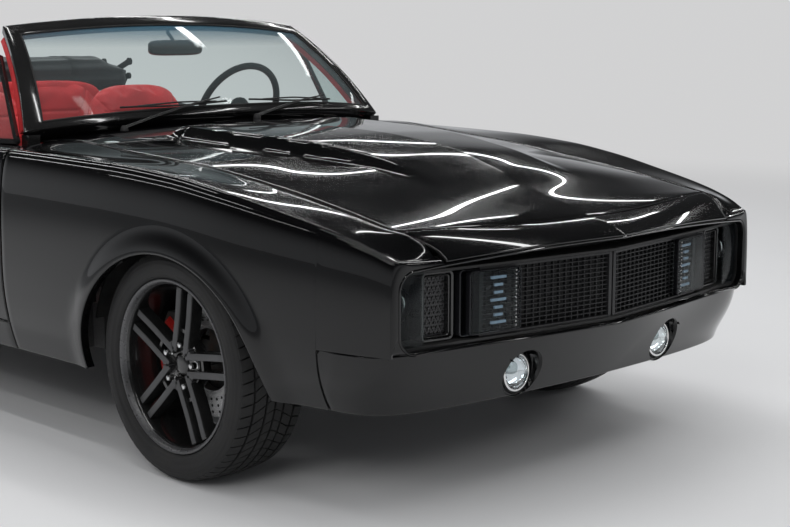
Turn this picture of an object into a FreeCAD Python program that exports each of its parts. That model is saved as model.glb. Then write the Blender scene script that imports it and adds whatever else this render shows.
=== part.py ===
import FreeCAD, Part
import math
import os
from FreeCAD import Vector

# A two-door open muscle car in its own frame: the nose points along -Y, the car's left is +X, +Z is up.
# The origin is on the ground, at the middle of the car's length and width. All sizes are in millimetres.

# Overall sizes
WIDTH = 1842.0
WHEELBASE = 2746.0
FRONT_OVERHANG = 880.0
REAR_OVERHANG = 1014.0
BELT_HEIGHT = 870.0

# Tyres and wheels
TYRE_RADIUS = 323.0
TYRE_WIDTH = 236.0
WHEEL_INSET = 55.0
RIM_FLANGE_RADIUS = 242.0
RIM_WALL = 9.0
RIM_WIDTH = 216.0
HUB_RADIUS = 74.0
HUB_THICKNESS = 42.0
SPOKE_RECESS = 26.0
SPOKE_WIDTH = 20.0
SPOKE_GAP = 30.0
SPOKE_DEPTH = 34.0
SPOKE_PAIRS = 5
SPOKE_START = 36.0
SPOKE_TURN_DEG = 10.5
SPOKE_BRIDGE = 10.0
SPOKE_BRIDGE_START = 94.0
HUB_RECESS = 16.0
LUG_CIRCLE_RADIUS = 60.3
LUG_HOLE_RADIUS = 7.0
CENTRE_CAP_RADIUS = 31.0
DISC_RADIUS = 165.0
DISC_THICKNESS = 28.0
AXLE_STUB_RADIUS = 16.0
SHAFT_CLEARANCE = 0.05
FACE_CLEARANCE = 0.3

# Skins and gaps
SKIN = 10.0
LID_SKIN = 16.0
SHUT_GAP = 6.0
SEAM_CLEARANCE = 0.8
OVERRUN = 40.0

# Wheel openings
ARCH_HALF_LENGTH = 388.0
ARCH_TOP_HEIGHT = 640.0
ARCH_CENTRE_HEIGHT = 262.0
ARCH_FLARE = 13.0
ARCH_FLARE_REACH = 75.0

# Lengthwise places: -1 is the nose, 0 the front axle, 1 the rear axle and 2 the tail
HOOD_FRONT_SHARE = -0.8557
HOOD_FRONT_SWEEP = 75.0
HOOD_REAR_SHARE = 0.2094
DOOR_FRONT_SHARE = 0.2837
DOOR_REAR_SHARE = 0.7203
DECK_FRONT_SHARE = 0.9177
LID_FRONT_SHARE = 1.1026
LID_REAR_SHARE = 1.9093
FENDER_NOSE_SHARE = -0.875
VALANCE_REAR_SHARE = -0.6364

# Heights
FLOOR_HEIGHT = 262.0
FLOOR_THICKNESS = 12.0
DOOR_BOTTOM = 345.0
LIP_TOP = 690.0
LIP_TOP_CORNER = 664.0
LIP_BOTTOM = 452.0
VALANCE_BOTTOM = 289.0

# Shape of the body along its length: a place as a share of LENGTH from the nose, then a share of the size named
WIDEST_SHARES = ((0.0, 0.80), (0.022, 0.831), (0.0388, 0.858), (0.0603, 0.885), (0.1056, 0.925), (0.147, 0.951),
                 (0.19, 0.964), (0.25, 0.976), (0.362, 0.985), (0.491, 0.989), (0.616, 0.992), (0.70, 0.99),
                 (0.781, 0.986), (0.858, 0.98), (0.94, 0.952), (0.98, 0.924), (1.0, 0.885))
CROWN_HEIGHT_SHARES = ((0.0, 0.76), (0.022, 0.786), (0.0388, 0.823), (0.0603, 0.856), (0.1056, 0.905), (0.147, 0.945),
                       (0.19, 0.975), (0.25, 0.994), (0.362, 1.002), (0.491, 0.998), (0.58, 0.998), (0.63, 1.008),
                       (0.70, 1.036), (0.78, 1.049), (0.86, 1.039), (0.94, 1.004), (1.0, 0.963))
CROWN_X_SHARES = ((0.0, 0.775), (0.022, 0.806), (0.0388, 0.8285), (0.0603, 0.848), (0.1056, 0.877), (0.147, 0.895),
                  (0.19, 0.904), (0.25, 0.914), (0.362, 0.925), (0.491, 0.932), (0.616, 0.934), (0.70, 0.929),
                  (0.781, 0.925), (0.86, 0.914), (0.94, 0.885), (0.98, 0.856), (1.0, 0.822))
SEAM_X_SHARES = ((0.0, 0.645), (0.022, 0.662), (0.030, 0.684), (0.0388, 0.7036), (0.0526, 0.711), (0.1263, 0.702),
                 (0.1685, 0.696), (0.2107, 0.7036), (0.253, 0.721), (0.2953, 0.734), (0.337, 0.738), (0.40, 0.79),
                 (0.46, 0.835), (0.675, 0.836), (0.705, 0.81), (0.735, 0.72), (0.77, 0.665), (0.86, 0.655),
                 (0.94, 0.645), (1.0, 0.62))
SEAM_HEIGHT_SHARES = ((0.0, 0.745), (0.022, 0.777), (0.030, 0.83), (0.0388, 0.85), (0.0526, 0.86), (0.084, 0.8885),
                      (0.1263, 0.922), (0.1685, 0.9505), (0.2107, 0.978), (0.253, 0.994), (0.2953, 1.01),
                      (0.337, 1.026), (0.42, 1.0), (0.58, 0.992), (0.65, 1.01), (0.70, 1.036), (0.78, 1.052),
                      (0.86, 1.045), (0.94, 1.014), (1.0, 0.978))
RIDGE_HEIGHT_SHARES = ((0.0, 0.793), (0.0185, 0.8276), (0.043, 0.8724), (0.0726, 0.9138), (0.104, 0.971),
                       (0.1405, 1.0218), (0.185, 1.049), (0.204, 1.056), (0.254, 1.064), (0.317, 1.067), (0.40, 1.067),
                       (0.60, 1.05), (0.70, 1.062), (0.78, 1.078), (0.86, 1.07), (0.94, 1.036), (1.0, 0.995))
BOTTOM_HEIGHT_SHARES = ((0.0, 0.332), (0.16, 0.332), (0.22, 0.292), (0.70, 0.292), (0.82, 0.333), (1.0, 0.385))
WIDEST_HEIGHT_SHARE = 0.62
SHOULDER_POWER = 2.8
SILL_TUCK = 46.0
SILL_TUCK_POWER = 2.3

# Raised middle of the hood
BULGE_RISE = 36.0
BULGE_TIP_SHARE = -0.5716
BULGE_FULL_SHARE = 0.0218
BULGE_TIP_HALF_SHARE = 0.2845
BULGE_REAR_HALF_SHARE = 0.3746
BULGE_SIDE = 46.0

# Nose
LIP_SIDE_X_SHARE = 0.8089
LIP_CORNER_RADIUS = 52.0
NOSE_CORNER_POWER = 8.0
CHIN_CORNER_POWER = 4.5
CHIN_LEAD_SHARE = 0.3
CHIN_SETBACK = 78.0
CHIN_CORNER_SETBACK = 20.0
PROW_DEPTH = 104.0
FOG_X_SHARE = 0.4174
FOG_HEIGHT = 350.0
FOG_RECESS_RADIUS = 66.0
FOG_LENS_RADIUS = 46.0

# Windscreen
SCREEN_BASE_SHARE = 0.2713
SCREEN_BASE_SWEEP = 124.0
SCREEN_BASE_INSET = 161.0
SCREEN_BASE_HEIGHT = 952.0
SCREEN_BASE_DROP = 40.0
SCREEN_TOP_SHARE = 0.4224
SCREEN_TOP_SWEEP = 46.0
SCREEN_TOP_INSET = 299.0
SCREEN_TOP_HEIGHT = 1274.0
SCREEN_TOP_DROP = 36.0
SCREEN_BULGE = 26.0
SCREEN_FRAME_DEPTH = 30.0
SCREEN_POST_WIDTH = 50.0
SCREEN_POST_LEAD = 18.0
GLASS_THICKNESS = 6.0

# Doors
HINGE_AHEAD = 53.0
HINGE_INBOARD = 69.0
HINGE_PIN_RADIUS = 7.0
HINGE_EYE_RADIUS = 14.0
HINGE_LEAF = 14.0
HINGE_LEAF_GAP = 0.4
HINGE_HEIGHTS = (460.0, 720.0)
DOOR_DEPTH = 135.0
DOOR_TOP_INSET = 151.0
VENT_FRONT_SHARE = 0.3197
VENT_REAR_SHARE = 0.4108
VENT_TOP_FRONT_SHARE = 0.4239
VENT_TOP_REAR_SHARE = 0.4341
VENT_TOP_HEIGHT = 1140.0
VENT_TOP_INSET = 261.0
VENT_BASE_INSET = 145.0
VENT_FRAME = 16.0
VENT_THICKNESS = 14.0

# Tub
SILL_DEPTH = 231.0
TUB_WALL = 12.0
TUNNEL_HALF = 105.0
TUNNEL_TOP = 420.0
FIREWALL_SHARE = 0.2039
COWL_REAR_SHARE = 0.2695
COWL_BOX_BOTTOM = 760.0
PILLAR_FRONT_SHARE = 0.2258
PILLAR_REAR_SHARE = 0.2513
PILLAR_INSET = 83.0
PILLAR_DROP = 122.0
APRON_X_SHARE = 0.4669
APRON_TOP = 745.0
RAIL_TOP = 400.0
WHEELHOUSE_REACH = 20.0
WHEELHOUSE_CENTRE = 300.0
WHEELHOUSE_WALL = 6.0
WHEELHOUSE_INSET = 95.0
WHEELHOUSE_SIDE_GAP = 70.0
REAR_FLOOR_HEIGHT = 530.0
KICK_UP_SHARE = 0.8485
FENDER_REST_X_SHARE = 0.78
HOOD_REST_X_SHARE = 0.608
LID_REST_X_SHARE = 0.5863
REST_WIDTH = 40.0
REST_LENGTH = 46.0
SEAT_BULKHEAD_SHARE = 0.9323
BULKHEAD_HEIGHT = 880.0

# Tail
TAIL_BOW = 46.0
TAIL_PANEL_BOTTOM = 600.0
LAMP_X_SHARE = 0.608
LAMP_HALF_SHARE = 0.1629
LAMP_LOW = 690.0
LAMP_HIGH = 795.0
LAMP_DEPTH = 26.0
LAMP_BAR = 22.0

# Front structure
SUPPORT_FRONT_SHARE = -0.7273
SUPPORT_DEPTH = 60.0
SUPPORT_HALF_SHARE = 0.6515
SUPPORT_LOW = 262.0
SUPPORT_HIGH = 724.0
RADIATOR_HALF = 330.0
RADIATOR_LOW = 330.0
RADIATOR_HIGH = 700.0
FRAME_RAIL_X_SHARE = 0.3909
FRAME_RAIL_WIDTH = 70.0
FRAME_RAIL_LOW = 300.0
FRAME_RAIL_REAR_SHARE = 0.2039
CROSS_HALF = 110.0
CROSS_LOW = 215.0

# Suspension and axles
KINGPIN_INSET = 80.0
KINGPIN_RADIUS = 11.0
KNUCKLE_HALF_HEIGHT = 118.0
KNUCKLE_LENGTH = 88.0
KNUCKLE_DEPTH = 36.0
ARM_HEIGHT = 24.0
ARM_GAP = 0.4
ARM_EYE_RADIUS = 20.0
ARM_SPREAD = 150.0
CALIPER_INNER_RADIUS = 118.0
CALIPER_OUTER_RADIUS = 205.0
CALIPER_HALF_WIDTH = 30.0
CALIPER_ANGLE = 70.0
CALIPER_GAP = 3.0
REAR_BEAM_RADIUS = 40.0
DIFF_RADIUS = 128.0
SPRING_X_SHARE = 0.5483
SPRING_WIDTH = 62.0
SPRING_LEAF = 26.0
SPRING_PAD = 8.0
SPRING_FRONT_LENGTH = 374.0
SPRING_REAR_LENGTH = 720.0
SPRING_FRONT_RISE = 45.0
SPRING_REAR_RISE = 130.0

# Engine, exhaust and tank
ENGINE_HALF = 270.0
ENGINE_FRONT_SHARE = -0.2614
ENGINE_REAR_SHARE = 0.1566
ENGINE_LOW = 290.0
ENGINE_HIGH = 770.0
GEARBOX_HALF = 84.0
GEARBOX_REAR_SHARE = 0.4297
GEARBOX_LOW = 205.0
GEARBOX_HIGH = 400.0
PROP_SHAFT_RADIUS = 32.0
MOUNT_HALF = 40.0
PIPE_RADIUS = 29.0
PIPE_X_SHARE = 0.2334
PIPE_HEIGHT = 218.0
PIPE_TAIL_X_SHARE = 0.4669
PIPE_BEND = 110.0
PIPE_START_SHARE = 0.1966
MUFFLER_RADIUS = 62.0
HANGER_WIDTH = 24.0
MUFFLER_START_SHARE = 0.5171
MUFFLER_END_SHARE = 0.721
MUFFLER_DROP = 440.0
PIPE_OVER_HEIGHT = 445.0
TAIL_PIPE_HEIGHT = 340.0
TANK_HALF_SHARE = 0.3909
TANK_FRONT_SHARE = 1.3195
TANK_REAR_SHARE = 1.8028
TANK_LOW = 330.0
TANK_CORNER = 40.0

# Cabin
SEAT_X_SHARE = 0.4039
SEAT_CONSOLE_GAP = 18.0
SEAT_RAIL_HEIGHT = 300.0
SEAT_CUSHION_TOP = 535.0
SEAT_CUSHION_FRONT_SHARE = 0.4698
SEAT_BACK_FRONT_SHARE = 0.6336
SEAT_TOP = 1022.0
SEAT_TOP_REAR_SHARE = 0.7119
SEAT_BACK_DEPTH = 120.0
SEAT_CORNER = 38.0
REAR_CUSHION_FRONT_SHARE = 0.732
REAR_CUSHION_TOP = 560.0
REAR_BACK_FRONT_SHARE = 0.8485
REAR_SEAT_TOP = 1006.0
REAR_SEAT_END_SHARE = 0.8886
REAR_BACK_DEPTH = 110.0
STACK_INSET = 199.0
STACK_FRONT_SHARE = 0.874
STACK_REAR_SHARE = 0.9614
STACK_LOW = 935.5
STACK_HIGH = 1108.0
STACK_CORNER = 62.0
DASH_FRONT_SHARE = 0.2877
DASH_REAR_SHARE = 0.3915
DASH_LOW = 660.0
DASH_HIGH = 888.0
DASH_LIP = 800.0
CLUSTER_HALF = 190.0
CLUSTER_HEIGHT = 925.0
CLUSTER_DEPTH = 150.0
CONSOLE_HALF = 92.0
CONSOLE_FRONT_SHARE = 0.3933
CONSOLE_REAR_SHARE = 0.7101
CONSOLE_HEIGHT = 520.0
SHIFTER_SHARE = 0.4625
SHIFTER_HEIGHT = 690.0
SHIFTER_RADIUS = 9.0
SHIFTER_KNOB = 24.0
STEER_OFFSET = 13.0
STEER_SHARE = 0.4497
STEER_Z = 925.0
STEER_TILT_DEG = 24.0
STEER_RADIUS = 178.0
STEER_RIM_RADIUS = 14.0
STEER_HUB_RADIUS = 48.0
STEER_HUB_DEPTH = 46.0
STEER_SPOKE_WIDTH = 34.0
STEER_SPOKE_THICKNESS = 8.0
COLUMN_RADIUS = 30.0
COLUMN_LENGTH = 330.0
MIRROR_WIDTH = 232.0
MIRROR_HEIGHT = 56.0
MIRROR_DEPTH = 28.0
MIRROR_X = 49.0
MIRROR_SHARE = 0.4268
MIRROR_Z = 1159.0
MIRROR_STEM_RADIUS = 7.0
WIPER_LENGTH = 430.0
WIPER_BAR = 9.0
WIPER_PIVOT_SHARES = (-0.618, 0.053)

# Lamps and grille
GRILLE_WALL = 9.0
GRILLE_DEPTH = 96.0
GRILLE_EDGE = 14.0
MESH_HALF_SHARE = 0.6201
MESH_LOW = 472.0
MESH_HIGH = 640.0
MESH_THICKNESS = 9.0
MESH_ROWS = 8
MESH_COLUMNS = 15
MESH_BAR = 5.0
MESH_SETBACK = 30.0
POD_INNER_X_SHARE = 0.7262
POD_OUTER_X_SHARE = 0.8591
POD_LOW = 473.0
POD_HIGH = 642.0
POD_DEPTH = 48.0
HEADLAMP_X_SHARE = 0.9262
HEADLAMP_Z = 566.0
HEADLAMP_RADIUS = 44.0
HEADLAMP_DEPTH = 70.0
FOG_RING_WALL = 5.0
FOG_FACE_SHARE = -0.8818
FOG_DEPTH = 80.0

LENGTH = FRONT_OVERHANG + WHEELBASE + REAR_OVERHANG
NOSE_Y = -LENGTH / 2
TAIL_Y = LENGTH / 2
HALF_WIDTH = WIDTH / 2
FRONT_AXLE_Y = NOSE_Y + FRONT_OVERHANG
REAR_AXLE_Y = FRONT_AXLE_Y + WHEELBASE

PILLAR_HEIGHT = SCREEN_BASE_HEIGHT - PILLAR_DROP

SIDES = (("right", -1), ("left", 1))

# Places across the car
WHEEL_CENTRE_X = HALF_WIDTH - TYRE_WIDTH / 2 - WHEEL_INSET
KINGPIN_X = WHEEL_CENTRE_X - KINGPIN_INSET
LIP_SIDE_X = HALF_WIDTH * LIP_SIDE_X_SHARE
SCREEN_BASE_HALF = HALF_WIDTH - SCREEN_BASE_INSET
SCREEN_TOP_HALF = HALF_WIDTH - SCREEN_TOP_INSET
DOOR_INNER_X = HALF_WIDTH - DOOR_DEPTH
DOOR_TOP_X = HALF_WIDTH - DOOR_TOP_INSET
VENT_TOP_X = HALF_WIDTH - VENT_TOP_INSET
VENT_BASE_X = HALF_WIDTH - VENT_BASE_INSET
SILL_INNER_X = HALF_WIDTH - SILL_DEPTH
PILLAR_OUTER_X = HALF_WIDTH - PILLAR_INSET
WHEELHOUSE_OUTER_X = HALF_WIDTH - WHEELHOUSE_INSET
APRON_X = HALF_WIDTH * APRON_X_SHARE
REAR_INNER_X = WHEEL_CENTRE_X - TYRE_WIDTH / 2 - WHEELHOUSE_SIDE_GAP
FENDER_REST_X = HALF_WIDTH * FENDER_REST_X_SHARE
HOOD_REST_X = HALF_WIDTH * HOOD_REST_X_SHARE
LID_REST_X = HALF_WIDTH * LID_REST_X_SHARE
SUPPORT_HALF = HALF_WIDTH * SUPPORT_HALF_SHARE
FRAME_RAIL_X = HALF_WIDTH * FRAME_RAIL_X_SHARE
SPRING_X = HALF_WIDTH * SPRING_X_SHARE
PIPE_X = HALF_WIDTH * PIPE_X_SHARE
PIPE_TAIL_X = HALF_WIDTH * PIPE_TAIL_X_SHARE
TANK_HALF = HALF_WIDTH * TANK_HALF_SHARE
SEAT_X = HALF_WIDTH * SEAT_X_SHARE
SEAT_HALF = SEAT_X - CONSOLE_HALF - SEAT_CONSOLE_GAP
STEER_X = SEAT_X + STEER_OFFSET
STACK_HALF = HALF_WIDTH - STACK_INSET
MESH_HALF = LIP_SIDE_X * MESH_HALF_SHARE
POD_INNER_X = LIP_SIDE_X * POD_INNER_X_SHARE
POD_OUTER_X = LIP_SIDE_X * POD_OUTER_X_SHARE
HEADLAMP_X = LIP_SIDE_X * HEADLAMP_X_SHARE
FOG_X = LIP_SIDE_X * FOG_X_SHARE
LAMP_X = HALF_WIDTH * LAMP_X_SHARE
LAMP_HALF = HALF_WIDTH * LAMP_HALF_SHARE
BULGE_TIP_HALF = HALF_WIDTH * BULGE_TIP_HALF_SHARE
BULGE_REAR_HALF = HALF_WIDTH * BULGE_REAR_HALF_SHARE


def along(share):
    """Place along the car: -1 is the nose, 0 the front axle, 1 the rear axle and 2 the tail."""
    if share < 0:
        return FRONT_AXLE_Y + share * FRONT_OVERHANG
    if share > 1:
        return REAR_AXLE_Y + (share - 1) * REAR_OVERHANG
    return FRONT_AXLE_Y + share * WHEELBASE


# Places along the car
HOOD_FRONT_Y = along(HOOD_FRONT_SHARE)
HOOD_REAR_Y = along(HOOD_REAR_SHARE)
DOOR_FRONT_Y = along(DOOR_FRONT_SHARE)
DOOR_REAR_Y = along(DOOR_REAR_SHARE)
DECK_FRONT_Y = along(DECK_FRONT_SHARE)
LID_FRONT_Y = along(LID_FRONT_SHARE)
LID_REAR_Y = along(LID_REAR_SHARE)
FENDER_NOSE_Y = along(FENDER_NOSE_SHARE)
VALANCE_REAR_Y = along(VALANCE_REAR_SHARE)
BULGE_TIP_Y = along(BULGE_TIP_SHARE)
BULGE_FULL_Y = along(BULGE_FULL_SHARE)
SCREEN_BASE_Y = along(SCREEN_BASE_SHARE)
SCREEN_TOP_Y = along(SCREEN_TOP_SHARE)
VENT_FRONT_Y = along(VENT_FRONT_SHARE)
VENT_REAR_Y = along(VENT_REAR_SHARE)
VENT_TOP_FRONT_Y = along(VENT_TOP_FRONT_SHARE)
VENT_TOP_REAR_Y = along(VENT_TOP_REAR_SHARE)
FIREWALL_Y = along(FIREWALL_SHARE)
COWL_REAR_Y = along(COWL_REAR_SHARE)
PILLAR_FRONT_Y = along(PILLAR_FRONT_SHARE)
PILLAR_REAR_Y = along(PILLAR_REAR_SHARE)
KICK_UP_Y = along(KICK_UP_SHARE)
SEAT_BULKHEAD_Y = along(SEAT_BULKHEAD_SHARE)
SUPPORT_FRONT_Y = along(SUPPORT_FRONT_SHARE)
FRAME_RAIL_REAR_Y = along(FRAME_RAIL_REAR_SHARE)
ENGINE_FRONT_Y = along(ENGINE_FRONT_SHARE)
ENGINE_REAR_Y = along(ENGINE_REAR_SHARE)
GEARBOX_REAR_Y = along(GEARBOX_REAR_SHARE)
PIPE_START_Y = along(PIPE_START_SHARE)
MUFFLER_START_Y = along(MUFFLER_START_SHARE)
MUFFLER_END_Y = along(MUFFLER_END_SHARE)
TANK_FRONT_Y = along(TANK_FRONT_SHARE)
TANK_REAR_Y = along(TANK_REAR_SHARE)
SEAT_CUSHION_FRONT_Y = along(SEAT_CUSHION_FRONT_SHARE)
SEAT_BACK_FRONT_Y = along(SEAT_BACK_FRONT_SHARE)
SEAT_TOP_REAR_Y = along(SEAT_TOP_REAR_SHARE)
REAR_CUSHION_FRONT_Y = along(REAR_CUSHION_FRONT_SHARE)
REAR_BACK_FRONT_Y = along(REAR_BACK_FRONT_SHARE)
REAR_SEAT_END_Y = along(REAR_SEAT_END_SHARE)
STACK_FRONT_Y = along(STACK_FRONT_SHARE)
STACK_REAR_Y = along(STACK_REAR_SHARE)
DASH_FRONT_Y = along(DASH_FRONT_SHARE)
DASH_REAR_Y = along(DASH_REAR_SHARE)
CONSOLE_FRONT_Y = along(CONSOLE_FRONT_SHARE)
CONSOLE_REAR_Y = along(CONSOLE_REAR_SHARE)
SHIFTER_Y = along(SHIFTER_SHARE)
STEER_Y = along(STEER_SHARE)
MIRROR_Y = along(MIRROR_SHARE)
FOG_FACE_Y = along(FOG_FACE_SHARE)


def read_curve(table, place):
    """Smooth curve through the table's points that never overshoots between them."""
    xs = [row[0] for row in table]
    ys = [row[1] for row in table]
    if place <= xs[0]:
        return ys[0]
    if place >= xs[-1]:
        return ys[-1]
    steps = [(ys[i + 1] - ys[i]) / (xs[i + 1] - xs[i]) for i in range(len(xs) - 1)]
    slopes = [steps[0]]
    for i in range(1, len(steps)):
        before, after = steps[i - 1], steps[i]
        if before * after <= 0:
            slopes.append(0.0)
        else:
            slopes.append(2 * before * after / (before + after))
    slopes.append(steps[-1])
    i = max(k for k in range(len(steps)) if xs[k] <= place)
    span = xs[i + 1] - xs[i]
    t = (place - xs[i]) / span
    return (ys[i] * (2 * t ** 3 - 3 * t ** 2 + 1) + slopes[i] * span * (t ** 3 - 2 * t ** 2 + t)
            + ys[i + 1] * (3 * t ** 2 - 2 * t ** 3) + slopes[i + 1] * span * (t ** 3 - t ** 2))


def station(y):
    return (y - NOSE_Y) / LENGTH


def widest_x(y):
    return HALF_WIDTH * read_curve(WIDEST_SHARES, station(y))


def crown_x(y):
    return HALF_WIDTH * read_curve(CROWN_X_SHARES, station(y))


def crown_z(y):
    return BELT_HEIGHT * read_curve(CROWN_HEIGHT_SHARES, station(y))


def seam_x(y):
    return HALF_WIDTH * read_curve(SEAM_X_SHARES, station(y))


def seam_z(y):
    return BELT_HEIGHT * read_curve(SEAM_HEIGHT_SHARES, station(y))


def ridge_z(y):
    return BELT_HEIGHT * read_curve(RIDGE_HEIGHT_SHARES, station(y))


def bottom_z(y):
    return BELT_HEIGHT * read_curve(BOTTOM_HEIGHT_SHARES, station(y))


def smooth(t):
    t = min(1.0, max(0.0, t))
    return t * t * (3 - 2 * t)


def arch_reach(y, z):
    """How far a point of the flank lies outside the nearest wheel opening, as a share of the opening."""
    rise = ARCH_TOP_HEIGHT - ARCH_CENTRE_HEIGHT
    reach = []
    for axle in (FRONT_AXLE_Y, REAR_AXLE_Y):
        reach.append(math.hypot((y - axle) / ARCH_HALF_LENGTH, (z - ARCH_CENTRE_HEIGHT) / rise))
    return min(reach)


def flank_x(y, z):
    """Half-width of the body's side at a place along it and a height."""
    top, wide = crown_z(y), widest_x(y)
    middle = WIDEST_HEIGHT_SHARE * top
    if z >= middle:
        t = min(1.0, (z - middle) / (top - middle))
        x = crown_x(y) + (wide - crown_x(y)) * (1 - t ** SHOULDER_POWER) ** (1 / SHOULDER_POWER)
    else:
        t = (middle - z) / (middle - bottom_z(y))
        x = wide - SILL_TUCK * max(0.0, t) ** SILL_TUCK_POWER
    beyond = (arch_reach(y, z) - 1) * ARCH_HALF_LENGTH / ARCH_FLARE_REACH
    return x + ARCH_FLARE * (1 - smooth(beyond))


def bulge(x, y):
    """Height of the hood's raised middle."""
    tip, full = BULGE_TIP_Y, BULGE_FULL_Y
    grow = smooth((y - tip) / (full - tip)) * (1 - smooth((y - HOOD_REAR_Y) / BULGE_SIDE / 2))
    half = BULGE_TIP_HALF + (BULGE_REAR_HALF - BULGE_TIP_HALF) * smooth((y - tip) / (HOOD_REAR_Y - tip))
    return BULGE_RISE * grow * (1 - smooth((abs(x) - half) / BULGE_SIDE))


def top_z(x, y):
    """Height of the body's upper surface between the two crowns."""
    side, edge = seam_x(y), crown_x(y)
    x = abs(x)
    if x >= side:
        t = (x - side) / (edge - side)
        return seam_z(y) + (crown_z(y) - seam_z(y)) * smooth(t)
    t = x / side
    rise = ridge_z(y) - seam_z(y)
    rise -= bulge(0, y)
    arched = 0.45 * (1 - t) + 0.55 * (1 - t * t)
    return seam_z(y) + rise * arched + bulge(x, y)


def hood_front_y(x):
    """The seam between the hood and the nose panel, swept back towards the fenders."""
    return HOOD_FRONT_Y + HOOD_FRONT_SWEEP * (abs(x) / HALF_WIDTH / 0.7) ** 1.8


def lip_y(x):
    """Front edge of the nose above the grille, seen from above."""
    t = abs(x) / LIP_SIDE_X
    return NOSE_Y + PROW_DEPTH * (0.8 * t + 0.2 * t * t)


def lip_z(x):
    t = abs(x) / LIP_SIDE_X
    return LIP_TOP + (LIP_TOP_CORNER - LIP_TOP) * t ** 2.2


def chord_places(lines):
    """Parameters from nought to one for the points of a bundle of lines, from their mean spacing."""
    count = len(lines[0])
    gaps = []
    for j in range(1, count):
        gaps.append(sum((line[j] - line[j - 1]).Length for line in lines) / len(lines))
    whole = sum(gaps)
    places = [0.0]
    for gap in gaps:
        places.append(places[-1] + gap / whole)
    places[-1] = 1.0
    return places


def cubic_knots(places):
    middle = [sum(places[i:i + 3]) / 3 for i in range(1, len(places) - 3)]
    return [0.0] * 4 + middle + [1.0] * 4


def cubic_weights(knots, count, t):
    """Weight of each control point at one place of a cubic spline."""
    if t >= 1.0:
        return [0.0] * (count - 1) + [1.0]
    weights = [1.0 if knots[i] <= t < knots[i + 1] else 0.0 for i in range(len(knots) - 1)]
    for degree in (1, 2, 3):
        for i in range(len(knots) - 1 - degree):
            value = 0.0
            if knots[i + degree] > knots[i]:
                value += (t - knots[i]) / (knots[i + degree] - knots[i]) * weights[i]
            if knots[i + degree + 1] > knots[i + 1]:
                value += (knots[i + degree + 1] - t) / (knots[i + degree + 1] - knots[i + 1]) * weights[i + 1]
            weights[i] = value
    return weights[:count]


def control_lines(rows, places, knots):
    """Control points along the first index that make a cubic spline pass through every row."""
    count = len(rows)
    matrix = [cubic_weights(knots, count, t) for t in places]
    values = [list(row) for row in rows]
    for i in range(count):
        best = max(range(i, count), key=lambda k: abs(matrix[k][i]))
        matrix[i], matrix[best] = matrix[best], matrix[i]
        values[i], values[best] = values[best], values[i]
        for k in range(i + 1, count):
            share = matrix[k][i] / matrix[i][i]
            if share:
                matrix[k] = [a - share * b for a, b in zip(matrix[k], matrix[i])]
                values[k] = [a - b * share for a, b in zip(values[k], values[i])]
    for i in range(count - 1, -1, -1):
        for k in range(i + 1, count):
            share = matrix[i][k]
            if share:
                values[i] = [a - b * share for a, b in zip(values[i], values[k])]
        values[i] = [a * (1 / matrix[i][i]) for a in values[i]]
    return values


def interpolated(points):
    """A smooth cubic surface through every point of a grid."""
    turned = [list(line) for line in zip(*points)]
    us, vs = chord_places(turned), chord_places(points)
    u_knots, v_knots = cubic_knots(us), cubic_knots(vs)
    half_done = control_lines(points, us, u_knots)
    poles = control_lines([list(line) for line in zip(*half_done)], vs, v_knots)
    poles = [list(line) for line in zip(*poles)]
    surface = Part.BSplineSurface()
    inner_u, inner_v = u_knots[4:-4], v_knots[4:-4]
    surface.buildFromPolesMultsKnots(poles, [4] + [1] * len(inner_u) + [4], [4] + [1] * len(inner_v) + [4],
                                     [0.0] + inner_u + [1.0], [0.0] + inner_v + [1.0], False, False, 3, 3)
    return surface


def ruled_side(first, second):
    return Part.makeRuledSurface(first.toShape(), second.toShape())


def solid_between(outer, inner):
    """A closed solid between two matching grids of points."""
    top, under = interpolated(outer), interpolated(inner)
    u0, u1, v0, v1 = top.bounds()
    faces = [top.toShape(), under.toShape()]
    faces.append(ruled_side(top.uIso(u0), under.uIso(u0)))
    faces.append(ruled_side(top.uIso(u1), under.uIso(u1)))
    faces.append(ruled_side(top.vIso(v0), under.vIso(v0)))
    faces.append(ruled_side(top.vIso(v1), under.vIso(v1)))
    shell = Part.makeShell(faces)
    shell.sewShape()
    solid = Part.makeSolid(shell)
    if solid.Volume < 0:
        solid.reverse()
    return solid


def offset_grid(points, depth):
    """The grid moved by a depth along its own normals, away from the side its rows and columns turn to."""
    rows, columns = len(points), len(points[0])
    moved = []
    for i in range(rows):
        line = []
        for j in range(columns):
            along = points[min(i + 1, rows - 1)][j] - points[max(i - 1, 0)][j]
            across = points[i][min(j + 1, columns - 1)] - points[i][max(j - 1, 0)]
            normal = along.cross(across)
            normal.normalize()
            line.append(points[i][j] + normal * depth)
        moved.append(line)
    return moved


def spread(low, high, count):
    return [low + (high - low) * i / (count - 1) for i in range(count)]


def grid(place, us, vs):
    return [[Vector(*place(u, v)) for v in vs] for u in us]


def skin_solid(place, us, vs, depth):
    points = grid(place, us, vs)
    return solid_between(points, offset_grid(points, depth))


def mirrored(shape):
    return shape.mirror(Vector(0, 0, 0), Vector(1, 0, 0))


def box(x0, x1, y0, y1, z0, z1):
    return Part.makeBox(x1 - x0, y1 - y0, z1 - z0, Vector(x0, y0, z0))


def rod(start, end, radius):
    start, end = Vector(*start), Vector(*end)
    return Part.makeCylinder(radius, (end - start).Length, start, end - start)


def fused(shapes):
    whole = shapes[0]
    if len(shapes) > 1:
        whole = shapes[0].multiFuse(shapes[1:])
    return whole.removeSplitter()


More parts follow.
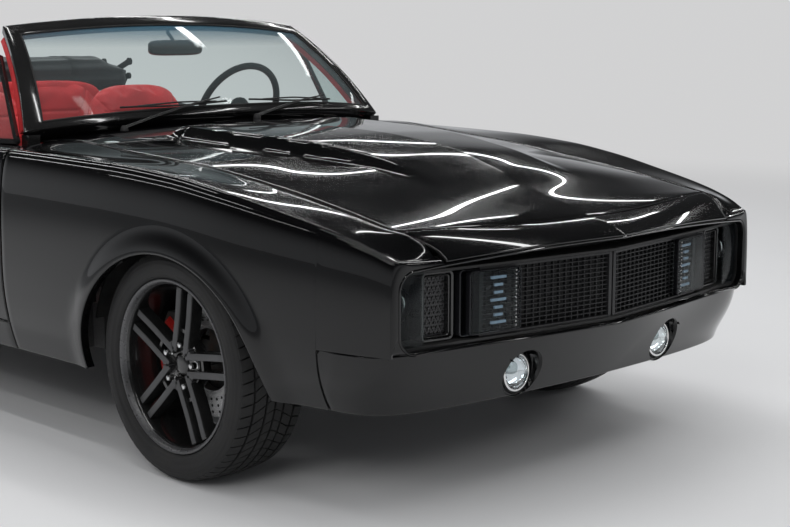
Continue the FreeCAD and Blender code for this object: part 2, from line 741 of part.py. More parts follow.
def round_path(points, radius):
    """A wire through the points whose corners are arcs of one radius."""
    points = [Vector(*p) for p in points]
    edges = []
    start = points[0]
    for before, corner, after in zip(points, points[1:], points[2:]):
        back, ahead = before - corner, after - corner
        turn = math.pi - back.getAngle(ahead)
        reach = radius * math.tan(turn / 2)
        back.normalize()
        ahead.normalize()
        first, last = corner + back * reach, corner + ahead * reach
        middle = (back + ahead).normalize() * (radius / math.cos(turn / 2) - radius)
        edges.append(Part.LineSegment(start, first).toShape())
        edges.append(Part.Arc(first, corner + middle, last).toShape())
        start = last
    edges.append(Part.LineSegment(start, points[-1]).toShape())
    return Part.Wire(edges)


def pipe(points, bend_radius, radius):
    """A round bar or pipe along a path of straight runs and arcs."""
    path = round_path(points, bend_radius)
    start, direction = Vector(*points[0]), Vector(*points[1]) - Vector(*points[0])
    profile = Part.Wire([Part.Circle(start, direction, radius).toShape()])
    return path.makePipeShell([profile], True, False)


def slab(outline, thickness_along):
    """A flat outline pushed along a vector."""
    points = [Vector(*p) for p in outline]
    return Part.Face(Part.makePolygon(points + points[:1])).extrude(Vector(*thickness_along))


def rounded_box(x0, x1, y0, y1, z0, z1, radius):
    block = box(x0, x1, y0, y1, z0, z1)
    return block.makeFillet(radius, block.Edges)


def arch_cutter(axle):
    """A bar of the wheel opening's outline, right through the car, open downwards."""
    rise = ARCH_TOP_HEIGHT - ARCH_CENTRE_HEIGHT
    side = -HALF_WIDTH - OVERRUN
    outline = []
    for i in range(25):
        angle = math.pi * i / 24
        outline.append(Vector(side, axle + ARCH_HALF_LENGTH * math.cos(angle),
                              ARCH_CENTRE_HEIGHT + rise * math.sin(angle)))
    arc = Part.BSplineCurve()
    arc.interpolate(outline)
    corner_rear = Vector(side, outline[0].y, 0)
    corner_front = Vector(side, outline[-1].y, 0)
    edges = [arc.toShape(), Part.LineSegment(outline[-1], corner_front).toShape(),
             Part.LineSegment(corner_front, corner_rear).toShape(),
             Part.LineSegment(corner_rear, outline[0]).toShape()]
    return Part.Face(Part.Wire(edges)).extrude(Vector(2 * (HALF_WIDTH + OVERRUN), 0, 0))


def opening_cutter(setback, shrink=0.0):
    """The full-width grille opening, pushed through the nose; its ends are rounded."""
    half, low, high = LIP_SIDE_X - shrink, LIP_BOTTOM + shrink, LIP_TOP_CORNER - shrink
    radius = LIP_CORNER_RADIUS - shrink
    front = NOSE_Y - OVERRUN
    right = math.sqrt(0.5)
    arcs = []
    for cx, cz, turn in ((half - radius, low + radius, -1), (half - radius, high - radius, 1)):
        first = Vector(cx, front, cz + turn * radius)
        middle = Vector(cx + radius * right, front, cz + turn * radius * right)
        arcs.append((first, middle, Vector(cx + radius, front, cz)))
    low_arc, high_arc = arcs
    low_left = [Vector(-p.x, p.y, p.z) for p in low_arc]
    high_left = [Vector(-p.x, p.y, p.z) for p in high_arc]
    peak = Vector(0, front, LIP_TOP - shrink)
    edges = [Part.Arc(*low_arc), Part.LineSegment(low_arc[2], high_arc[2]), Part.Arc(*high_arc),
             Part.Arc(high_arc[0], peak, high_left[0]), Part.Arc(*high_left),
             Part.LineSegment(high_left[2], low_left[2]), Part.Arc(*low_left),
             Part.LineSegment(low_left[0], low_arc[0])]
    wire = Part.Wire(Part.__sortEdges__([e.toShape() for e in edges]))
    return Part.Face(wire).extrude(Vector(0, OVERRUN + setback, 0))


def side_point(y, v, top_strip=0.18, bottom=None):
    """A point of the side skin: v runs from the hood or deck seam, over the crown, down the flank."""
    if v < top_strip:
        t = v / top_strip
        x = seam_x(y) + (crown_x(y) - seam_x(y)) * t
        return x, y, top_z(x, y)
    low = bottom_z(y) if bottom is None else bottom
    t = (v - top_strip) / (1 - top_strip)
    top, middle = crown_z(y), WIDEST_HEIGHT_SHARE * crown_z(y)
    turn = 0.45
    if t < turn:
        # quarter turn from the crown to the widest line
        angle = (1 - t / turn) * math.pi / 2
        z = middle + (top - middle) * math.sin(angle) ** (2 / SHOULDER_POWER)
    else:
        z = middle - (middle - low) * (t - turn) / (1 - turn)
    return flank_x(y, z), y, z


STRIP_STEPS_SHARES = (0.0, 0.05, 0.1, 0.15)
FLANK_STEPS_SHARES = tuple(0.18 + 0.82 * i / 22 for i in range(23))


def side_skin(y0, y1, count, with_strip=True, bottom=None, depth=SKIN):
    vs = (STRIP_STEPS_SHARES if with_strip else ()) + FLANK_STEPS_SHARES
    return skin_solid(lambda y, v: side_point(y, v, bottom=bottom), spread(y0, y1, count), vs, depth)


def between_seams(y0, y1, gap):
    """Everything between the two long seams of the body's top, drawn in by a gap."""
    rows = []
    for y in spread(y0, y1, 40):
        x = seam_x(y) - gap
        rows.append([Vector(x, y, z) for z in spread(0.0, SCREEN_TOP_HEIGHT, 4)])
    left = [[Vector(-p.x, p.y, p.z) for p in row] for row in rows]
    return solid_between(rows, left)


def make_fender():
    """Front fender of the left side, with its wheel opening."""
    rear = DOOR_FRONT_Y - SHUT_GAP / 2
    nose = FENDER_NOSE_Y
    shape = side_skin(nose, rear, 44)
    shape = shape.cut(arch_cutter(FRONT_AXLE_Y))
    under_nose = box(0, HALF_WIDTH + OVERRUN, NOSE_Y - OVERRUN, VALANCE_REAR_Y, 0, LIP_BOTTOM)
    return shape.cut(between_seams(NOSE_Y - OVERRUN, rear + OVERRUN, 0)).cut(under_nose).cut(opening_cutter(PROW_DEPTH + OVERRUN * 5))


def hood_point(u, v):
    """u runs across from one seam to the other, v from the front seam back to the cowl."""
    front = hood_front_y(u * HALF_WIDTH * 0.7)
    y = front + (HOOD_REAR_Y - front) * v
    x = u * (seam_x(y) - SHUT_GAP)
    return x, y, top_z(x, y)


def make_hood():
    across = [i / 16 for i in range(-16, 17)]
    return skin_solid(hood_point, across, spread(0.0, 1.0, 26), -LID_SKIN)


def header_point(u, v):
    """u runs across the nose panel, v from the hood's seam forward and down to the lip of the grille."""
    y = NOSE_Y + PROW_DEPTH
    for step in range(8):
        x = u * (seam_x(y) + SKIN / 2)
        back_y = hood_front_y(x) - SHUT_GAP
        y = back_y + (lip_y(x) - back_y) * v
    back_z = top_z(x, back_y)
    drop = 0.45 * v + 0.55 * v ** 2.4
    return x, y, back_z + (lip_z(x) + SKIN * 0.4 - back_z) * drop


def make_header():
    across = [i / 14 for i in range(-14, 15)]
    shape = skin_solid(header_point, across, spread(0.0, 1.0, 9), SKIN)
    return shape.common(between_seams(NOSE_Y - OVERRUN, FRONT_AXLE_Y, SEAM_CLEARANCE))


def valance_point(u, v):
    """u runs from the right flank round the nose to the left flank, v from the grille lip down to the chin."""
    angle = math.pi / 2 * (1 - abs(u))
    power = NOSE_CORNER_POWER + (CHIN_CORNER_POWER - NOSE_CORNER_POWER) * smooth(v * 1.1)
    rear = VALANCE_REAR_Y
    z = LIP_BOTTOM + (VALANCE_BOTTOM - LIP_BOTTOM) * v
    corner_y = FENDER_NOSE_Y + CHIN_CORNER_SETBACK * (v - CHIN_LEAD_SHARE)
    y = rear - (rear - corner_y) * math.sin(angle) ** (2 / power)
    x = flank_x(y, z) * math.cos(angle) ** (2 / power)
    prow = (PROW_DEPTH - 10) * (1 - v) + (PROW_DEPTH - CHIN_SETBACK) * v
    y -= prow * max(0.0, 1 - x / LIP_SIDE_X) ** 0.9 * smooth(1.3 * (1 - x / HALF_WIDTH))
    side = 1 if u >= 0 else -1
    return side * x, y, z


def make_valance():
    half_steps = [i / 18 for i in range(19)]
    across = [-u for u in reversed(half_steps[1:])] + half_steps
    shape = skin_solid(valance_point, across, spread(0.0, 1.0, 8), -SKIN)
    for side in (-1, 1):
        hole = rod((side * FOG_X, NOSE_Y - OVERRUN, FOG_HEIGHT), (side * FOG_X, FRONT_AXLE_Y, FOG_HEIGHT),
                   FOG_RECESS_RADIUS)
        shape = shape.cut(hole)
    return shape


def screen_posts(gap):
    """The windscreen's two feet behind the cowl, or with a gap the room that they need."""
    front = screen_base_y(1.0) - SCREEN_POST_LEAD
    rear = screen_base_y(1.0) + SCREEN_FRAME_DEPTH
    top = SCREEN_BASE_HEIGHT - SCREEN_BASE_DROP - SCREEN_POST_LEAD / 2
    feet = [both(side, SCREEN_BASE_HALF - SCREEN_POST_WIDTH - gap, SCREEN_BASE_HALF - SKIN / 2 + gap, front - gap,
                 rear + gap, PILLAR_HEIGHT, top + gap) for side in (-1, 1)]
    return feet[0].fuse(feet[1])


def make_cowl():
    """Panel between the hood and the windscreen."""
    def place(u, v):
        start = HOOD_REAR_Y + SHUT_GAP
        end = screen_base_y(u) + SCREEN_FRAME_DEPTH
        y = start + (end - start) * v
        x = u * (seam_x(y) + SKIN / 2)
        return x, y, top_z(x, y)
    cowl = skin_solid(place, [i / 12 for i in range(-12, 13)], spread(0.0, 1.0, 8), -SKIN)
    cowl = cowl.common(between_seams(HOOD_REAR_Y, DOOR_FRONT_Y + SCREEN_BASE_SWEEP * 2, SEAM_CLEARANCE))
    return cowl.cut(screen_posts(SEAM_CLEARANCE))


def screen_base_y(u):
    return SCREEN_BASE_Y + SCREEN_BASE_SWEEP * abs(u) ** 2.2


def screen_point(u, v):
    """u runs across the windscreen, v from its base to its header."""
    low = Vector(SCREEN_BASE_HALF * u, screen_base_y(u), SCREEN_BASE_HEIGHT - SCREEN_BASE_DROP * abs(u) ** 2.5)
    high = Vector(SCREEN_TOP_HALF * u, SCREEN_TOP_Y + SCREEN_TOP_SWEEP * u * u,
                  SCREEN_TOP_HEIGHT - SCREEN_TOP_DROP * u * u)
    point = low + (high - low) * v
    swell = SCREEN_BULGE * 4 * v * (1 - v)
    return point.x, point.y - swell * math.sqrt(0.5), point.z + swell * math.sqrt(0.5)


SCREEN_SIDE_SHARE = 0.925
SCREEN_LOW_SHARE = 0.06
SCREEN_HIGH_SHARE = 0.885


def screen_opening():
    us = [i / 10 * SCREEN_SIDE_SHARE for i in range(-10, 11)]
    vs = [SCREEN_LOW_SHARE + (SCREEN_HIGH_SHARE - SCREEN_LOW_SHARE) * i / 8 for i in range(9)]
    points = grid(screen_point, us, vs)
    return solid_between(offset_grid(points, SCREEN_FRAME_DEPTH), offset_grid(points, -2 * SCREEN_FRAME_DEPTH))


def make_screen():
    us = [i / 10 for i in range(-10, 11)]
    vs = spread(0.0, 1.0, 9)
    frame = skin_solid(screen_point, us, vs, -SCREEN_FRAME_DEPTH)
    frame = fused([frame, screen_posts(0.0)])
    opening = screen_opening()
    points = offset_grid(grid(screen_point, us, vs), -GLASS_THICKNESS)
    glass = solid_between(points, offset_grid(points, -GLASS_THICKNESS))
    return frame.cut(opening), glass.common(opening)


def hinge_axis():
    y = DOOR_FRONT_Y
    middle = sum(HINGE_HEIGHTS) / len(HINGE_HEIGHTS)
    return flank_x(y, middle) - HINGE_INBOARD, y - HINGE_AHEAD


def door_rows(y):
    """One section of the door: over the top from its inner edge, then down the flank."""
    row = []
    for v in STRIP_STEPS_SHARES:
        t = v / FLANK_STEPS_SHARES[0]
        row.append(Vector(DOOR_TOP_X + (crown_x(y) - DOOR_TOP_X) * t, y, crown_z(y)))
    for v in FLANK_STEPS_SHARES:
        row.append(Vector(*side_point(y, v, bottom=DOOR_BOTTOM)))
    return row


def make_door():
    ys = spread(DOOR_FRONT_Y + SHUT_GAP / 2, DOOR_REAR_Y - SHUT_GAP / 2, 26)
    outer = [door_rows(y) for y in ys]
    inner = []
    for row in outer:
        heights = spread(row[0].z - LID_SKIN, row[-1].z, len(row))
        inner.append([Vector(DOOR_INNER_X, row[0].y, z) for z in heights])
    door = solid_between(outer, inner)
    hx, hy = hinge_axis()
    reach = math.hypot(HINGE_INBOARD, HINGE_AHEAD) + SHUT_GAP / 4
    door = door.cut(rod((hx, hy, 0), (hx, hy, SCREEN_TOP_HEIGHT), reach))
    pieces = [door]
    back = HINGE_INBOARD * 0.62
    for z in HINGE_HEIGHTS:
        low = z + HINGE_LEAF / 2 + HINGE_LEAF_GAP
        arm = slab(((hx - HINGE_EYE_RADIUS * 0.9, hy, low), (hx - back - HINGE_EYE_RADIUS, hy + reach * 0.9, low),
                    (hx - back - HINGE_EYE_RADIUS, hy + reach + HINGE_LEAF * 2, low),
                    (hx - back + HINGE_EYE_RADIUS, hy + reach + HINGE_LEAF * 2, low),
                    (hx - back + HINGE_EYE_RADIUS * 0.6, hy + reach * 0.8, low),
                    (hx + HINGE_EYE_RADIUS * 0.7, hy + HINGE_EYE_RADIUS * 0.6, low)), (0, 0, HINGE_LEAF))
        eye = rod((hx, hy, low), (hx, hy, low + HINGE_LEAF), HINGE_EYE_RADIUS)
        bore = rod((hx, hy, low - HINGE_LEAF), (hx, hy, low + HINGE_LEAF * 2), HINGE_PIN_RADIUS + SHAFT_CLEARANCE)
        pieces.append(arm.fuse(eye).cut(bore))
    return fused(pieces + [vent_frame()]), vent_glass()


def vent_outline(inset):
    """The swivelling quarter light's outline in its leaning plane, drawn in by an inset."""
    sill = crown_z(VENT_FRONT_Y) - LID_SKIN / 2
    lean = (VENT_TOP_X - VENT_BASE_X) / (VENT_TOP_HEIGHT - sill)
    corners = ((VENT_FRONT_Y + inset * 2.2, sill + inset), (VENT_REAR_Y - inset, sill + inset),
               (VENT_TOP_REAR_Y - inset, VENT_TOP_HEIGHT - inset * 1.6),
               (VENT_TOP_FRONT_Y + inset * 0.55, VENT_TOP_HEIGHT - inset * 1.6))
    return [(VENT_BASE_X + lean * (z - sill), y, z) for y, z in corners]


def vent_frame():
    ring = slab(vent_outline(0.0), (VENT_THICKNESS, 0, 0))
    return ring.cut(slab([(x - VENT_THICKNESS, y, z) for x, y, z in vent_outline(VENT_FRAME)],
                         (VENT_THICKNESS * 3, 0, 0)))


def vent_glass():
    inset = [(x + VENT_THICKNESS / 3, y, z) for x, y, z in vent_outline(VENT_FRAME)]
    return slab(inset, (VENT_THICKNESS / 3, 0, 0))


def make_quarter():
    shape = side_skin(DOOR_REAR_Y + SHUT_GAP / 2, TAIL_Y, 54)
    return shape.cut(between_seams(DOOR_REAR_Y - OVERRUN, TAIL_Y + OVERRUN, 0)).cut(arch_cutter(REAR_AXLE_Y))


def deck_skin(start, end, count, gap, depth):
    def place(u, v):
        y = start + (end - start) * v
        x = u * (seam_x(y) + SKIN / 2)
        return x, y, top_z(x, y)
    skin = skin_solid(place, [i / 12 for i in range(-12, 13)], spread(0.0, 1.0, count), -depth)
    return skin.common(between_seams(start - OVERRUN, end + OVERRUN, gap))


def tail_face_y(x, z):
    """The tail's outer face, bowed in plan and leaning away above and below its middle."""
    middle = (TAIL_PANEL_BOTTOM + crown_z(TAIL_Y)) / 2
    lean = ((z - middle) / (crown_z(TAIL_Y) - TAIL_PANEL_BOTTOM)) ** 2
    return TAIL_Y - TAIL_BOW * ((abs(x) / HALF_WIDTH) ** 3 + lean)


def tail_band(low, high, rows, depth):
    """Part of the tail's face between two heights, bowed in plan, its ends let into the quarters."""
    def place(u, v):
        z = low + (high - low) * v
        y = tail_face_y(u * HALF_WIDTH, z)
        return u * (flank_x(y, z) - SKIN / 2), y, z
    return skin_solid(place, [i / 12 for i in range(-12, 13)], spread(0.0, 1.0, rows), depth)


def make_tail():
    """Tail panel, the roll pan under it and the lamps."""
    panel = tail_band(TAIL_PANEL_BOTTOM - SKIN, crown_z(TAIL_Y) - SKIN * 3, 9, LID_SKIN)
    pan = tail_band(bottom_z(TAIL_Y), TAIL_PANEL_BOTTOM + SKIN, 7, LID_SKIN)
    half = HALF_WIDTH + OVERRUN
    panel = panel.cut(box(-half, half, REAR_AXLE_Y, TAIL_Y + OVERRUN, 0, TAIL_PANEL_BOTTOM + FACE_CLEARANCE))
    pan = pan.cut(box(-half, half, REAR_AXLE_Y, TAIL_Y + OVERRUN, TAIL_PANEL_BOTTOM, BELT_HEIGHT))
    quarter = side_skin(LID_FRONT_Y, TAIL_Y + OVERRUN, 20, depth=SKIN + SEAM_CLEARANCE)
    for side in (quarter, mirrored(quarter)):
        panel, pan = panel.cut(side), pan.cut(side)
    lamps = []
    for side in (-1, 1):
        for step in (-1, 1):
            near = side * LAMP_X + step * LAMP_BAR / 2
            far = side * LAMP_X + step * LAMP_HALF
            lamps.append(box(min(near, far), max(near, far), TAIL_Y - TAIL_BOW * 2 - LAMP_DEPTH, TAIL_Y, LAMP_LOW,
                             LAMP_HIGH))
    for lamp in lamps:
        panel = panel.cut(lamp)
    band = tail_band(LAMP_LOW - LAMP_BAR, LAMP_HIGH + LAMP_BAR, 8, LID_SKIN)
    lenses = Part.makeCompound([lamp.common(band) for lamp in lamps])
    for side in (-1, 1):
        pan = pan.cut(rod((side * PIPE_TAIL_X, TAIL_Y - TAIL_BOW * 4, TAIL_PIPE_HEIGHT),
                          (side * PIPE_TAIL_X, TAIL_Y + OVERRUN, TAIL_PIPE_HEIGHT), PIPE_RADIUS * 2))
    return panel, pan, lenses


def both(side, x0, x1, *rest_of_box):
    """A box on one side of the car, between two distances from its middle."""
    low, high = sorted((side * x0, side * x1))
    return box(low, high, *rest_of_box)


def wheelhouse(side, axle, x_in):
    """Rounded shell over a wheel, from a distance from the car's middle out to the flank."""
    radius = ARCH_HALF_LENGTH + WHEELHOUSE_REACH
    start = (side * x_in, axle, WHEELHOUSE_CENTRE)
    end = (side * WHEELHOUSE_OUTER_X, axle, WHEELHOUSE_CENTRE)
    ring = rod(start, end, radius + WHEELHOUSE_WALL).cut(rod(start, end, radius))
    keep = both(side, x_in, WHEELHOUSE_OUTER_X, axle - 2 * radius, axle + 2 * radius, FLOOR_HEIGHT + FLOOR_THICKNESS,
                2 * radius + BELT_HEIGHT)
    return ring.common(keep)


def make_floor():
    """Cabin floor with its tunnel, both sills and the upright behind the rear footwells."""
    sill_top = DOOR_BOTTOM - SHUT_GAP
    rows, inner = [], []
    for y in spread(DOOR_FRONT_Y + SHUT_GAP / 2, DOOR_REAR_Y - SHUT_GAP / 2, 12):
        heights = spread(sill_top, bottom_z(y), 8)
        rows.append([Vector(flank_x(y, z), y, z) for z in heights])
        inner.append([Vector(SILL_INNER_X, y, z) for z in heights])
    sill = solid_between(rows, inner)
    kick_top = REAR_FLOOR_HEIGHT - TUB_WALL
    parts = [sill, mirrored(sill),
             box(-SILL_INNER_X, SILL_INNER_X, FIREWALL_Y, KICK_UP_Y, FLOOR_HEIGHT, FLOOR_HEIGHT + FLOOR_THICKNESS),
             box(-TUNNEL_HALF, TUNNEL_HALF, FIREWALL_Y, KICK_UP_Y, FLOOR_HEIGHT, TUNNEL_TOP),
             box(-REAR_INNER_X, REAR_INNER_X, KICK_UP_Y, KICK_UP_Y + TUB_WALL, FLOOR_HEIGHT, kick_top)]
    for side in (-1, 1):
        parts.append(both(side, SILL_INNER_X, PILLAR_OUTER_X, PILLAR_FRONT_Y, DOOR_FRONT_Y + SHUT_GAP / 2,
                          FLOOR_HEIGHT, sill_top))
    hollow = box(-TUNNEL_HALF + TUB_WALL, TUNNEL_HALF - TUB_WALL, FIREWALL_Y - OVERRUN, KICK_UP_Y + OVERRUN, 0,
                 TUNNEL_TOP - TUB_WALL)
    return fused(parts).cut(hollow)


def make_bulkhead():
    """Firewall, the box under the cowl, and the pillars with the pins that carry the doors."""
    floor_top = FLOOR_HEIGHT + FLOOR_THICKNESS
    sill_top = DOOR_BOTTOM - SHUT_GAP
    inner = SILL_INNER_X - TUB_WALL
    cowl_top = seam_z(FIREWALL_Y) - SKIN * 3
    parts = [box(-SILL_INNER_X, SILL_INNER_X, FIREWALL_Y, FIREWALL_Y + TUB_WALL, floor_top, COWL_BOX_BOTTOM),
             box(-SILL_INNER_X, SILL_INNER_X, FIREWALL_Y, COWL_REAR_Y, COWL_BOX_BOTTOM, cowl_top)]
    hx, hy = hinge_axis()
    for side in (-1, 1):
        parts.append(both(side, inner, SILL_INNER_X, FIREWALL_Y, DOOR_FRONT_Y + SKIN * 9, floor_top, sill_top))
        parts.append(both(side, inner, PILLAR_OUTER_X, PILLAR_FRONT_Y, PILLAR_REAR_Y, sill_top, PILLAR_HEIGHT))
        parts.append(both(side, inner, DOOR_INNER_X - LID_SKIN, PILLAR_REAR_Y, DOOR_FRONT_Y + SKIN * 9, sill_top,
                          PILLAR_HEIGHT))
        parts.append(both(side, APRON_X, SILL_INNER_X, FIREWALL_Y, PILLAR_REAR_Y, floor_top, RAIL_TOP))
        parts.append(rest(side * HOOD_REST_X, FIREWALL_Y, HOOD_REAR_Y - SHUT_GAP / 2, COWL_BOX_BOTTOM))
        for z in HINGE_HEIGHTS:
            parts.append(both(side, hx - HINGE_PIN_RADIUS * 3, hx + HINGE_PIN_RADIUS, PILLAR_REAR_Y,
                              hy + HINGE_PIN_RADIUS, z - HINGE_LEAF / 2, z + HINGE_LEAF / 2))
            parts.append(rod((side * hx, hy, z), (side * hx, hy, z + HINGE_LEAF * 1.6), HINGE_PIN_RADIUS))
    tunnel = box(-TUNNEL_HALF, TUNNEL_HALF, FIREWALL_Y - OVERRUN, FIREWALL_Y + OVERRUN, 0, TUNNEL_TOP)
    return fused(parts).cut(tunnel)


def make_aprons():
    """Inner fender panels with their rounded wheelhouses, one on each side."""
    aprons = []
    front = SUPPORT_FRONT_Y + SUPPORT_DEPTH
    arm_top = TYRE_RADIUS + KNUCKLE_HALF_HEIGHT + ARM_GAP + ARM_HEIGHT + SKIN
    for side in (-1, 1):
        wall = both(side, APRON_X, APRON_X + TUB_WALL, front, FIREWALL_Y, RAIL_TOP, APRON_TOP)
        house = wheelhouse(side, FRONT_AXLE_Y, APRON_X)
        house = house.common(both(side, APRON_X, WHEELHOUSE_OUTER_X, front, FIREWALL_Y, RAIL_TOP, BELT_HEIGHT))
        window = both(side, APRON_X, APRON_X + TUB_WALL, FRONT_AXLE_Y - ARM_SPREAD - SKIN,
                      FRONT_AXLE_Y + ARM_SPREAD + SKIN, RAIL_TOP, arm_top)
        post_low = WHEELHOUSE_CENTRE + ARCH_HALF_LENGTH + WHEELHOUSE_REACH
        post = rest(side * FENDER_REST_X, FRONT_AXLE_Y - REST_LENGTH / 2, FRONT_AXLE_Y + REST_LENGTH / 2, post_low, SKIN)
        aprons.append(fused([wall, house, post]).cut(window))
    return Part.makeCompound(aprons)


def make_rear_floor():
    """Trunk floor back to the roll pan, the bulkhead behind the rear seat and the posts that carry the lid."""
    low = REAR_FLOOR_HEIGHT - TUB_WALL
    edge = []
    for t in spread(-1.0, 1.0, 13):
        x = t * REAR_INNER_X
        edge.append((x, tail_face_y(x, low) - LID_SKIN / 2, low))
    front = [(REAR_INNER_X, KICK_UP_Y, low), (-REAR_INNER_X, KICK_UP_Y, low)]
    parts = [slab(edge + front, (0, 0, TUB_WALL)),
             box(-REAR_INNER_X, REAR_INNER_X, SEAT_BULKHEAD_Y, SEAT_BULKHEAD_Y + TUB_WALL, REAR_FLOOR_HEIGHT,
                 BULKHEAD_HEIGHT)]
    for side in (-1, 1):
        parts.append(rest(side * LID_REST_X, LID_FRONT_Y + SHUT_GAP, LID_FRONT_Y + REST_LENGTH,
                          REAR_FLOOR_HEIGHT - TUB_WALL / 2))
    return fused(parts).cut(tail_band(bottom_z(TAIL_Y), TAIL_PANEL_BOTTOM, 7, LID_SKIN + SEAM_CLEARANCE))


def make_rear_houses():
    """Rear wheelhouses with their inner walls and the pillars behind the doors, one on each side."""
    houses = []
    radius = ARCH_HALF_LENGTH + WHEELHOUSE_REACH
    floor_top = FLOOR_HEIGHT + FLOOR_THICKNESS
    for side in (-1, 1):
        start = (side * REAR_INNER_X, REAR_AXLE_Y, WHEELHOUSE_CENTRE)
        end = (side * (REAR_INNER_X + TUB_WALL), REAR_AXLE_Y, WHEELHOUSE_CENTRE)
        wall = rod(start, end, radius + WHEELHOUSE_WALL)
        wall = wall.common(both(side, REAR_INNER_X, REAR_INNER_X + TUB_WALL, REAR_AXLE_Y - BELT_HEIGHT,
                                REAR_AXLE_Y + BELT_HEIGHT, REAR_FLOOR_HEIGHT - TUB_WALL, BELT_HEIGHT))
        pillar = both(side, SILL_INNER_X, DOOR_INNER_X, DOOR_REAR_Y + SHUT_GAP, KICK_UP_Y, FLOOR_HEIGHT,
                      PILLAR_HEIGHT)
        closing = both(side, REAR_INNER_X, DOOR_INNER_X, KICK_UP_Y, REAR_AXLE_Y - radius, floor_top, PILLAR_HEIGHT)
        houses.append(fused([wheelhouse(side, REAR_AXLE_Y, REAR_INNER_X), wall, pillar, closing]))
    return Part.makeCompound(houses)


def rest(x, y0, y1, low, panel=LID_SKIN):
    """A post whose top follows the underside of the panel it carries."""
    def place(u, v):
        px, py = x + (u - 0.5) * REST_WIDTH, y0 + (y1 - y0) * v
        return px, py, top_z(px, py) - panel * 1.03 - FACE_CLEARANCE
    points = grid(place, spread(0.0, 1.0, 5), spread(0.0, 1.0, 5))
    return solid_between(points, [[Vector(p.x, p.y, low) for p in row] for row in points])


def make_subframe():
    """Front rails, cross-members, control arms and the core support with its radiator."""
    parts = []
    low, high = FRAME_RAIL_LOW, RAIL_TOP
    front = SUPPORT_FRONT_Y + SUPPORT_DEPTH
    for side in (-1, 1):
        x0, x1 = sorted((side * FRAME_RAIL_X, side * (FRAME_RAIL_X + FRAME_RAIL_WIDTH)))
        parts.append(box(x0, x1, SUPPORT_FRONT_Y, FRAME_RAIL_REAR_Y, low, high))
        axle = FRONT_AXLE_Y
        knuckle_low = TYRE_RADIUS - KNUCKLE_HALF_HEIGHT
        knuckle_high = TYRE_RADIUS + KNUCKLE_HALF_HEIGHT
        pivot = side * KINGPIN_X
        root = side * FRAME_RAIL_X
        for base in (knuckle_low - ARM_GAP - ARM_HEIGHT, knuckle_high + ARM_GAP):
            arm = slab(((root, axle - ARM_SPREAD, base), (root, axle + ARM_SPREAD, base),
                        (pivot, axle + ARM_EYE_RADIUS, base), (pivot, axle - ARM_EYE_RADIUS, base)),
                       (0, 0, ARM_HEIGHT))
            eye = rod((pivot, axle, base), (pivot, axle, base + ARM_HEIGHT), ARM_EYE_RADIUS)
            bore = rod((pivot, axle, base - ARM_HEIGHT), (pivot, axle, base + ARM_HEIGHT * 2),
                       KINGPIN_RADIUS + SHAFT_CLEARANCE)
            parts.append(arm.fuse(eye).cut(bore))
        tower_x0, tower_x1 = sorted((side * FRAME_RAIL_X, side * (FRAME_RAIL_X + FRAME_RAIL_WIDTH)))
        parts.append(box(tower_x0, tower_x1, axle - ARM_SPREAD, axle + ARM_SPREAD,
                         knuckle_low - ARM_GAP - ARM_HEIGHT, knuckle_high + ARM_GAP + ARM_HEIGHT))
    parts.append(box(-FRAME_RAIL_X, FRAME_RAIL_X, FRONT_AXLE_Y - CROSS_HALF, FRONT_AXLE_Y + CROSS_HALF, CROSS_LOW,
                     ENGINE_LOW - MOUNT_HALF / 2))
    parts.append(box(-SUPPORT_HALF, SUPPORT_HALF, SUPPORT_FRONT_Y, front, SUPPORT_LOW, SUPPORT_HIGH))
    whole = fused(parts)
    window = box(-RADIATOR_HALF, RADIATOR_HALF, SUPPORT_FRONT_Y - OVERRUN, SUPPORT_FRONT_Y + TUB_WALL * 2,
                 RADIATOR_LOW, RADIATOR_HIGH)
    return whole.cut(window)


def make_knuckle(side):
    """Steering knuckle with its kingpins, the wheel's stub and the brake caliper."""
    axle = FRONT_AXLE_Y
    x_mid = side * KINGPIN_X
    half = KNUCKLE_DEPTH / 2
    body = box(x_mid - half, x_mid + half, axle - KNUCKLE_LENGTH / 2, axle + KNUCKLE_LENGTH / 2,
               TYRE_RADIUS - KNUCKLE_HALF_HEIGHT, TYRE_RADIUS + KNUCKLE_HALF_HEIGHT)
    reach = KNUCKLE_HALF_HEIGHT + ARM_HEIGHT + ARM_GAP
    pins = rod((x_mid, axle, TYRE_RADIUS - reach), (x_mid, axle, TYRE_RADIUS + reach), KINGPIN_RADIUS)
    return fused([body, pins, stub(side, axle, x_mid)] + caliper(side, axle, x_mid + side * half))


def stub(side, axle, x_from):
    x_to = side * (WHEEL_CENTRE_X + HUB_THICKNESS / 2)
    return rod((x_from, axle, TYRE_RADIUS), (x_to, axle, TYRE_RADIUS), AXLE_STUB_RADIUS)


def disc_span():
    """Inner and outer faces of the brake disc, from the car's middle."""
    inner = KINGPIN_X + KNUCKLE_DEPTH / 2 + CALIPER_GAP * 2
    return inner, inner + DISC_THICKNESS


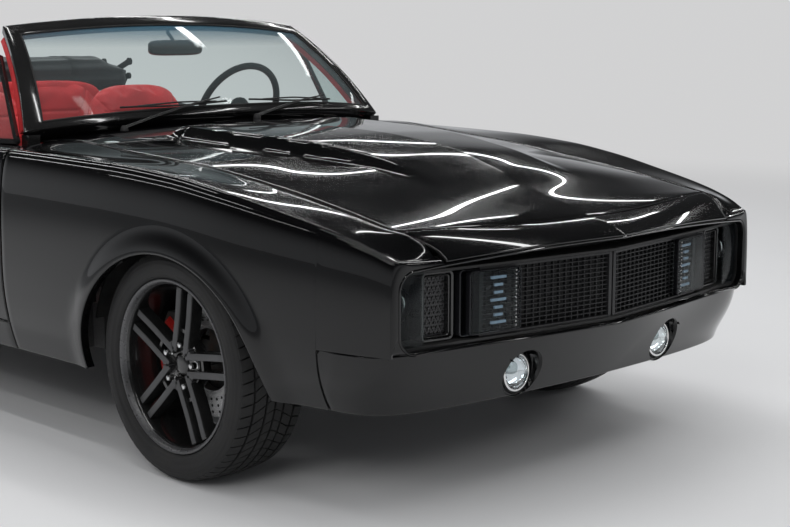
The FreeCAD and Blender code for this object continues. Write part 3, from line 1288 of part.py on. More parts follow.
def caliper(side, axle, x_root):
    """A caliper that straddles the disc's edge behind the axle, with the arm that carries it."""
    inner, outer = disc_span()
    x0, x1 = sorted((x_root - side * KNUCKLE_DEPTH, side * (outer + CALIPER_HALF_WIDTH - DISC_THICKNESS / 2)))
    start, end = (x0, axle, TYRE_RADIUS), (x1, axle, TYRE_RADIUS)
    ring = rod(start, end, CALIPER_OUTER_RADIUS).cut(rod(start, end, CALIPER_INNER_RADIUS))
    half = CALIPER_OUTER_RADIUS * math.sin(math.radians(CALIPER_ANGLE / 2))
    wedge = box(x0, x1, axle, axle + CALIPER_OUTER_RADIUS, TYRE_RADIUS - half, TYRE_RADIUS + half)
    shoe = ring.common(wedge)
    groove_a, groove_b = sorted((side * (inner - CALIPER_GAP), side * (outer + CALIPER_GAP)))
    groove = rod((groove_a, axle, TYRE_RADIUS), (groove_b, axle, TYRE_RADIUS), DISC_RADIUS + CALIPER_GAP)
    bar_x0, bar_x1 = sorted((x_root - side * KNUCKLE_DEPTH, x_root))
    bar = box(bar_x0, bar_x1, axle, axle + CALIPER_INNER_RADIUS + SKIN, TYRE_RADIUS - KNUCKLE_LENGTH / 2,
              TYRE_RADIUS + KNUCKLE_LENGTH / 2)
    return [shoe.cut(groove), bar]


def make_rear_axle():
    """Live axle with its differential, stubs and calipers."""
    axle, z = REAR_AXLE_Y, TYRE_RADIUS
    middle = Vector(0, axle, z)
    profile = ((-DIFF_RADIUS, 0), (-DIFF_RADIUS, REAR_BEAM_RADIUS), (-DIFF_RADIUS / 2, DIFF_RADIUS * 0.92),
               (-DIFF_RADIUS / 4, DIFF_RADIUS), (DIFF_RADIUS / 4, DIFF_RADIUS), (DIFF_RADIUS / 2, DIFF_RADIUS * 0.92),
               (DIFF_RADIUS, REAR_BEAM_RADIUS), (DIFF_RADIUS, 0))
    outline = [middle + Vector(a, 0, r) for a, r in profile]
    parts = [Part.Face(Part.makePolygon(outline + outline[:1])).revolve(middle, Vector(1, 0, 0), 360),
             rod((-KINGPIN_X, axle, z), (KINGPIN_X, axle, z), REAR_BEAM_RADIUS)]
    for side in (-1, 1):
        x_root = side * (KINGPIN_X + KNUCKLE_DEPTH / 2)
        parts.append(stub(side, axle, side * KINGPIN_X))
        parts += caliper(side, axle, x_root)
        parts.append(rod((side * (KINGPIN_X - KNUCKLE_DEPTH / 2), axle, z), (x_root, axle, z), HUB_RADIUS))
    return fused(parts)


def make_springs():
    """Leaf springs under the rear axle, each with its axle pad, front bracket and shackle."""
    springs = []
    axle = REAR_AXLE_Y
    pad_top = TYRE_RADIUS - REAR_BEAM_RADIUS
    for side in (-1, 1):
        x0 = side * SPRING_X - SPRING_WIDTH / 2
        leaf = pad_top - SPRING_PAD
        y0, z0 = axle - SPRING_FRONT_LENGTH, leaf + SPRING_FRONT_RISE
        y1, z1 = axle + SPRING_REAR_LENGTH, leaf + SPRING_REAR_RISE
        top = Part.Arc(Vector(x0, y0, z0), Vector(x0, axle, leaf), Vector(x0, y1, z1))
        low = Part.Arc(Vector(x0, y0, z0 - SPRING_LEAF / 2), Vector(x0, axle, leaf - SPRING_LEAF),
                       Vector(x0, y1, z1 - SPRING_LEAF / 2))
        first = Part.LineSegment(top.StartPoint, low.StartPoint)
        last = Part.LineSegment(top.EndPoint, low.EndPoint)
        wire = Part.Wire(Part.__sortEdges__([e.toShape() for e in (top, low, first, last)]))
        pieces = [Part.Face(wire).extrude(Vector(SPRING_WIDTH, 0, 0)),
                  box(x0, x0 + SPRING_WIDTH, axle - REAR_BEAM_RADIUS, axle + REAR_BEAM_RADIUS, leaf - SPRING_LEAF / 2,
                      pad_top)]
        for y, z in ((y0, z0), (y1, z1)):
            pieces.append(box(x0, x0 + SPRING_WIDTH, y - SPRING_LEAF, y + SPRING_LEAF, z - SPRING_LEAF,
                              REAR_FLOOR_HEIGHT - TUB_WALL))
        springs.append(fused(pieces))
    return Part.makeCompound(springs)


def make_rim():
    """Wheel with paired spokes, its hub and brake disc, on the left side of the car at the origin."""
    half = RIM_WIDTH / 2
    seat = RIM_FLANGE_RADIUS - RIM_WALL * 1.4
    inside = seat - RIM_WALL
    drop = RIM_WALL * 1.6
    profile = ((-half, inside + drop), (-half, RIM_FLANGE_RADIUS), (-half + RIM_WALL, RIM_FLANGE_RADIUS),
               (-half + RIM_WALL, seat), (half - RIM_WALL, seat), (half - RIM_WALL, RIM_FLANGE_RADIUS),
               (half, RIM_FLANGE_RADIUS), (half, inside + drop), (half - RIM_WALL * 2, inside),
               (-half + RIM_WALL * 2, inside))
    points = [Vector(a, 0, r) for a, r in profile]
    barrel = Part.Face(Part.makePolygon(points + points[:1])).revolve(Vector(0, 0, 0), Vector(1, 0, 0), 360)
    face = half - SPOKE_RECESS
    hub_face = face - HUB_RECESS
    hub = rod((hub_face - HUB_THICKNESS, 0, 0), (hub_face, 0, 0), HUB_RADIUS)
    inner, outer = disc_span()
    parts = [barrel, hub]
    parts.append(rod((inner - WHEEL_CENTRE_X, 0, 0), (outer - WHEEL_CENTRE_X, 0, 0), DISC_RADIUS))
    parts.append(rod((inner - WHEEL_CENTRE_X, 0, 0), (hub_face - HUB_THICKNESS / 2, 0, 0), HUB_RADIUS * 0.9))
    parts.append(rod((hub_face, 0, 0), (hub_face + LUG_HOLE_RADIUS, 0, 0), CENTRE_CAP_RADIUS))
    tip = inside + RIM_WALL / 2
    offset = (SPOKE_GAP + SPOKE_WIDTH) / 2
    back = face - SPOKE_DEPTH
    for k in range(SPOKE_PAIRS):
        turn = SPOKE_TURN_DEG + k * 360 / SPOKE_PAIRS
        bars = []
        for step in (-1, 1):
            near, far = step * offset - SPOKE_WIDTH / 2, step * offset + SPOKE_WIDTH / 2
            outline = ((back, near, SPOKE_START), (back, near, tip), (back, far, tip), (back, far, SPOKE_START))
            bars.append(slab(outline, (SPOKE_DEPTH, 0, 0)))
        bars.append(box(back, hub_face, -offset, offset, SPOKE_BRIDGE_START, SPOKE_BRIDGE_START + SPOKE_BRIDGE))
        for bar in bars:
            bar.rotate(Vector(0, 0, 0), Vector(1, 0, 0), turn)
            parts.append(bar)
    whole = fused(parts)
    for k in range(SPOKE_PAIRS):
        angle = math.radians(SPOKE_TURN_DEG + k * 360 / SPOKE_PAIRS)
        y, z = -LUG_CIRCLE_RADIUS * math.sin(angle), LUG_CIRCLE_RADIUS * math.cos(angle)
        whole = whole.cut(rod((hub_face - HUB_THICKNESS / 2, y, z), (face + OVERRUN, y, z), LUG_HOLE_RADIUS))
    bore_end = HUB_THICKNESS / 2 + FACE_CLEARANCE
    bore = rod((-half * 2, 0, 0), (bore_end, 0, 0), AXLE_STUB_RADIUS + SHAFT_CLEARANCE)
    return whole.cut(bore)


def make_tyre():
    """Tyre turned about the wheel's axis, on the rim between its flanges, at the origin."""
    half = TYRE_WIDTH / 2
    seat = RIM_FLANGE_RADIUS - RIM_WALL * 1.4 + FACE_CLEARANCE
    bead = RIM_WIDTH / 2 - RIM_WALL - FACE_CLEARANCE
    lip = RIM_FLANGE_RADIUS + FACE_CLEARANCE * 2
    wide = (lip + TYRE_RADIUS) / 2 - RIM_WALL
    shoulder_x, shoulder_r = half * 0.86, TYRE_RADIUS - RIM_WALL
    crown = Vector(0, 0, TYRE_RADIUS)
    edges = [Part.LineSegment(Vector(-bead, 0, seat), Vector(bead, 0, seat)).toShape(),
             Part.LineSegment(Vector(bead, 0, seat), Vector(bead, 0, lip)).toShape(),
             Part.Arc(Vector(bead, 0, lip), Vector(half, 0, wide), Vector(shoulder_x, 0, shoulder_r)).toShape(),
             Part.Arc(Vector(shoulder_x, 0, shoulder_r), crown, Vector(-shoulder_x, 0, shoulder_r)).toShape(),
             Part.Arc(Vector(-shoulder_x, 0, shoulder_r), Vector(-half, 0, wide), Vector(-bead, 0, lip)).toShape(),
             Part.LineSegment(Vector(-bead, 0, lip), Vector(-bead, 0, seat)).toShape()]
    return Part.Face(Part.Wire(edges)).revolve(Vector(0, 0, 0), Vector(1, 0, 0), 360)


def placed_wheel(shape, side, axle):
    shape = shape if side > 0 else mirrored(shape)
    moved = shape.copy()
    moved.translate(Vector(side * WHEEL_CENTRE_X, axle, TYRE_RADIUS))
    return moved


def grille_band(front_gap, depth, half, low, high):
    """A band behind the nose's lip, swept back from the middle as the lip is."""
    def edge(x):
        return lip_y(x) + front_gap
    points = []
    for t in (-1.0, -0.5, 0.0, 0.5, 1.0):
        points.append((t * half, edge(t * half), low))
    for t in (1.0, 0.5, 0.0, -0.5, -1.0):
        points.append((t * half, edge(t * half) + depth, low))
    return slab(points, (0, 0, high - low))


def make_grille():
    """Surround of the full-width opening and the fine-barred mesh in it."""
    tunnel = opening_cutter(PROW_DEPTH + GRILLE_DEPTH * 3)
    half = LIP_SIDE_X + OVERRUN
    low, high = LIP_BOTTOM - OVERRUN, LIP_TOP + OVERRUN
    outer = tunnel.common(grille_band(GRILLE_EDGE, GRILLE_DEPTH, half, low, high))
    surround = outer.cut(opening_cutter(PROW_DEPTH + GRILLE_DEPTH * 3, GRILLE_WALL))
    back = grille_band(GRILLE_EDGE + GRILLE_DEPTH, GRILLE_WALL, half, low, high)
    surround = fused([surround, tunnel.common(back)])
    mesh = grille_band(MESH_SETBACK + GRILLE_EDGE, MESH_THICKNESS, MESH_HALF, MESH_LOW, MESH_HIGH)
    holes = []
    pitch_x = (MESH_HALF - MESH_BAR) / MESH_COLUMNS
    pitch_z = (MESH_HIGH - MESH_LOW - MESH_BAR) / MESH_ROWS
    for side in (-1, 1):
        for i in range(MESH_COLUMNS):
            for k in range(MESH_ROWS):
                x0 = MESH_BAR + i * pitch_x
                z0 = MESH_LOW + MESH_BAR + k * pitch_z
                holes.append(both(side, x0, x0 + pitch_x - MESH_BAR, NOSE_Y, NOSE_Y + PROW_DEPTH * 3, z0,
                                  z0 + pitch_z - MESH_BAR))
    mesh = mesh.cut(Part.makeCompound(holes))
    reach = GRILLE_EDGE + GRILLE_DEPTH
    legs = [box(-MESH_BAR * 2, MESH_BAR * 2, NOSE_Y + GRILLE_EDGE + MESH_SETBACK, NOSE_Y + reach, MESH_LOW,
                MESH_HIGH)]
    end_y = lip_y(MESH_HALF)
    for side in (-1, 1):
        legs.append(both(side, MESH_HALF - MESH_BAR * 2, MESH_HALF, end_y + GRILLE_EDGE + MESH_SETBACK,
                         end_y + reach - MESH_BAR / 2, MESH_LOW, MESH_HIGH))
    return surround, fused([mesh] + legs)


def make_nose_lamps():
    """Headlamps and pods that fill the ends of the grille opening."""
    lamps = []
    reach = GRILLE_EDGE + GRILLE_DEPTH
    for side in (-1, 1):
        y = lip_y(HEADLAMP_X) + reach
        lamp = rod((side * HEADLAMP_X, y - HEADLAMP_DEPTH, HEADLAMP_Z), (side * HEADLAMP_X, y + OVERRUN, HEADLAMP_Z),
                   HEADLAMP_RADIUS)
        lamps.append(lamp.common(grille_band(GRILLE_EDGE, GRILLE_DEPTH, LIP_SIDE_X, LIP_BOTTOM, LIP_TOP)))
        pod = both(side, POD_INNER_X, POD_OUTER_X, NOSE_Y, lip_y(POD_OUTER_X) + reach, POD_LOW, POD_HIGH)
        lamps.append(pod.common(grille_band(reach - POD_DEPTH, POD_DEPTH, LIP_SIDE_X, POD_LOW, POD_HIGH)))
    return Part.makeCompound(lamps)


def make_fogs():
    """Round lamps sunk in the valance: a funnel, a bright ring and a lens each."""
    lamps = []
    for side in (-1, 1):
        x = side * FOG_X
        front = FOG_FACE_Y
        funnel = Part.makeCone(FOG_RECESS_RADIUS - FACE_CLEARANCE, FOG_LENS_RADIUS + FOG_RING_WALL, FOG_DEPTH,
                               Vector(x, front, FOG_HEIGHT), Vector(0, 1, 0))
        hollow = Part.makeCone(FOG_RECESS_RADIUS - FOG_RING_WALL, FOG_LENS_RADIUS, FOG_DEPTH - FOG_RING_WALL * 3,
                               Vector(x, front - FACE_CLEARANCE, FOG_HEIGHT), Vector(0, 1, 0))
        lamps.append(funnel.cut(hollow))
    return Part.makeCompound(lamps)


def tilted(shape):
    shape.rotate(Vector(0, 0, 0), Vector(1, 0, 0), STEER_TILT_DEG)
    shape.translate(Vector(STEER_X, STEER_Y, STEER_Z))
    return shape


def make_steering_wheel():
    """Rim, three spokes and hub, drawn facing the driver along +Y, then tilted on its column."""
    circle = Part.Wire([Part.Circle(Vector(STEER_RADIUS, 0, 0), Vector(0, 0, 1), STEER_RIM_RADIUS).toShape()])
    ring = Part.Face(circle).revolve(Vector(0, 0, 0), Vector(0, 1, 0), 360)
    parts = [ring, rod((0, -STEER_HUB_DEPTH, 0), (0, 0, 0), STEER_HUB_RADIUS)]
    for angle in (0.0, 180.0, 270.0):
        spoke = box(STEER_HUB_RADIUS / 2, STEER_RADIUS, -STEER_SPOKE_THICKNESS, 0, -STEER_SPOKE_WIDTH / 2,
                    STEER_SPOKE_WIDTH / 2)
        spoke.rotate(Vector(0, 0, 0), Vector(0, 1, 0), -angle)
        parts.append(spoke)
    return tilted(fused(parts))


def make_dash():
    """Padded dash with the instrument hood and the steering column."""
    profile = ((DASH_FRONT_Y, DASH_LOW + SKIN * 6), (DASH_FRONT_Y, DASH_HIGH - SKIN * 6),
               (DASH_REAR_Y - SKIN * 3, DASH_HIGH), (DASH_REAR_Y, DASH_HIGH - SKIN * 3), (DASH_REAR_Y, DASH_LIP),
               (DASH_REAR_Y - SKIN * 5, DASH_LOW), (DASH_REAR_Y - SKIN * 9, DASH_LOW))
    half = SILL_INNER_X - TUB_WALL - FACE_CLEARANCE
    body = slab([(-half, y, z) for y, z in profile], (2 * half, 0, 0))
    hood = box(STEER_X - CLUSTER_HALF, STEER_X + CLUSTER_HALF, DASH_REAR_Y - CLUSTER_DEPTH, DASH_REAR_Y + SKIN,
               DASH_LIP, CLUSTER_HEIGHT)
    shift = box(-half, half, COWL_REAR_Y, DASH_FRONT_Y, COWL_BOX_BOTTOM, PILLAR_HEIGHT)
    column = tilted(rod((0, -STEER_HUB_DEPTH - FACE_CLEARANCE, 0), (0, -STEER_HUB_DEPTH - COLUMN_LENGTH, 0),
                        COLUMN_RADIUS))
    return fused([body, hood, shift, column])


def seat_shape(x0, x1, profile, radius):
    seat = slab([(x0, y, z) for y, z in profile], (x1 - x0, 0, 0))
    return seat.makeFillet(radius, [e for e in seat.Edges if e.Length > radius * 2.5])


def make_front_seat(side):
    x = side * SEAT_X
    bottom = SEAT_RAIL_HEIGHT + SKIN * 3
    profile = ((SEAT_CUSHION_FRONT_Y, bottom), (SEAT_CUSHION_FRONT_Y, SEAT_CUSHION_TOP - SKIN * 3),
               (SEAT_CUSHION_FRONT_Y + SKIN * 12, SEAT_CUSHION_TOP), (SEAT_BACK_FRONT_Y, SEAT_CUSHION_TOP - SKIN * 4),
               (SEAT_TOP_REAR_Y - SEAT_BACK_DEPTH, SEAT_TOP), (SEAT_TOP_REAR_Y, SEAT_TOP),
               (SEAT_BACK_FRONT_Y + SEAT_BACK_DEPTH * 1.35, bottom))
    seat = seat_shape(x - SEAT_HALF, x + SEAT_HALF, profile, SEAT_CORNER)
    floor_top = FLOOR_HEIGHT + FLOOR_THICKNESS
    rails = box(x - SEAT_HALF * 0.7, x + SEAT_HALF * 0.7, SEAT_CUSHION_FRONT_Y + SEAT_CORNER * 2,
                SEAT_BACK_FRONT_Y, floor_top, bottom)
    return fused([seat, rails])


def make_rear_seat():
    low = REAR_FLOOR_HEIGHT + FACE_CLEARANCE
    base = FLOOR_HEIGHT + FLOOR_THICKNESS + FACE_CLEARANCE
    front_limit = KICK_UP_Y - FACE_CLEARANCE
    profile = ((REAR_CUSHION_FRONT_Y, base), (REAR_CUSHION_FRONT_Y, REAR_CUSHION_TOP - SKIN * 2),
               (REAR_CUSHION_FRONT_Y + SKIN * 9, REAR_CUSHION_TOP), (REAR_BACK_FRONT_Y, REAR_CUSHION_TOP - SKIN),
               (REAR_SEAT_END_Y - REAR_BACK_DEPTH, REAR_SEAT_TOP), (REAR_SEAT_END_Y - SKIN * 2, REAR_SEAT_TOP),
               (REAR_SEAT_END_Y + SKIN * 3, low), (front_limit, low), (front_limit, base))
    half = REAR_INNER_X - FACE_CLEARANCE * 2
    seat = slab([(-half, y, z) for y, z in profile], (2 * half, 0, 0))
    seat = seat.cut(box(-TUNNEL_HALF - FACE_CLEARANCE, TUNNEL_HALF + FACE_CLEARANCE, REAR_CUSHION_FRONT_Y - OVERRUN,
                        KICK_UP_Y, base - OVERRUN, TUNNEL_TOP + FACE_CLEARANCE))
    return seat


def make_stack():
    """The soft top, folded and stowed behind the rear seat."""
    profile = ((STACK_FRONT_Y + SKIN * 9, STACK_LOW), (STACK_FRONT_Y, STACK_HIGH - STACK_CORNER),
               (STACK_FRONT_Y + SKIN * 5, STACK_HIGH), (STACK_REAR_Y - SKIN * 8, STACK_HIGH - SKIN * 2),
               (STACK_REAR_Y, STACK_HIGH - STACK_CORNER * 1.4), (STACK_REAR_Y - SKIN * 2, STACK_LOW))
    body = slab([(-STACK_HALF, y, z) for y, z in profile], (2 * STACK_HALF, 0, 0))
    return body


def make_engine():
    """Engine, gearbox and propeller shaft as plain blocks, with the engine's mounts."""
    parts = [box(-ENGINE_HALF, ENGINE_HALF, ENGINE_FRONT_Y, ENGINE_REAR_Y, ENGINE_LOW, ENGINE_HIGH)]
    parts.append(box(-GEARBOX_HALF, GEARBOX_HALF, ENGINE_REAR_Y - SKIN, GEARBOX_REAR_Y, GEARBOX_LOW,
                     GEARBOX_HIGH))
    for side in (-1, 1):
        x0, x1 = sorted((side * (ENGINE_HALF - SKIN), side * (FRAME_RAIL_X - FACE_CLEARANCE)))
        parts.append(box(x0, x1, FRONT_AXLE_Y - MOUNT_HALF, FRONT_AXLE_Y + MOUNT_HALF, FRAME_RAIL_LOW, RAIL_TOP))
    shaft_z = (GEARBOX_LOW + GEARBOX_HIGH) / 2
    shaft_end = REAR_AXLE_Y - DIFF_RADIUS - FACE_CLEARANCE
    parts.append(rod((0, GEARBOX_REAR_Y - SKIN, shaft_z), (0, shaft_end, TYRE_RADIUS), PROP_SHAFT_RADIUS))
    return fused(parts)


def make_exhaust():
    sides = []
    z = PIPE_HEIGHT
    over = MUFFLER_END_Y + MUFFLER_DROP
    for side in (-1, 1):
        x, far = side * PIPE_X, side * PIPE_TAIL_X
        muffler_z = z - MUFFLER_RADIUS + PIPE_RADIUS * 1.3
        tail = [(x, MUFFLER_END_Y - SKIN, z), (x, over, z), (x, REAR_AXLE_Y - DIFF_RADIUS, PIPE_OVER_HEIGHT),
                (x, REAR_AXLE_Y + DIFF_RADIUS, PIPE_OVER_HEIGHT), (far, TANK_FRONT_Y - SKIN, TAIL_PIPE_HEIGHT),
                (far, TAIL_Y - TAIL_BOW, TAIL_PIPE_HEIGHT)]
        sides.append(fused([rod((x, PIPE_START_Y, z), (x, MUFFLER_START_Y + SKIN, z), PIPE_RADIUS),
                            rod((x, MUFFLER_START_Y, muffler_z), (x, MUFFLER_END_Y, muffler_z), MUFFLER_RADIUS),
                            pipe(tail, PIPE_BEND, PIPE_RADIUS)]
                           + [box(x - HANGER_WIDTH / 2, x + HANGER_WIDTH / 2, y, y + HANGER_WIDTH, muffler_z, FLOOR_HEIGHT)
                              for y in (MUFFLER_START_Y + HANGER_WIDTH, MUFFLER_END_Y - HANGER_WIDTH * 2)]))
    return Part.makeCompound(sides)


def make_tank():
    tank = box(-TANK_HALF, TANK_HALF, TANK_FRONT_Y, TANK_REAR_Y, TANK_LOW, REAR_FLOOR_HEIGHT - TUB_WALL)
    upright = [e for e in tank.Edges if abs(e.tangentAt(e.FirstParameter).z) > 0.9]
    return tank.makeFillet(TANK_CORNER, upright)


def make_wipers():
    parts = []
    for u in WIPER_PIVOT_SHARES:
        x = u * SCREEN_BASE_HALF
        y = screen_base_y(u) - SKIN * 4
        z = top_z(x, y)
        tip = Vector(*screen_point(min(1.0, (x + WIPER_LENGTH * 0.9) / SCREEN_BASE_HALF), SCREEN_LOW_SHARE * 1.5))
        end = (tip.x, tip.y - WIPER_BAR * 2, tip.z + WIPER_BAR)
        pivot = rod((x, y, z + SEAM_CLEARANCE), (x, y, z + WIPER_BAR * 2), WIPER_BAR)
        parts.append(fused([pivot, rod((x, y, z + WIPER_BAR * 1.2), end, WIPER_BAR * 0.6)]))
    return Part.makeCompound(parts)


def make_mirror():
    body = box(MIRROR_X - MIRROR_WIDTH / 2, MIRROR_X + MIRROR_WIDTH / 2, MIRROR_Y - MIRROR_DEPTH / 2,
               MIRROR_Y + MIRROR_DEPTH / 2, MIRROR_Z - MIRROR_HEIGHT / 2, MIRROR_Z + MIRROR_HEIGHT / 2)
    body = body.makeFillet(MIRROR_DEPTH * 0.4, body.Edges)
    top = Vector(*screen_point(0.0, SCREEN_HIGH_SHARE + SCREEN_LOW_SHARE))
    drop = SCREEN_FRAME_DEPTH * 1.165
    stem = rod((MIRROR_X, MIRROR_Y, MIRROR_Z), (0, top.y + drop * 0.62, top.z - drop * 0.79), MIRROR_STEM_RADIUS)
    return fused([body, stem])


def make_console():
    top = TUNNEL_TOP + FACE_CLEARANCE
    body = box(-CONSOLE_HALF, CONSOLE_HALF, CONSOLE_FRONT_Y, CONSOLE_REAR_Y, top, CONSOLE_HEIGHT)
    lever = rod((0, SHIFTER_Y, CONSOLE_HEIGHT - SKIN), (0, SHIFTER_Y, SHIFTER_HEIGHT), SHIFTER_RADIUS)
    knob = Part.makeSphere(SHIFTER_KNOB, Vector(0, SHIFTER_Y, SHIFTER_HEIGHT))
    return fused([body, lever, knob])


def export(name, shape):
    if shape.isNull() or not shape.Solids:
        raise ValueError(name + " has no solid")
    keep = shape if len(shape.Solids) > 1 else shape.Solids[0]
    if keep.Volume < 0:
        keep = keep.reversed()
    keep.exportStep("parts/" + name + ".step")
    print(name, len(shape.Solids), shape.isValid(), round(shape.Volume / 1e6, 3), flush=True)


def export_pair(name, left):
    export(name + "_left", left)
    export(name + "_right", mirrored(left))


def main():
    os.makedirs("parts", exist_ok=True)
    export_pair("fender", make_fender())
    export("hood", make_hood())
    export("header_panel", make_header())
    export("front_valance", make_valance())
    export("cowl_panel", make_cowl())
    screen_frame, screen_glass = make_screen()
    export("windshield_frame", screen_frame)
    export("windshield_glass", screen_glass)
    door, glass = make_door()
    export_pair("door", Part.makeCompound([door, glass]))
    export_pair("quarter", make_quarter())
    export("rear_deck", deck_skin(DECK_FRONT_Y, LID_FRONT_Y - SHUT_GAP, 6, SEAM_CLEARANCE, SKIN))
    export("trunk_lid", deck_skin(LID_FRONT_Y, LID_REAR_Y, 14, SHUT_GAP, LID_SKIN))
    tail_panel, roll_pan, tail_lamps = make_tail()
    export("tail_panel", tail_panel)
    export("rear_roll_pan", roll_pan)
    export("tail_lamps", tail_lamps)
    export("floor_pan", make_floor())
    export("front_bulkhead", make_bulkhead())
    export("front_aprons", make_aprons())
    export("rear_floor", make_rear_floor())
    export("rear_wheelhouses", make_rear_houses())
    export("front_subframe", make_subframe())
    export("rear_axle", make_rear_axle())
    export("leaf_springs", make_springs())
    export("engine", make_engine())
    export("exhaust", make_exhaust())
    export("fuel_tank", make_tank())
    surround, mesh = make_grille()
    export("grille_surround", surround)
    export("grille_mesh", mesh)
    export("nose_lamps", make_nose_lamps())
    export("fog_lamps", make_fogs())
    export("dashboard", make_dash())
    export("steering_wheel", make_steering_wheel())
    export("front_seat_left", make_front_seat(1))
    export("front_seat_right", make_front_seat(-1))
    export("rear_seat", make_rear_seat())
    export("soft_top_stack", make_stack())
    export("console", make_console())
    export("wipers", make_wipers())
    export("interior_mirror", make_mirror())
    rim, tyre = make_rim(), make_tyre()
    for end, axle in (("front", FRONT_AXLE_Y), ("rear", REAR_AXLE_Y)):
        for name, side in SIDES:
            export("wheel_" + end + "_" + name, placed_wheel(rim, side, axle))
            export("tyre_" + end + "_" + name, placed_wheel(tyre, side, axle))
    for name, side in SIDES:
        export("knuckle_" + name, make_knuckle(side))


if __name__ == "__main__":
    main()
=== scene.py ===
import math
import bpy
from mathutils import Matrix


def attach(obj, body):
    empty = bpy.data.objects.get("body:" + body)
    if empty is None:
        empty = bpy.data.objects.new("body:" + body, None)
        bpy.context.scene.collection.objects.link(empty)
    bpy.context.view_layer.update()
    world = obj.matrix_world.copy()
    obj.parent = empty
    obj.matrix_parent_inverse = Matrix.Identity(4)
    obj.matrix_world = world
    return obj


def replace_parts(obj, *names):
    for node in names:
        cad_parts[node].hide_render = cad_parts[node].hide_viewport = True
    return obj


bl_info = {
    "name": "Open Muscle Car",
    "version": (1, 0, 0),
    "blender": (4, 5, 0),
    "location": "View3D > Sidebar > Car",
    "description": "Dresses the packed car frame with painted panels, wheels, lamps, glass, cabin and stage",
    "category": "Object",
}

import bmesh
import bpy
import numpy as np
from mathutils import Matrix, Vector

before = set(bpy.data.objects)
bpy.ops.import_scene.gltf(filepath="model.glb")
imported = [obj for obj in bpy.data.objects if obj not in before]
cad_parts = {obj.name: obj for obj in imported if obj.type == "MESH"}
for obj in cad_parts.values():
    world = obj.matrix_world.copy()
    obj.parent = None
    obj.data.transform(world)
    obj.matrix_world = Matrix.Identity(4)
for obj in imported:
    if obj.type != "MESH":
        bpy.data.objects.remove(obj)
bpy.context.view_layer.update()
MM = 0.001

# Body shape, in millimetres, as in the solids: tables run from the nose (0) to the tail (1)
LENGTH = 4640.0
HALF_WIDTH = 921.0
BELT = 870.0
NOSE_Y = -LENGTH / 2
TAIL_Y = LENGTH / 2
FRONT_AXLE_Y = NOSE_Y + 880.0
REAR_AXLE_Y = FRONT_AXLE_Y + 2746.0
WIDEST = ((0.0, 0.80), (0.022, 0.831), (0.0388, 0.858), (0.0603, 0.885), (0.1056, 0.925), (0.147, 0.951),
          (0.19, 0.964), (0.25, 0.976), (0.362, 0.985), (0.491, 0.989), (0.616, 0.992), (0.70, 0.99),
          (0.781, 0.986), (0.858, 0.98), (0.94, 0.952), (0.98, 0.924), (1.0, 0.885))
CROWN_Z = ((0.0, 0.76), (0.022, 0.786), (0.0388, 0.823), (0.0603, 0.856), (0.1056, 0.905), (0.147, 0.945),
           (0.19, 0.975), (0.25, 0.994), (0.362, 1.002), (0.491, 0.998), (0.58, 0.998), (0.63, 1.008),
           (0.70, 1.036), (0.78, 1.049), (0.86, 1.039), (0.94, 1.004), (1.0, 0.963))
CROWN_X = ((0.0, 0.775), (0.022, 0.806), (0.0388, 0.8285), (0.0603, 0.848), (0.1056, 0.877), (0.147, 0.895),
           (0.19, 0.904), (0.25, 0.914), (0.362, 0.925), (0.491, 0.932), (0.616, 0.934), (0.70, 0.929),
           (0.781, 0.925), (0.86, 0.914), (0.94, 0.885), (0.98, 0.856), (1.0, 0.822))
SEAM_X = ((0.0, 0.645), (0.022, 0.662), (0.030, 0.684), (0.0388, 0.7036), (0.0526, 0.711), (0.1263, 0.702),
          (0.1685, 0.696), (0.2107, 0.7036), (0.253, 0.721), (0.2953, 0.734), (0.337, 0.738), (0.40, 0.79),
          (0.46, 0.835), (0.675, 0.836), (0.705, 0.81), (0.735, 0.72), (0.77, 0.665), (0.86, 0.655),
          (0.94, 0.645), (1.0, 0.62))
SEAM_Z = ((0.0, 0.745), (0.022, 0.777), (0.030, 0.83), (0.0388, 0.85), (0.0526, 0.86), (0.084, 0.8885),
          (0.1263, 0.922), (0.1685, 0.9505), (0.2107, 0.978), (0.253, 0.994), (0.2953, 1.01), (0.337, 1.026),
          (0.42, 1.0), (0.58, 0.992), (0.65, 1.01), (0.70, 1.036), (0.78, 1.052), (0.86, 1.045), (0.94, 1.014),
          (1.0, 0.978))
RIDGE = ((0.0, 0.793), (0.0185, 0.8276), (0.043, 0.8724), (0.0726, 0.9138), (0.104, 0.971), (0.1405, 1.0218),
         (0.185, 1.049), (0.204, 1.056), (0.254, 1.064), (0.317, 1.067), (0.40, 1.067), (0.60, 1.05),
         (0.70, 1.062), (0.78, 1.078), (0.86, 1.07), (0.94, 1.036), (1.0, 0.995))
BOTTOM = ((0.0, 0.332), (0.16, 0.332), (0.22, 0.292), (0.70, 0.292), (0.82, 0.333), (1.0, 0.385))
WIDEST_HEIGHT_SHARE = 0.62
SHOULDER_POWER = 2.8
SILL_TUCK = 46.0
SILL_TUCK_POWER = 2.3
ARCH_HALF_LENGTH = 388.0
ARCH_TOP = 640.0
ARCH_CENTRE = 262.0
ARCH_FLARE = 13.0
ARCH_FLARE_REACH = 75.0
BULGE = dict(rise=36.0, tip=-503.0, full=60.0, tip_half=262.0, rear_half=345.0, side=46.0)
HOOD_FRONT, HOOD_SWEEP, HOOD_REAR, HOOD_SHARE = -753.0, 75.0, 575.0, 0.7
DOOR_FRONT, DOOR_REAR, DOOR_BOTTOM, DOOR_TOP_X = 779.0, 1978.0, 345.0, 770.0
DECK_FRONT, LID_FRONT, LID_REAR = 2520.0, 2850.0, 3668.0
FENDER_NOSE, VALANCE_REAR = -770.0, -560.0
LIP_TOP, LIP_TOP_CORNER, LIP_BOTTOM, LIP_SIDE_X = 690.0, 664.0, 452.0, 745.0
VALANCE_BOTTOM, PROW = 289.0, 104.0
GAP = 6.0


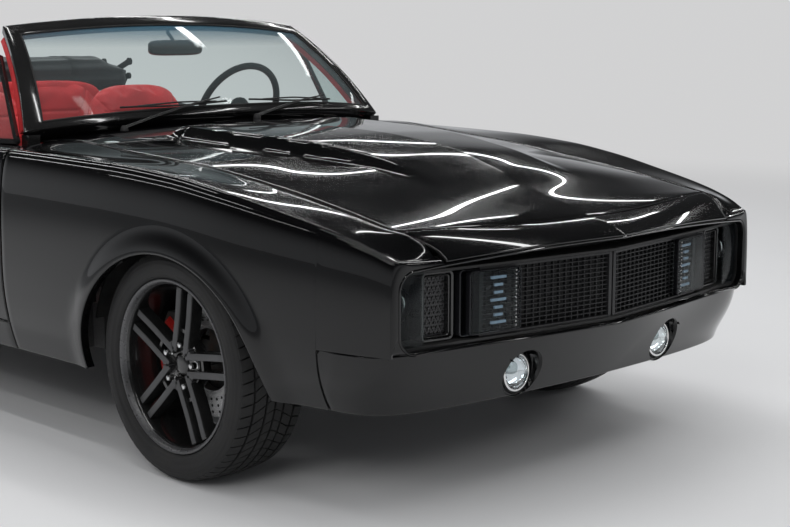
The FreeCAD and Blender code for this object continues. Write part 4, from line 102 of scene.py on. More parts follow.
def curve(table, place):
    """Smooth curve through a table's points, evaluated on an array."""
    xs = np.array([row[0] for row in table])
    ys = np.array([row[1] for row in table])
    steps = np.diff(ys) / np.diff(xs)
    slopes = np.zeros(len(xs))
    slopes[0], slopes[-1] = steps[0], steps[-1]
    before, after = steps[:-1], steps[1:]
    same = before * after > 0
    slopes[1:-1][same] = 2 * before[same] * after[same] / (before[same] + after[same])
    place = np.clip(np.asarray(place, float), xs[0], xs[-1])
    i = np.clip(np.searchsorted(xs, place, side="right") - 1, 0, len(steps) - 1)
    span = xs[i + 1] - xs[i]
    t = (place - xs[i]) / span
    return (ys[i] * (2 * t ** 3 - 3 * t ** 2 + 1) + slopes[i] * span * (t ** 3 - 2 * t ** 2 + t)
            + ys[i + 1] * (3 * t ** 2 - 2 * t ** 3) + slopes[i + 1] * span * (t ** 3 - t ** 2))


def station(y):
    return (np.asarray(y, float) - NOSE_Y) / LENGTH


def axle(distance):
    return FRONT_AXLE_Y + distance


def widest_x(y):
    return HALF_WIDTH * curve(WIDEST, station(y))


def crown_x(y):
    return HALF_WIDTH * curve(CROWN_X, station(y))


def crown_z(y):
    return BELT * curve(CROWN_Z, station(y))


def seam_x(y):
    return HALF_WIDTH * curve(SEAM_X, station(y))


def seam_z(y):
    return BELT * curve(SEAM_Z, station(y))


def ridge_z(y):
    return BELT * curve(RIDGE, station(y))


def bottom_z(y):
    return BELT * curve(BOTTOM, station(y))


def smooth(t):
    t = np.clip(t, 0.0, 1.0)
    return t * t * (3 - 2 * t)


def arch_reach(y, z):
    """Distance from the nearer wheel opening's centre, 1 on its edge."""
    rise = ARCH_TOP - ARCH_CENTRE
    both = [np.hypot((y - a) / ARCH_HALF_LENGTH, (z - ARCH_CENTRE) / rise) for a in (FRONT_AXLE_Y, REAR_AXLE_Y)]
    return np.minimum(*both)


def arch_z(y):
    """Height of the wheel opening's edge over a place along the car, or zero away from it."""
    rise = ARCH_TOP - ARCH_CENTRE
    high = np.zeros_like(np.asarray(y, float))
    for a in (FRONT_AXLE_Y, REAR_AXLE_Y):
        t = 1 - ((y - a) / ARCH_HALF_LENGTH) ** 2
        high = np.maximum(high, np.where(t > 0, ARCH_CENTRE + rise * np.sqrt(np.maximum(t, 0)), 0))
    return high


def flank_x(y, z):
    """Half width of the body at a place along the car and a height."""
    y, z = np.broadcast_arrays(np.asarray(y, float), np.asarray(z, float))
    top, wide, edge = crown_z(y), widest_x(y), crown_x(y)
    middle = WIDEST_HEIGHT_SHARE * top
    t = np.clip((z - middle) / (top - middle), 0, 1)
    upper = edge + (wide - edge) * (1 - t ** SHOULDER_POWER) ** (1 / SHOULDER_POWER)
    t = np.maximum((middle - z) / (middle - bottom_z(y)), 0)
    lower = wide - SILL_TUCK * t ** SILL_TUCK_POWER
    beyond = (arch_reach(y, z) - 1) * ARCH_HALF_LENGTH / ARCH_FLARE_REACH
    return np.where(z >= middle, upper, lower) + ARCH_FLARE * (1 - smooth(beyond))


def bulge(x, y):
    """Rise of the hood's middle over its sides."""
    tip, full, rear = axle(BULGE["tip"]), axle(BULGE["full"]), axle(HOOD_REAR)
    grow = smooth((y - tip) / (full - tip)) * (1 - smooth((y - rear) / BULGE["side"] / 2))
    half = BULGE["tip_half"] + (BULGE["rear_half"] - BULGE["tip_half"]) * smooth((y - tip) / (rear - tip))
    return BULGE["rise"] * grow * (1 - smooth((np.abs(x) - half) / BULGE["side"]))


def top_z(x, y):
    """Height of the body's upper surface."""
    x, y = np.broadcast_arrays(np.abs(np.asarray(x, float)), np.asarray(y, float))
    side, edge = seam_x(y), crown_x(y)
    strip = seam_z(y) + (crown_z(y) - seam_z(y)) * smooth((x - side) / (edge - side))
    t = np.minimum(x / side, 1)
    rise = ridge_z(y) - seam_z(y) - bulge(0, y)
    middle = seam_z(y) + rise * (0.45 * (1 - t) + 0.55 * (1 - t * t)) + bulge(x, y)
    return np.where(x >= side, strip, middle)


def hood_front_y(x):
    return axle(HOOD_FRONT) + HOOD_SWEEP * (np.abs(x) / HALF_WIDTH / HOOD_SHARE) ** 1.8


def lip_y(x):
    t = np.abs(x) / LIP_SIDE_X
    return NOSE_Y + PROW * (0.8 * t + 0.2 * t * t)


def lip_z(x):
    return LIP_TOP + (LIP_TOP_CORNER - LIP_TOP) * (np.abs(x) / LIP_SIDE_X) ** 2.2


# ---- meshes ----

# Finishes by name, made by the first step, and the slot of the record that each one stands for
FINISH = {}
SLOTS = {"paint": "paint_black", "rim_black": "alloy_dark", "spoke_grey": "alloy_dark", "chrome": "steel_bright",
         "reflector": "steel_bright", "shade": "iron", "rubber": "rubber", "sidewall": "rubber",
         "disc_steel": "iron", "caliper_red": "leather_red", "satin_black": "trim_black",
         "gloss_trim": "trim_black", "grid_black": "trim_black", "dotted_mesh": "trim_black",
         "smoked_lens": "lamp_glass", "clear_lens": "lamp_glass", "clear_glass": "glass_clear",
         "screen_glass": "glass_clear", "ice_bar": "lamp_glass", "lamp_bowl": "trim_black",
         "lamp_red": "lamp_red", "leather": "leather_red", "leather_black": "trim_black",
         "fabric": "fabric_black", "steel": "steel_dark"}


def mesh_object(name, points, faces, material, body, smooth_deg=38.0, slot=None):
    """A finished mesh piece: points in millimetres, riding on a body."""
    mesh = bpy.data.meshes.new(name)
    mesh.from_pydata((np.asarray(points, float) * MM).tolist(), [], faces)
    mesh.validate()
    bm = bmesh.new()
    bm.from_mesh(mesh)
    bmesh.ops.remove_doubles(bm, verts=bm.verts[:], dist=2e-6)
    bmesh.ops.recalc_face_normals(bm, faces=bm.faces[:])
    bm.to_mesh(mesh)
    bm.free()
    obj = bpy.data.objects.new(name, mesh)
    bpy.context.scene.collection.objects.link(obj)
    finish_mesh(obj, smooth_deg)
    return dress(obj, material, body, slot)


def finish_mesh(obj, smooth_deg=38.0):
    mesh = obj.data
    mesh.polygons.foreach_set("use_smooth", [True] * len(mesh.polygons))
    mesh.set_sharp_from_angle(angle=math.radians(smooth_deg))
    mesh.update()


def dress(obj, material, body, slot=None):
    if material is not None:
        obj.data.materials.clear()
        obj.data.materials.append(material)
    if body is not None:
        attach(obj, body)
    return obj


def grid_normals(p):
    """Unit normals of a grid of points."""
    along = np.gradient(p, axis=0)
    across = np.gradient(p, axis=1)
    n = np.cross(along, across)
    return n / np.maximum(np.linalg.norm(n, axis=2, keepdims=True), 1e-9)


ROLL_STEPS = (0.0, 0.12, 0.38, 1.0)


def with_edges(values, length, radius):
    """Adds samples close to both ends of a parameter range, for rolled edges."""
    values = np.asarray(values, float)
    low, high = values[0], values[-1]
    span = high - low
    near = [low + span * radius * s / length for s in ROLL_STEPS]
    far = [high - span * radius * s / length for s in ROLL_STEPS]
    inner = [v for v in values if near[-1] + span * 0.2 * radius / length < v < far[-1] - span * 0.2 * radius
             / length]
    return np.array(near + inner + far[::-1])


def roll_depth(count, radius, ends=(True, True)):
    """How far the samples near rolled ends lie under the surface."""
    depth = np.zeros(count)
    drops = [radius - radius * math.sqrt(max(0.0, 1 - (1 - s) ** 2)) for s in ROLL_STEPS]
    for k, drop in enumerate(drops):
        if ends[0]:
            depth[k] = drop
        if ends[1]:
            depth[count - 1 - k] = drop
    return depth


def panel_arrays(place, us, vs, size_u, size_v, thickness, radius=3.0, out=(0, 0, 1), rolls=(1, 1, 1, 1),
                 holes=(), cut=None):
    """Points and faces of a closed, rolled-edge panel over a place(u, v) function."""
    us = with_edges(us, size_u, radius)
    vs = with_edges(vs, size_v, radius)
    u, v = np.meshgrid(us, vs, indexing="ij")
    keep = None
    if holes:
        u, v, keep = round_holes(place, u, v, holes)
    p = grid_points(place, u, v)
    if cut is not None:
        middle = (p[:-1, :-1] + p[1:, :-1] + p[1:, 1:] + p[:-1, 1:]) / 4
        inside = cut(middle[:, :, 0], middle[:, :, 1], middle[:, :, 2])
        keep = ~inside if keep is None else keep & ~inside
    n = grid_normals(p)
    flip = float((n * np.asarray(out, float)).sum()) < 0
    n = -n if flip else n
    du = roll_depth(len(us), radius, (rolls[0], rolls[1]))[:, None]
    dv = roll_depth(len(vs), radius, (rolls[2], rolls[3]))[None, :]
    outer = p - n * np.maximum(du, dv)[:, :, None]
    inner = p - n * thickness
    return close_grids(outer, inner, flip, keep)


def round_holes(place, u, v, holes):
    """Moves the samples beside round holes onto each hole's edge, and gives the cells that stay."""
    keep = np.ones((u.shape[0] - 1, u.shape[1] - 1), bool)
    for cx, cz, radius in holes:
        x, _, z = place(u, v)
        reach = np.hypot(x - cx, z - cz)
        gone = (reach[:-1, :-1] + reach[1:, :-1] + reach[1:, 1:] + reach[:-1, 1:]) / 4 < radius
        keep &= ~gone
        touch = [np.zeros(u.shape, bool), np.zeros(u.shape, bool)]
        for mark, cells in zip(touch, (gone, ~gone)):
            for i in (0, 1):
                for j in (0, 1):
                    mark[i:i + cells.shape[0], j:j + cells.shape[1]] |= cells
        edge = touch[0] & touch[1]
        eu, ev = u[edge], v[edge]
        hu, hv = (u.max() - u.min()) * 1e-4, (v.max() - v.min()) * 1e-4
        for _ in range(5):
            x, _, z = place(eu, ev)
            reach = np.hypot(x - cx, z - cz)
            dx, dz = (x - cx) * (radius / reach - 1), (z - cz) * (radius / reach - 1)
            xu, _, zu = place(eu + hu, ev)
            xv, _, zv = place(eu, ev + hv)
            a, b, c, d = (xu - x) / hu, (xv - x) / hv, (zu - z) / hu, (zv - z) / hv
            scale = a * d - b * c
            eu = eu + (d * dx - b * dz) / scale
            ev = ev + (a * dz - c * dx) / scale
        u, v = u.copy(), v.copy()
        u[edge], v[edge] = eu, ev
    return u, v, keep


def close_grids(outer, inner, flip=False, keep=None):
    """A closed shell from two like grids, with a wall along every free edge."""
    nu, nv = outer.shape[:2]
    shift = nu * nv
    index = np.arange(shift).reshape(nu, nv)
    quads = np.stack([index[:-1, :-1], index[1:, :-1], index[1:, 1:], index[:-1, 1:]], axis=2)
    quads = quads.reshape(-1, 4) if keep is None else quads[keep]
    edges = np.concatenate([quads[:, [k, (k + 1) % 4]] for k in range(4)])
    rim = edges[~np.isin(edges[:, 0] * shift + edges[:, 1], edges[:, 1] * shift + edges[:, 0])]
    side = np.stack([rim[:, 1], rim[:, 0], rim[:, 0] + shift, rim[:, 1] + shift], axis=1)
    faces = np.concatenate([quads, quads[:, ::-1] + shift, side])
    if flip:
        faces = faces[:, ::-1]
    points = np.concatenate([outer.reshape(-1, 3), inner.reshape(-1, 3)])
    used, place_of = np.unique(faces, return_inverse=True)
    return points[used], place_of.reshape(-1, 4).tolist()


def mirror_x(points, faces):
    points = np.array(points) * np.array([-1.0, 1.0, 1.0])
    return points, [list(f)[::-1] for f in faces]


def pair(name, finish, body, parts, smooth_deg=38.0, slot=None):
    """A left-hand piece and its mirror image; body names may end in _left."""
    material, slot = FINISH[finish], slot or SLOTS[finish]
    points, faces = join_arrays(parts) if isinstance(parts, list) else parts
    left = mesh_object(name + "_left", points, faces, material, body, smooth_deg, slot)
    points, faces = mirror_x(points, faces)
    other = body[:-5] + "_right" if body.endswith("_left") else body
    right = mesh_object(name + "_right", points, faces, material, other, smooth_deg, slot)
    return left, right


def single(name, finish, body, parts, smooth_deg=38.0, slot=None):
    """One piece with the finish of a name, riding on a body."""
    points, faces = join_arrays(parts) if isinstance(parts, list) else parts
    return mesh_object(name, points, faces, FINISH[finish], body, smooth_deg, slot or SLOTS[finish])


def lathe(profile, axis="X", steps=96, closed=True):
    """Points and faces of a turned ring: profile is (along, radius) pairs."""
    prof = np.array(profile, float)
    ang = np.linspace(0, 2 * math.pi, steps, endpoint=False)
    along = np.repeat(prof[:, 0][:, None], steps, axis=1)
    ca, sa = np.cos(ang)[None, :] * prof[:, 1][:, None], np.sin(ang)[None, :] * prof[:, 1][:, None]
    if axis == "X":
        p = np.stack([along, ca, sa], axis=2)
    elif axis == "Y":
        p = np.stack([sa, along, ca], axis=2)
    else:
        p = np.stack([ca, sa, along], axis=2)
    n = len(prof)
    faces = []
    rows = n if closed else n - 1
    for i in range(rows):
        k = (i + 1) % n
        for j in range(steps):
            m = (j + 1) % steps
            faces.append([i * steps + j, i * steps + m, k * steps + m, k * steps + j])
    return p.reshape(-1, 3), faces


def tube_arrays(path, radius, steps=12, closed=False):
    """A round tube along points."""
    path = np.array(path, float)
    n = len(path)
    if closed:
        tangent = np.roll(path, -1, axis=0) - np.roll(path, 1, axis=0)
    else:
        tangent = np.gradient(path, axis=0)
    tangent /= np.linalg.norm(tangent, axis=1, keepdims=True)
    up = np.array([0.0, 0.0, 1.0]) if abs(tangent[0][2]) < 0.9 else np.array([1.0, 0.0, 0.0])
    rings = []
    for k in range(n):
        side = np.cross(tangent[k], up)
        side /= np.linalg.norm(side)
        up = np.cross(side, tangent[k])
        ang = np.linspace(0, 2 * math.pi, steps, endpoint=False)
        rings.append(path[k] + radius * (np.cos(ang)[:, None] * side + np.sin(ang)[:, None] * up))
    points = np.concatenate(rings)
    faces = []
    for k in range(n if closed else n - 1):
        q = (k + 1) % n
        for j in range(steps):
            m = (j + 1) % steps
            faces.append([k * steps + j, k * steps + m, q * steps + m, q * steps + j])
    if not closed:
        faces.append(list(range(steps))[::-1])
        faces.append([(n - 1) * steps + j for j in range(steps)])
    return points, faces


def moved(part, place):
    """A part shifted to a place."""
    return np.asarray(part[0]) + np.array(place), part[1]


def grid_points(place, *at):
    """Points of a place function on a grid."""
    return np.stack(np.broadcast_arrays(*place(*at)), axis=2).astype(float)


def tends_to(outer, axis):
    """Whether a grid's faces look towards an axis on the whole."""
    return float(grid_normals(outer)[:, :, axis].sum()) > 0


def ring_faces(rows):
    """Points and faces of sections that close on themselves both ways."""
    rows = np.array(rows)
    k, n = rows.shape[:2]
    faces = [[i * n + j, ((i + 1) % k) * n + j, ((i + 1) % k) * n + (j + 1) % n, i * n + (j + 1) % n]
             for i in range(k) for j in range(n)]
    return rows.reshape(-1, 3), faces


def vertex_places(mesh):
    """A mesh's points, in metres."""
    points = np.empty(len(mesh.vertices) * 3)
    mesh.vertices.foreach_get("co", points)
    return points.reshape(-1, 3)


def join_arrays(parts):
    points, faces, base = [], [], 0
    for p, f in parts:
        points.append(np.asarray(p, float))
        faces += [[i + base for i in face] for face in f]
        base += len(p)
    return np.concatenate(points), faces


# ---- materials ----

class Value:
    """A number or link in a shader tree; sums on it add Math nodes."""

    def __init__(self, maker, socket):
        self.maker, self.socket = maker, socket

    def _math(self, operation, *others):
        return self.maker.node("ShaderNodeMath", {"operation": operation}, [self, *others])

    def __add__(self, other):
        return self._math("ADD", other)

    __radd__ = __add__

    def __sub__(self, other):
        return self._math("SUBTRACT", other)

    def __rsub__(self, other):
        return self.maker.node("ShaderNodeMath", {"operation": "SUBTRACT"}, [other, self])

    def __mul__(self, other):
        return self._math("MULTIPLY", other)

    __rmul__ = __mul__

    def __lt__(self, other):
        return self._math("LESS_THAN", other)

    def power(self, other):
        return self._math("POWER", other)

    def fraction(self):
        return self._math("FRACT")

    def at_most(self, other):
        return self._math("MINIMUM", other)

    def sine(self):
        return self._math("SINE")


class Maker:
    """Builds one procedural material."""

    def __init__(self, name):
        self.material = bpy.data.materials.new(name)
        self.material.use_nodes = True
        self.tree = self.material.node_tree
        self.tree.nodes.clear()
        self.output = self.tree.nodes.new("ShaderNodeOutputMaterial")

    def node(self, kind, settings=None, inputs=None, out=0):
        made = self.tree.nodes.new(kind)
        for key, value in (settings or {}).items():
            if key == "stops":
                ramp = made.color_ramp
                while len(ramp.elements) < len(value):
                    ramp.elements.new(0.5)
                for element, (place, colour) in zip(ramp.elements, value):
                    element.position = place
                    element.color = (*colour, 1.0)
            else:
                setattr(made, key, value)
        pairs = inputs.items() if isinstance(inputs, dict) else enumerate(inputs or [])
        for key, value in pairs:
            self.feed(made.inputs[key], value)
        return Value(self, made.outputs[out])

    def feed(self, socket, value):
        if isinstance(value, Value):
            self.tree.links.new(value.socket, socket)
        elif isinstance(value, tuple) and len(value) == 3 and socket.type == "RGBA":
            socket.default_value = (*value, 1.0)
        else:
            socket.default_value = value

    def place(self):
        return self.node("ShaderNodeTexCoord", out=3)

    def parts(self, vector):
        made = self.node("ShaderNodeSeparateXYZ", {}, [vector])
        node = made.socket.node
        return [Value(self, s) for s in node.outputs]

    def noise(self, scale, detail=3.0, rough=0.5, vector=None):
        return self.node("ShaderNodeTexNoise", {}, {"Vector": vector or self.place(), "Scale": scale,
                                                    "Detail": detail, "Roughness": rough})

    def fit(self, value, low, high, new_low, new_high, curve_kind="LINEAR"):
        """Maps a range of values onto another."""
        return self.node("ShaderNodeMapRange", {"interpolation_type": curve_kind},
                         [value, low, high, new_low, new_high])

    def ramp(self, value, *stops):
        return self.node("ShaderNodeValToRGB", {"stops": stops}, [value])

    def mix(self, factor, first, second):
        made = self.node("ShaderNodeMix", {"data_type": "RGBA"}, {"Factor": factor})
        node = made.socket.node
        self.feed(node.inputs[6], first)
        self.feed(node.inputs[7], second)
        return Value(self, node.outputs[2])

    def bump(self, height, strength=0.3, distance=0.001):
        return self.node("ShaderNodeBump", {}, {"Strength": strength, "Distance": distance, "Height": height})

    def surface(self, **sockets):
        made = self.node("ShaderNodeBsdfPrincipled", {}, {k.replace("_", " "): v for k, v in sockets.items()})
        self.tree.links.new(made.socket, self.output.inputs["Surface"])
        return made


def paint_black():
    m = Maker("paint_gloss_black")
    mottle = m.noise(1800.0, 2.0)
    m.surface(Base_Color=m.ramp(m.noise(2.2, 2.0), (0.35, (0.0014, 0.0014, 0.0016)),
                                (0.7, (0.0024, 0.0024, 0.0027))),
              Roughness=m.fit(m.noise(9.0, 4.0), 0.3, 0.7, 0.10, 0.16), Specular_IOR_Level=0.06, Coat_Weight=1.0,
              Coat_Roughness=0.012, Coat_IOR=1.45, Normal=m.bump(mottle, 0.004, 0.0001))
    return m.material


def satin(name, dark, light, rough=0.42, metallic=0.0, grain=900.0, bump=0.08, coat=0.0):
    m = Maker(name)
    m.surface(Base_Color=m.ramp(m.noise(6.0, 4.0), (0.3, dark), (0.75, light)),
              Roughness=m.fit(m.noise(grain / 8, 3.0), 0.3, 0.7, rough * 0.85, min(1.0, rough * 1.15)),
              Metallic=metallic, Coat_Weight=coat, Normal=m.bump(m.noise(grain, 2.0), bump, 0.0004))
    return m.material


# ---- painted body ----

def flank_share(t):
    """Spreads samples down a flank, close together where it turns over the crown."""
    return t ** 2.4 / (t ** 2.4 + (1 - t) * 0.9)


STRIP = 0.16


def side_place(low, inner_x=None):
    """Place function of a side skin: v runs from the seam over the crown and down to low(y)."""
    def place(y, v):
        t = np.clip((v - STRIP) / (1 - STRIP), 0, 1)
        top = crown_z(y)
        flank_z = top - (top - low(y)) * flank_share(t)
        near = seam_x(y) if inner_x is None else inner_x
        strip_x = near + (crown_x(y) - near) * np.clip(v / STRIP, 0, 1)
        strip_z = top_z(strip_x, y) if inner_x is None else top
        return (np.where(v < STRIP, strip_x, flank_x(y, flank_z)), y, np.where(v < STRIP, strip_z, flank_z))
    return place


def arch_low(y):
    return np.maximum(bottom_z(y), arch_z(y))


def fender_low(y):
    return np.where(y < axle(VALANCE_REAR), LIP_BOTTOM, arch_low(y))


def arch_columns(centre, y0, y1, spacing=24.0):
    """Columns along a side, denser where the wheel opening's edge stands steep."""
    reach = ARCH_HALF_LENGTH * 0.9985
    inside = centre - reach * np.cos(np.linspace(0, math.pi, 61))
    ahead = np.arange(y0, centre - reach - 4, spacing)
    behind = np.arange(centre + reach + 6, y1, spacing)
    return np.concatenate([ahead, inside, behind, [y1]])


STRIP_STEPS = np.linspace(0, STRIP, 9)
FLANK_STEPS = STRIP + (1 - STRIP) * np.linspace(0, 1, 61)[1:]
SIDE_STEPS = np.concatenate([STRIP_STEPS, FLANK_STEPS])


def arch_lip(centre):
    """The rolled bead round a wheel opening, with its flange turned in."""
    angle = np.linspace(-1.0, 1.0, 101) * math.radians(94)
    rise = ARCH_TOP - ARCH_CENTRE
    y = centre + ARCH_HALF_LENGTH * np.sin(angle)
    z = ARCH_CENTRE + rise * np.cos(angle)
    keep = z > bottom_z(y) + 3
    y, z, angle = y[keep], z[keep], angle[keep]
    x = flank_x(y, np.maximum(z, bottom_z(y)))
    away = np.stack([np.zeros_like(y), np.sin(angle), np.cos(angle)], axis=1)
    out = np.zeros_like(away)
    out[:, 0] = 1
    base = np.stack([x, y, z], axis=1)
    section = [(-26, -1.5), (-26, -4), (-4, -4), (-1.5, -3.6), (-0.4, -1.8), (0.2, 0.8), (-0.2, 3.6), (-1.4, 5.4),
               (-4, 5.4), (-7, 2.5), (-8, -1.5)]
    rows = np.stack([base + out * a + away * b for a, b in section], axis=1)
    n, k = rows.shape[:2]
    faces = [[i * k + j, i * k + (j + 1) % k, (i + 1) * k + (j + 1) % k, (i + 1) * k + j]
             for i in range(n - 1) for j in range(k)]
    faces += [list(range(k))[::-1], [(n - 1) * k + j for j in range(k)]]
    return rows.reshape(-1, 3), faces


def build_fenders():
    y0, y1 = axle(FENDER_NOSE), axle(DOOR_FRONT) - GAP / 2
    step_y = axle(VALANCE_REAR)
    ys = arch_columns(FRONT_AXLE_Y, y0, y1)
    ys = np.sort(np.concatenate([ys[np.abs(ys - step_y) > 5], [step_y - 0.3, step_y + 0.3]]))
    skin = panel_arrays(side_place(fender_low), ys, SIDE_STEPS, y1 - y0, 640.0, 9.0, 3.5, (1, 0, 0.3))
    for obj, side in zip(pair("fender", "paint", "body", skin), ("left", "right")):
        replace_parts(obj, "fender_" + side)
    pair("front_arch_lip", "paint", "body", arch_lip(FRONT_AXLE_Y))


def build_quarters():
    y0, y1 = axle(DOOR_REAR) + GAP / 2, TAIL_Y
    ys = arch_columns(REAR_AXLE_Y, y0, y1)
    skin = panel_arrays(side_place(arch_low), ys, SIDE_STEPS, y1 - y0, 640.0, 9.0, 3.5, (1, 0, 0.3))
    for obj, side in zip(pair("quarter", "paint", "body", skin), ("left", "right")):
        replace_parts(obj, "quarter_" + side)
    pair("rear_arch_lip", "paint", "body", arch_lip(REAR_AXLE_Y))


def build_sills():
    y0, y1 = axle(DOOR_FRONT) + GAP / 2, axle(DOOR_REAR) - GAP / 2
    high = DOOR_BOTTOM - GAP

    def place(y, v):
        z = high + (bottom_z(y) - high) * v
        return flank_x(y, z) + 0.6, y, z
    skin = panel_arrays(place, np.linspace(y0, y1, 40), np.linspace(0, 1, 10), y1 - y0, 90.0, 4.0, 3.0, (1, 0, 0))
    pair("rocker", "paint", "body", skin)


def build_hood():
    def place(u, v):
        front = hood_front_y(u * HALF_WIDTH * HOOD_SHARE)
        y = front + (axle(HOOD_REAR) - front) * v
        x = u * (seam_x(y) - GAP)
        return x, y, top_z(x, y)
    ridge = np.array([-0.012, -0.005, 0.0, 0.005, 0.012])
    us = np.unique(np.concatenate([np.linspace(-1, 1, 97)[np.abs(np.linspace(-1, 1, 97)) > 0.015], ridge]))
    skin = panel_arrays(place, us, np.linspace(0, 1, 92), 1290.0, 1330.0, 15.0, 4.5, (0, 0, 1))
    hood = single("hood_skin", "paint", "hood", skin, 30.0)
    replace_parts(hood, "hood")


def header_place(u, v):
    y = np.full(np.broadcast(u, v).shape, NOSE_Y + PROW)
    for _ in range(8):
        x = u * (seam_x(y) - 0.8)
        back_y = hood_front_y(x) - GAP
        y = back_y + (lip_y(x) - back_y) * v
    back_z = top_z(x, back_y)
    drop = 0.45 * v + 0.55 * v ** 2.4
    return x, y, back_z + (lip_z(x) + 4 - back_z) * drop


def valance_place(u, v):
    angle = math.pi / 2 * (1 - np.abs(u))
    power = 8.0 + (4.5 - 8.0) * smooth(v * 1.1)
    rear = axle(VALANCE_REAR)
    z = LIP_BOTTOM + (VALANCE_BOTTOM - LIP_BOTTOM) * v
    corner_y = axle(FENDER_NOSE) + 20.0 * (v - 0.3)
    y = rear - (rear - corner_y) * np.sin(angle) ** (2 / power)
    x = flank_x(y, z) * np.maximum(np.cos(angle), 0) ** (2 / power)
    prow = (PROW - 10) * (1 - v) + (PROW - 78.0) * v
    y = y - prow * np.maximum(0.0, 1 - x / LIP_SIDE_X) ** 0.9 * smooth(1.3 * (1 - x / HALF_WIDTH))
    return np.where(u >= 0, 1, -1) * x, y, z


FOG_X, FOG_Z, FOG_R = 311.0, 350.0, 66.0


def build_nose():
    us = np.unique(np.concatenate([np.linspace(-1, 1, 81), [-0.006, 0.006]]))
    skin = panel_arrays(header_place, us, np.linspace(0, 1, 26), 1300.0, 150.0, 9.0, 4.0, (0, -0.5, 1))
    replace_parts(single("header_skin", "paint", "body", skin, 30.0), "header_panel")
    us = np.linspace(-1, 1, 321)
    skin = panel_arrays(valance_place, us, np.linspace(0, 1, 34), 2200.0, 165.0, 9.0, 3.5, (0, -1, 0),
                        holes=[(-FOG_X, FOG_Z, FOG_R), (FOG_X, FOG_Z, FOG_R)])
    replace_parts(single("valance_skin", "paint", "body", skin, 34.0), "front_valance")


SCREEN_HALF, SCREEN_TOP_HALF = 760.0, 622.0


def screen_base_y(u):
    return axle(745.0) + 124.0 * np.abs(u) ** 2.2


def cowl_place(u, v):
    start = axle(HOOD_REAR) + GAP
    end = screen_base_y(u) + 30.0
    y = start + (end - start) * v
    x = u * (seam_x(y) - 0.8)
    return x, y, top_z(x, y)


def cowl_slots(x, y, z):
    """Where the cowl is open for the air intake mesh."""
    front = axle(HOOD_REAR) + GAP + 34
    return (np.abs(x) > 150) & (np.abs(x) < 560) & (y > front) & (y < screen_base_y(x / SCREEN_HALF) - 38)


def build_cowl():
    skin = panel_arrays(cowl_place, np.linspace(-1, 1, 121), np.linspace(0, 1, 42), 1320.0, 220.0, 7.0, 3.0,
                        (0, 0, 1), cut=cowl_slots)
    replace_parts(single("cowl_skin", "paint", "body", skin, 34.0), "cowl_panel")


HINGE_X, HINGE_Y, HINGE_REACH = 837.9, -714.0, 87.4


def door_shell():
    y0, y1 = axle(DOOR_FRONT) + GAP / 2 + 1.5, axle(DOOR_REAR) - GAP / 2
    step = HINGE_Y + HINGE_REACH
    ys = np.concatenate([np.arange(y0, step, 6.0), [step - 0.4, step + 0.4], np.arange(step + 20, y1, 26.0),
                         [y1]])
    ys = with_edges(ys, y1 - y0, 3.5)
    vs = with_edges(SIDE_STEPS, 620.0, 3.5)
    y, v = np.meshgrid(ys, vs, indexing="ij")
    place = side_place(lambda yy: np.full(np.shape(yy), DOOR_BOTTOM), DOOR_TOP_X)
    outer = grid_points(place, y, v)
    n = grid_normals(outer)
    n = n if n[:, :, 0].sum() > 0 else -n
    drop = np.maximum(roll_depth(len(ys), 3.5)[:, None], roll_depth(len(vs), 3.5)[None, :])
    skin = outer - n * drop[:, :, None]
    near = HINGE_X + np.sqrt(np.maximum(0, HINGE_REACH ** 2 - (y - HINGE_Y) ** 2))
    inner_x = np.where(y < step, np.maximum(786.0, near), 786.0)
    top, low = outer[:, :1, 2] - 16, outer[:, -1:, 2]
    share = np.linspace(0, 1, len(vs))[None, :]
    z = top + (low - top) * share
    inner_x = np.minimum(inner_x, flank_x(y, z) - 3)
    inner = np.stack([inner_x, y, z], axis=2)
    return close_grids(skin, inner, not tends_to(outer, 0))


def hinge_arms():
    """The two hinge arms of a door, each with an eye round its pin."""
    parts = []
    back, far = -69.0 * 0.62, HINGE_REACH
    outline = [(-12.6, 0), (back - 14, far * 0.9), (back - 14, far + 28), (back + 14, far + 28),
               (back + 8.4, far * 0.8), (9.8, 8.4)]
    for z in (460.0, 720.0):
        low = z + 7.4
        parts.append(prism([(HINGE_X + x, HINGE_Y + y, low) for x, y in outline], (0, 0, 14.0)))
        parts.append(moved(lathe([(0, 7.2), (0, 14), (14, 14), (14, 7.2)], "Z", 32), (HINGE_X, HINGE_Y, low)))
    return parts


def prism(outline, push):
    """A solid from a flat outline pushed along a vector."""
    base = np.array(outline, float)
    n = len(base)
    normal = sum(np.cross(base[k], base[(k + 1) % n]) for k in range(n))
    if np.dot(normal, push) > 0:
        base = base[::-1]
    points = np.concatenate([base, base + np.array(push, float)])
    faces = [list(range(n)), [n + k for k in range(n)][::-1]]
    faces += [[k, k + n, (k + 1) % n + n, (k + 1) % n] for k in range(n)]
    return points, faces


def build_doors():
    for obj, side in zip(pair("door_shell", "paint", "door_left", door_shell()), ("left", "right")):
        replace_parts(obj, "door_" + side)
    pair("door_hinge_arms", "steel", "door_left", hinge_arms())


def deck_place(start, end, gap):
    def place(u, v):
        y = start + (end - start) * v
        x = u * (seam_x(y) - gap)
        return x, y, top_z(x, y)
    return place


LAMP_X, LAMP_HALF, LAMP_LOW, LAMP_HIGH, LAMP_BAR = 560.0, 150.0, 690.0, 795.0, 22.0
TAIL_BOW, TAIL_SPLIT = 46.0, 600.0
PIPE_X, PIPE_Z, PIPE_R = 430.0, 340.0, 58.0


def tail_face_y(x, z):
    top = crown_z(TAIL_Y)
    lean = ((z - (TAIL_SPLIT + top) / 2) / (top - TAIL_SPLIT)) ** 2
    return TAIL_Y - TAIL_BOW * ((np.abs(x) / HALF_WIDTH) ** 3 + lean)


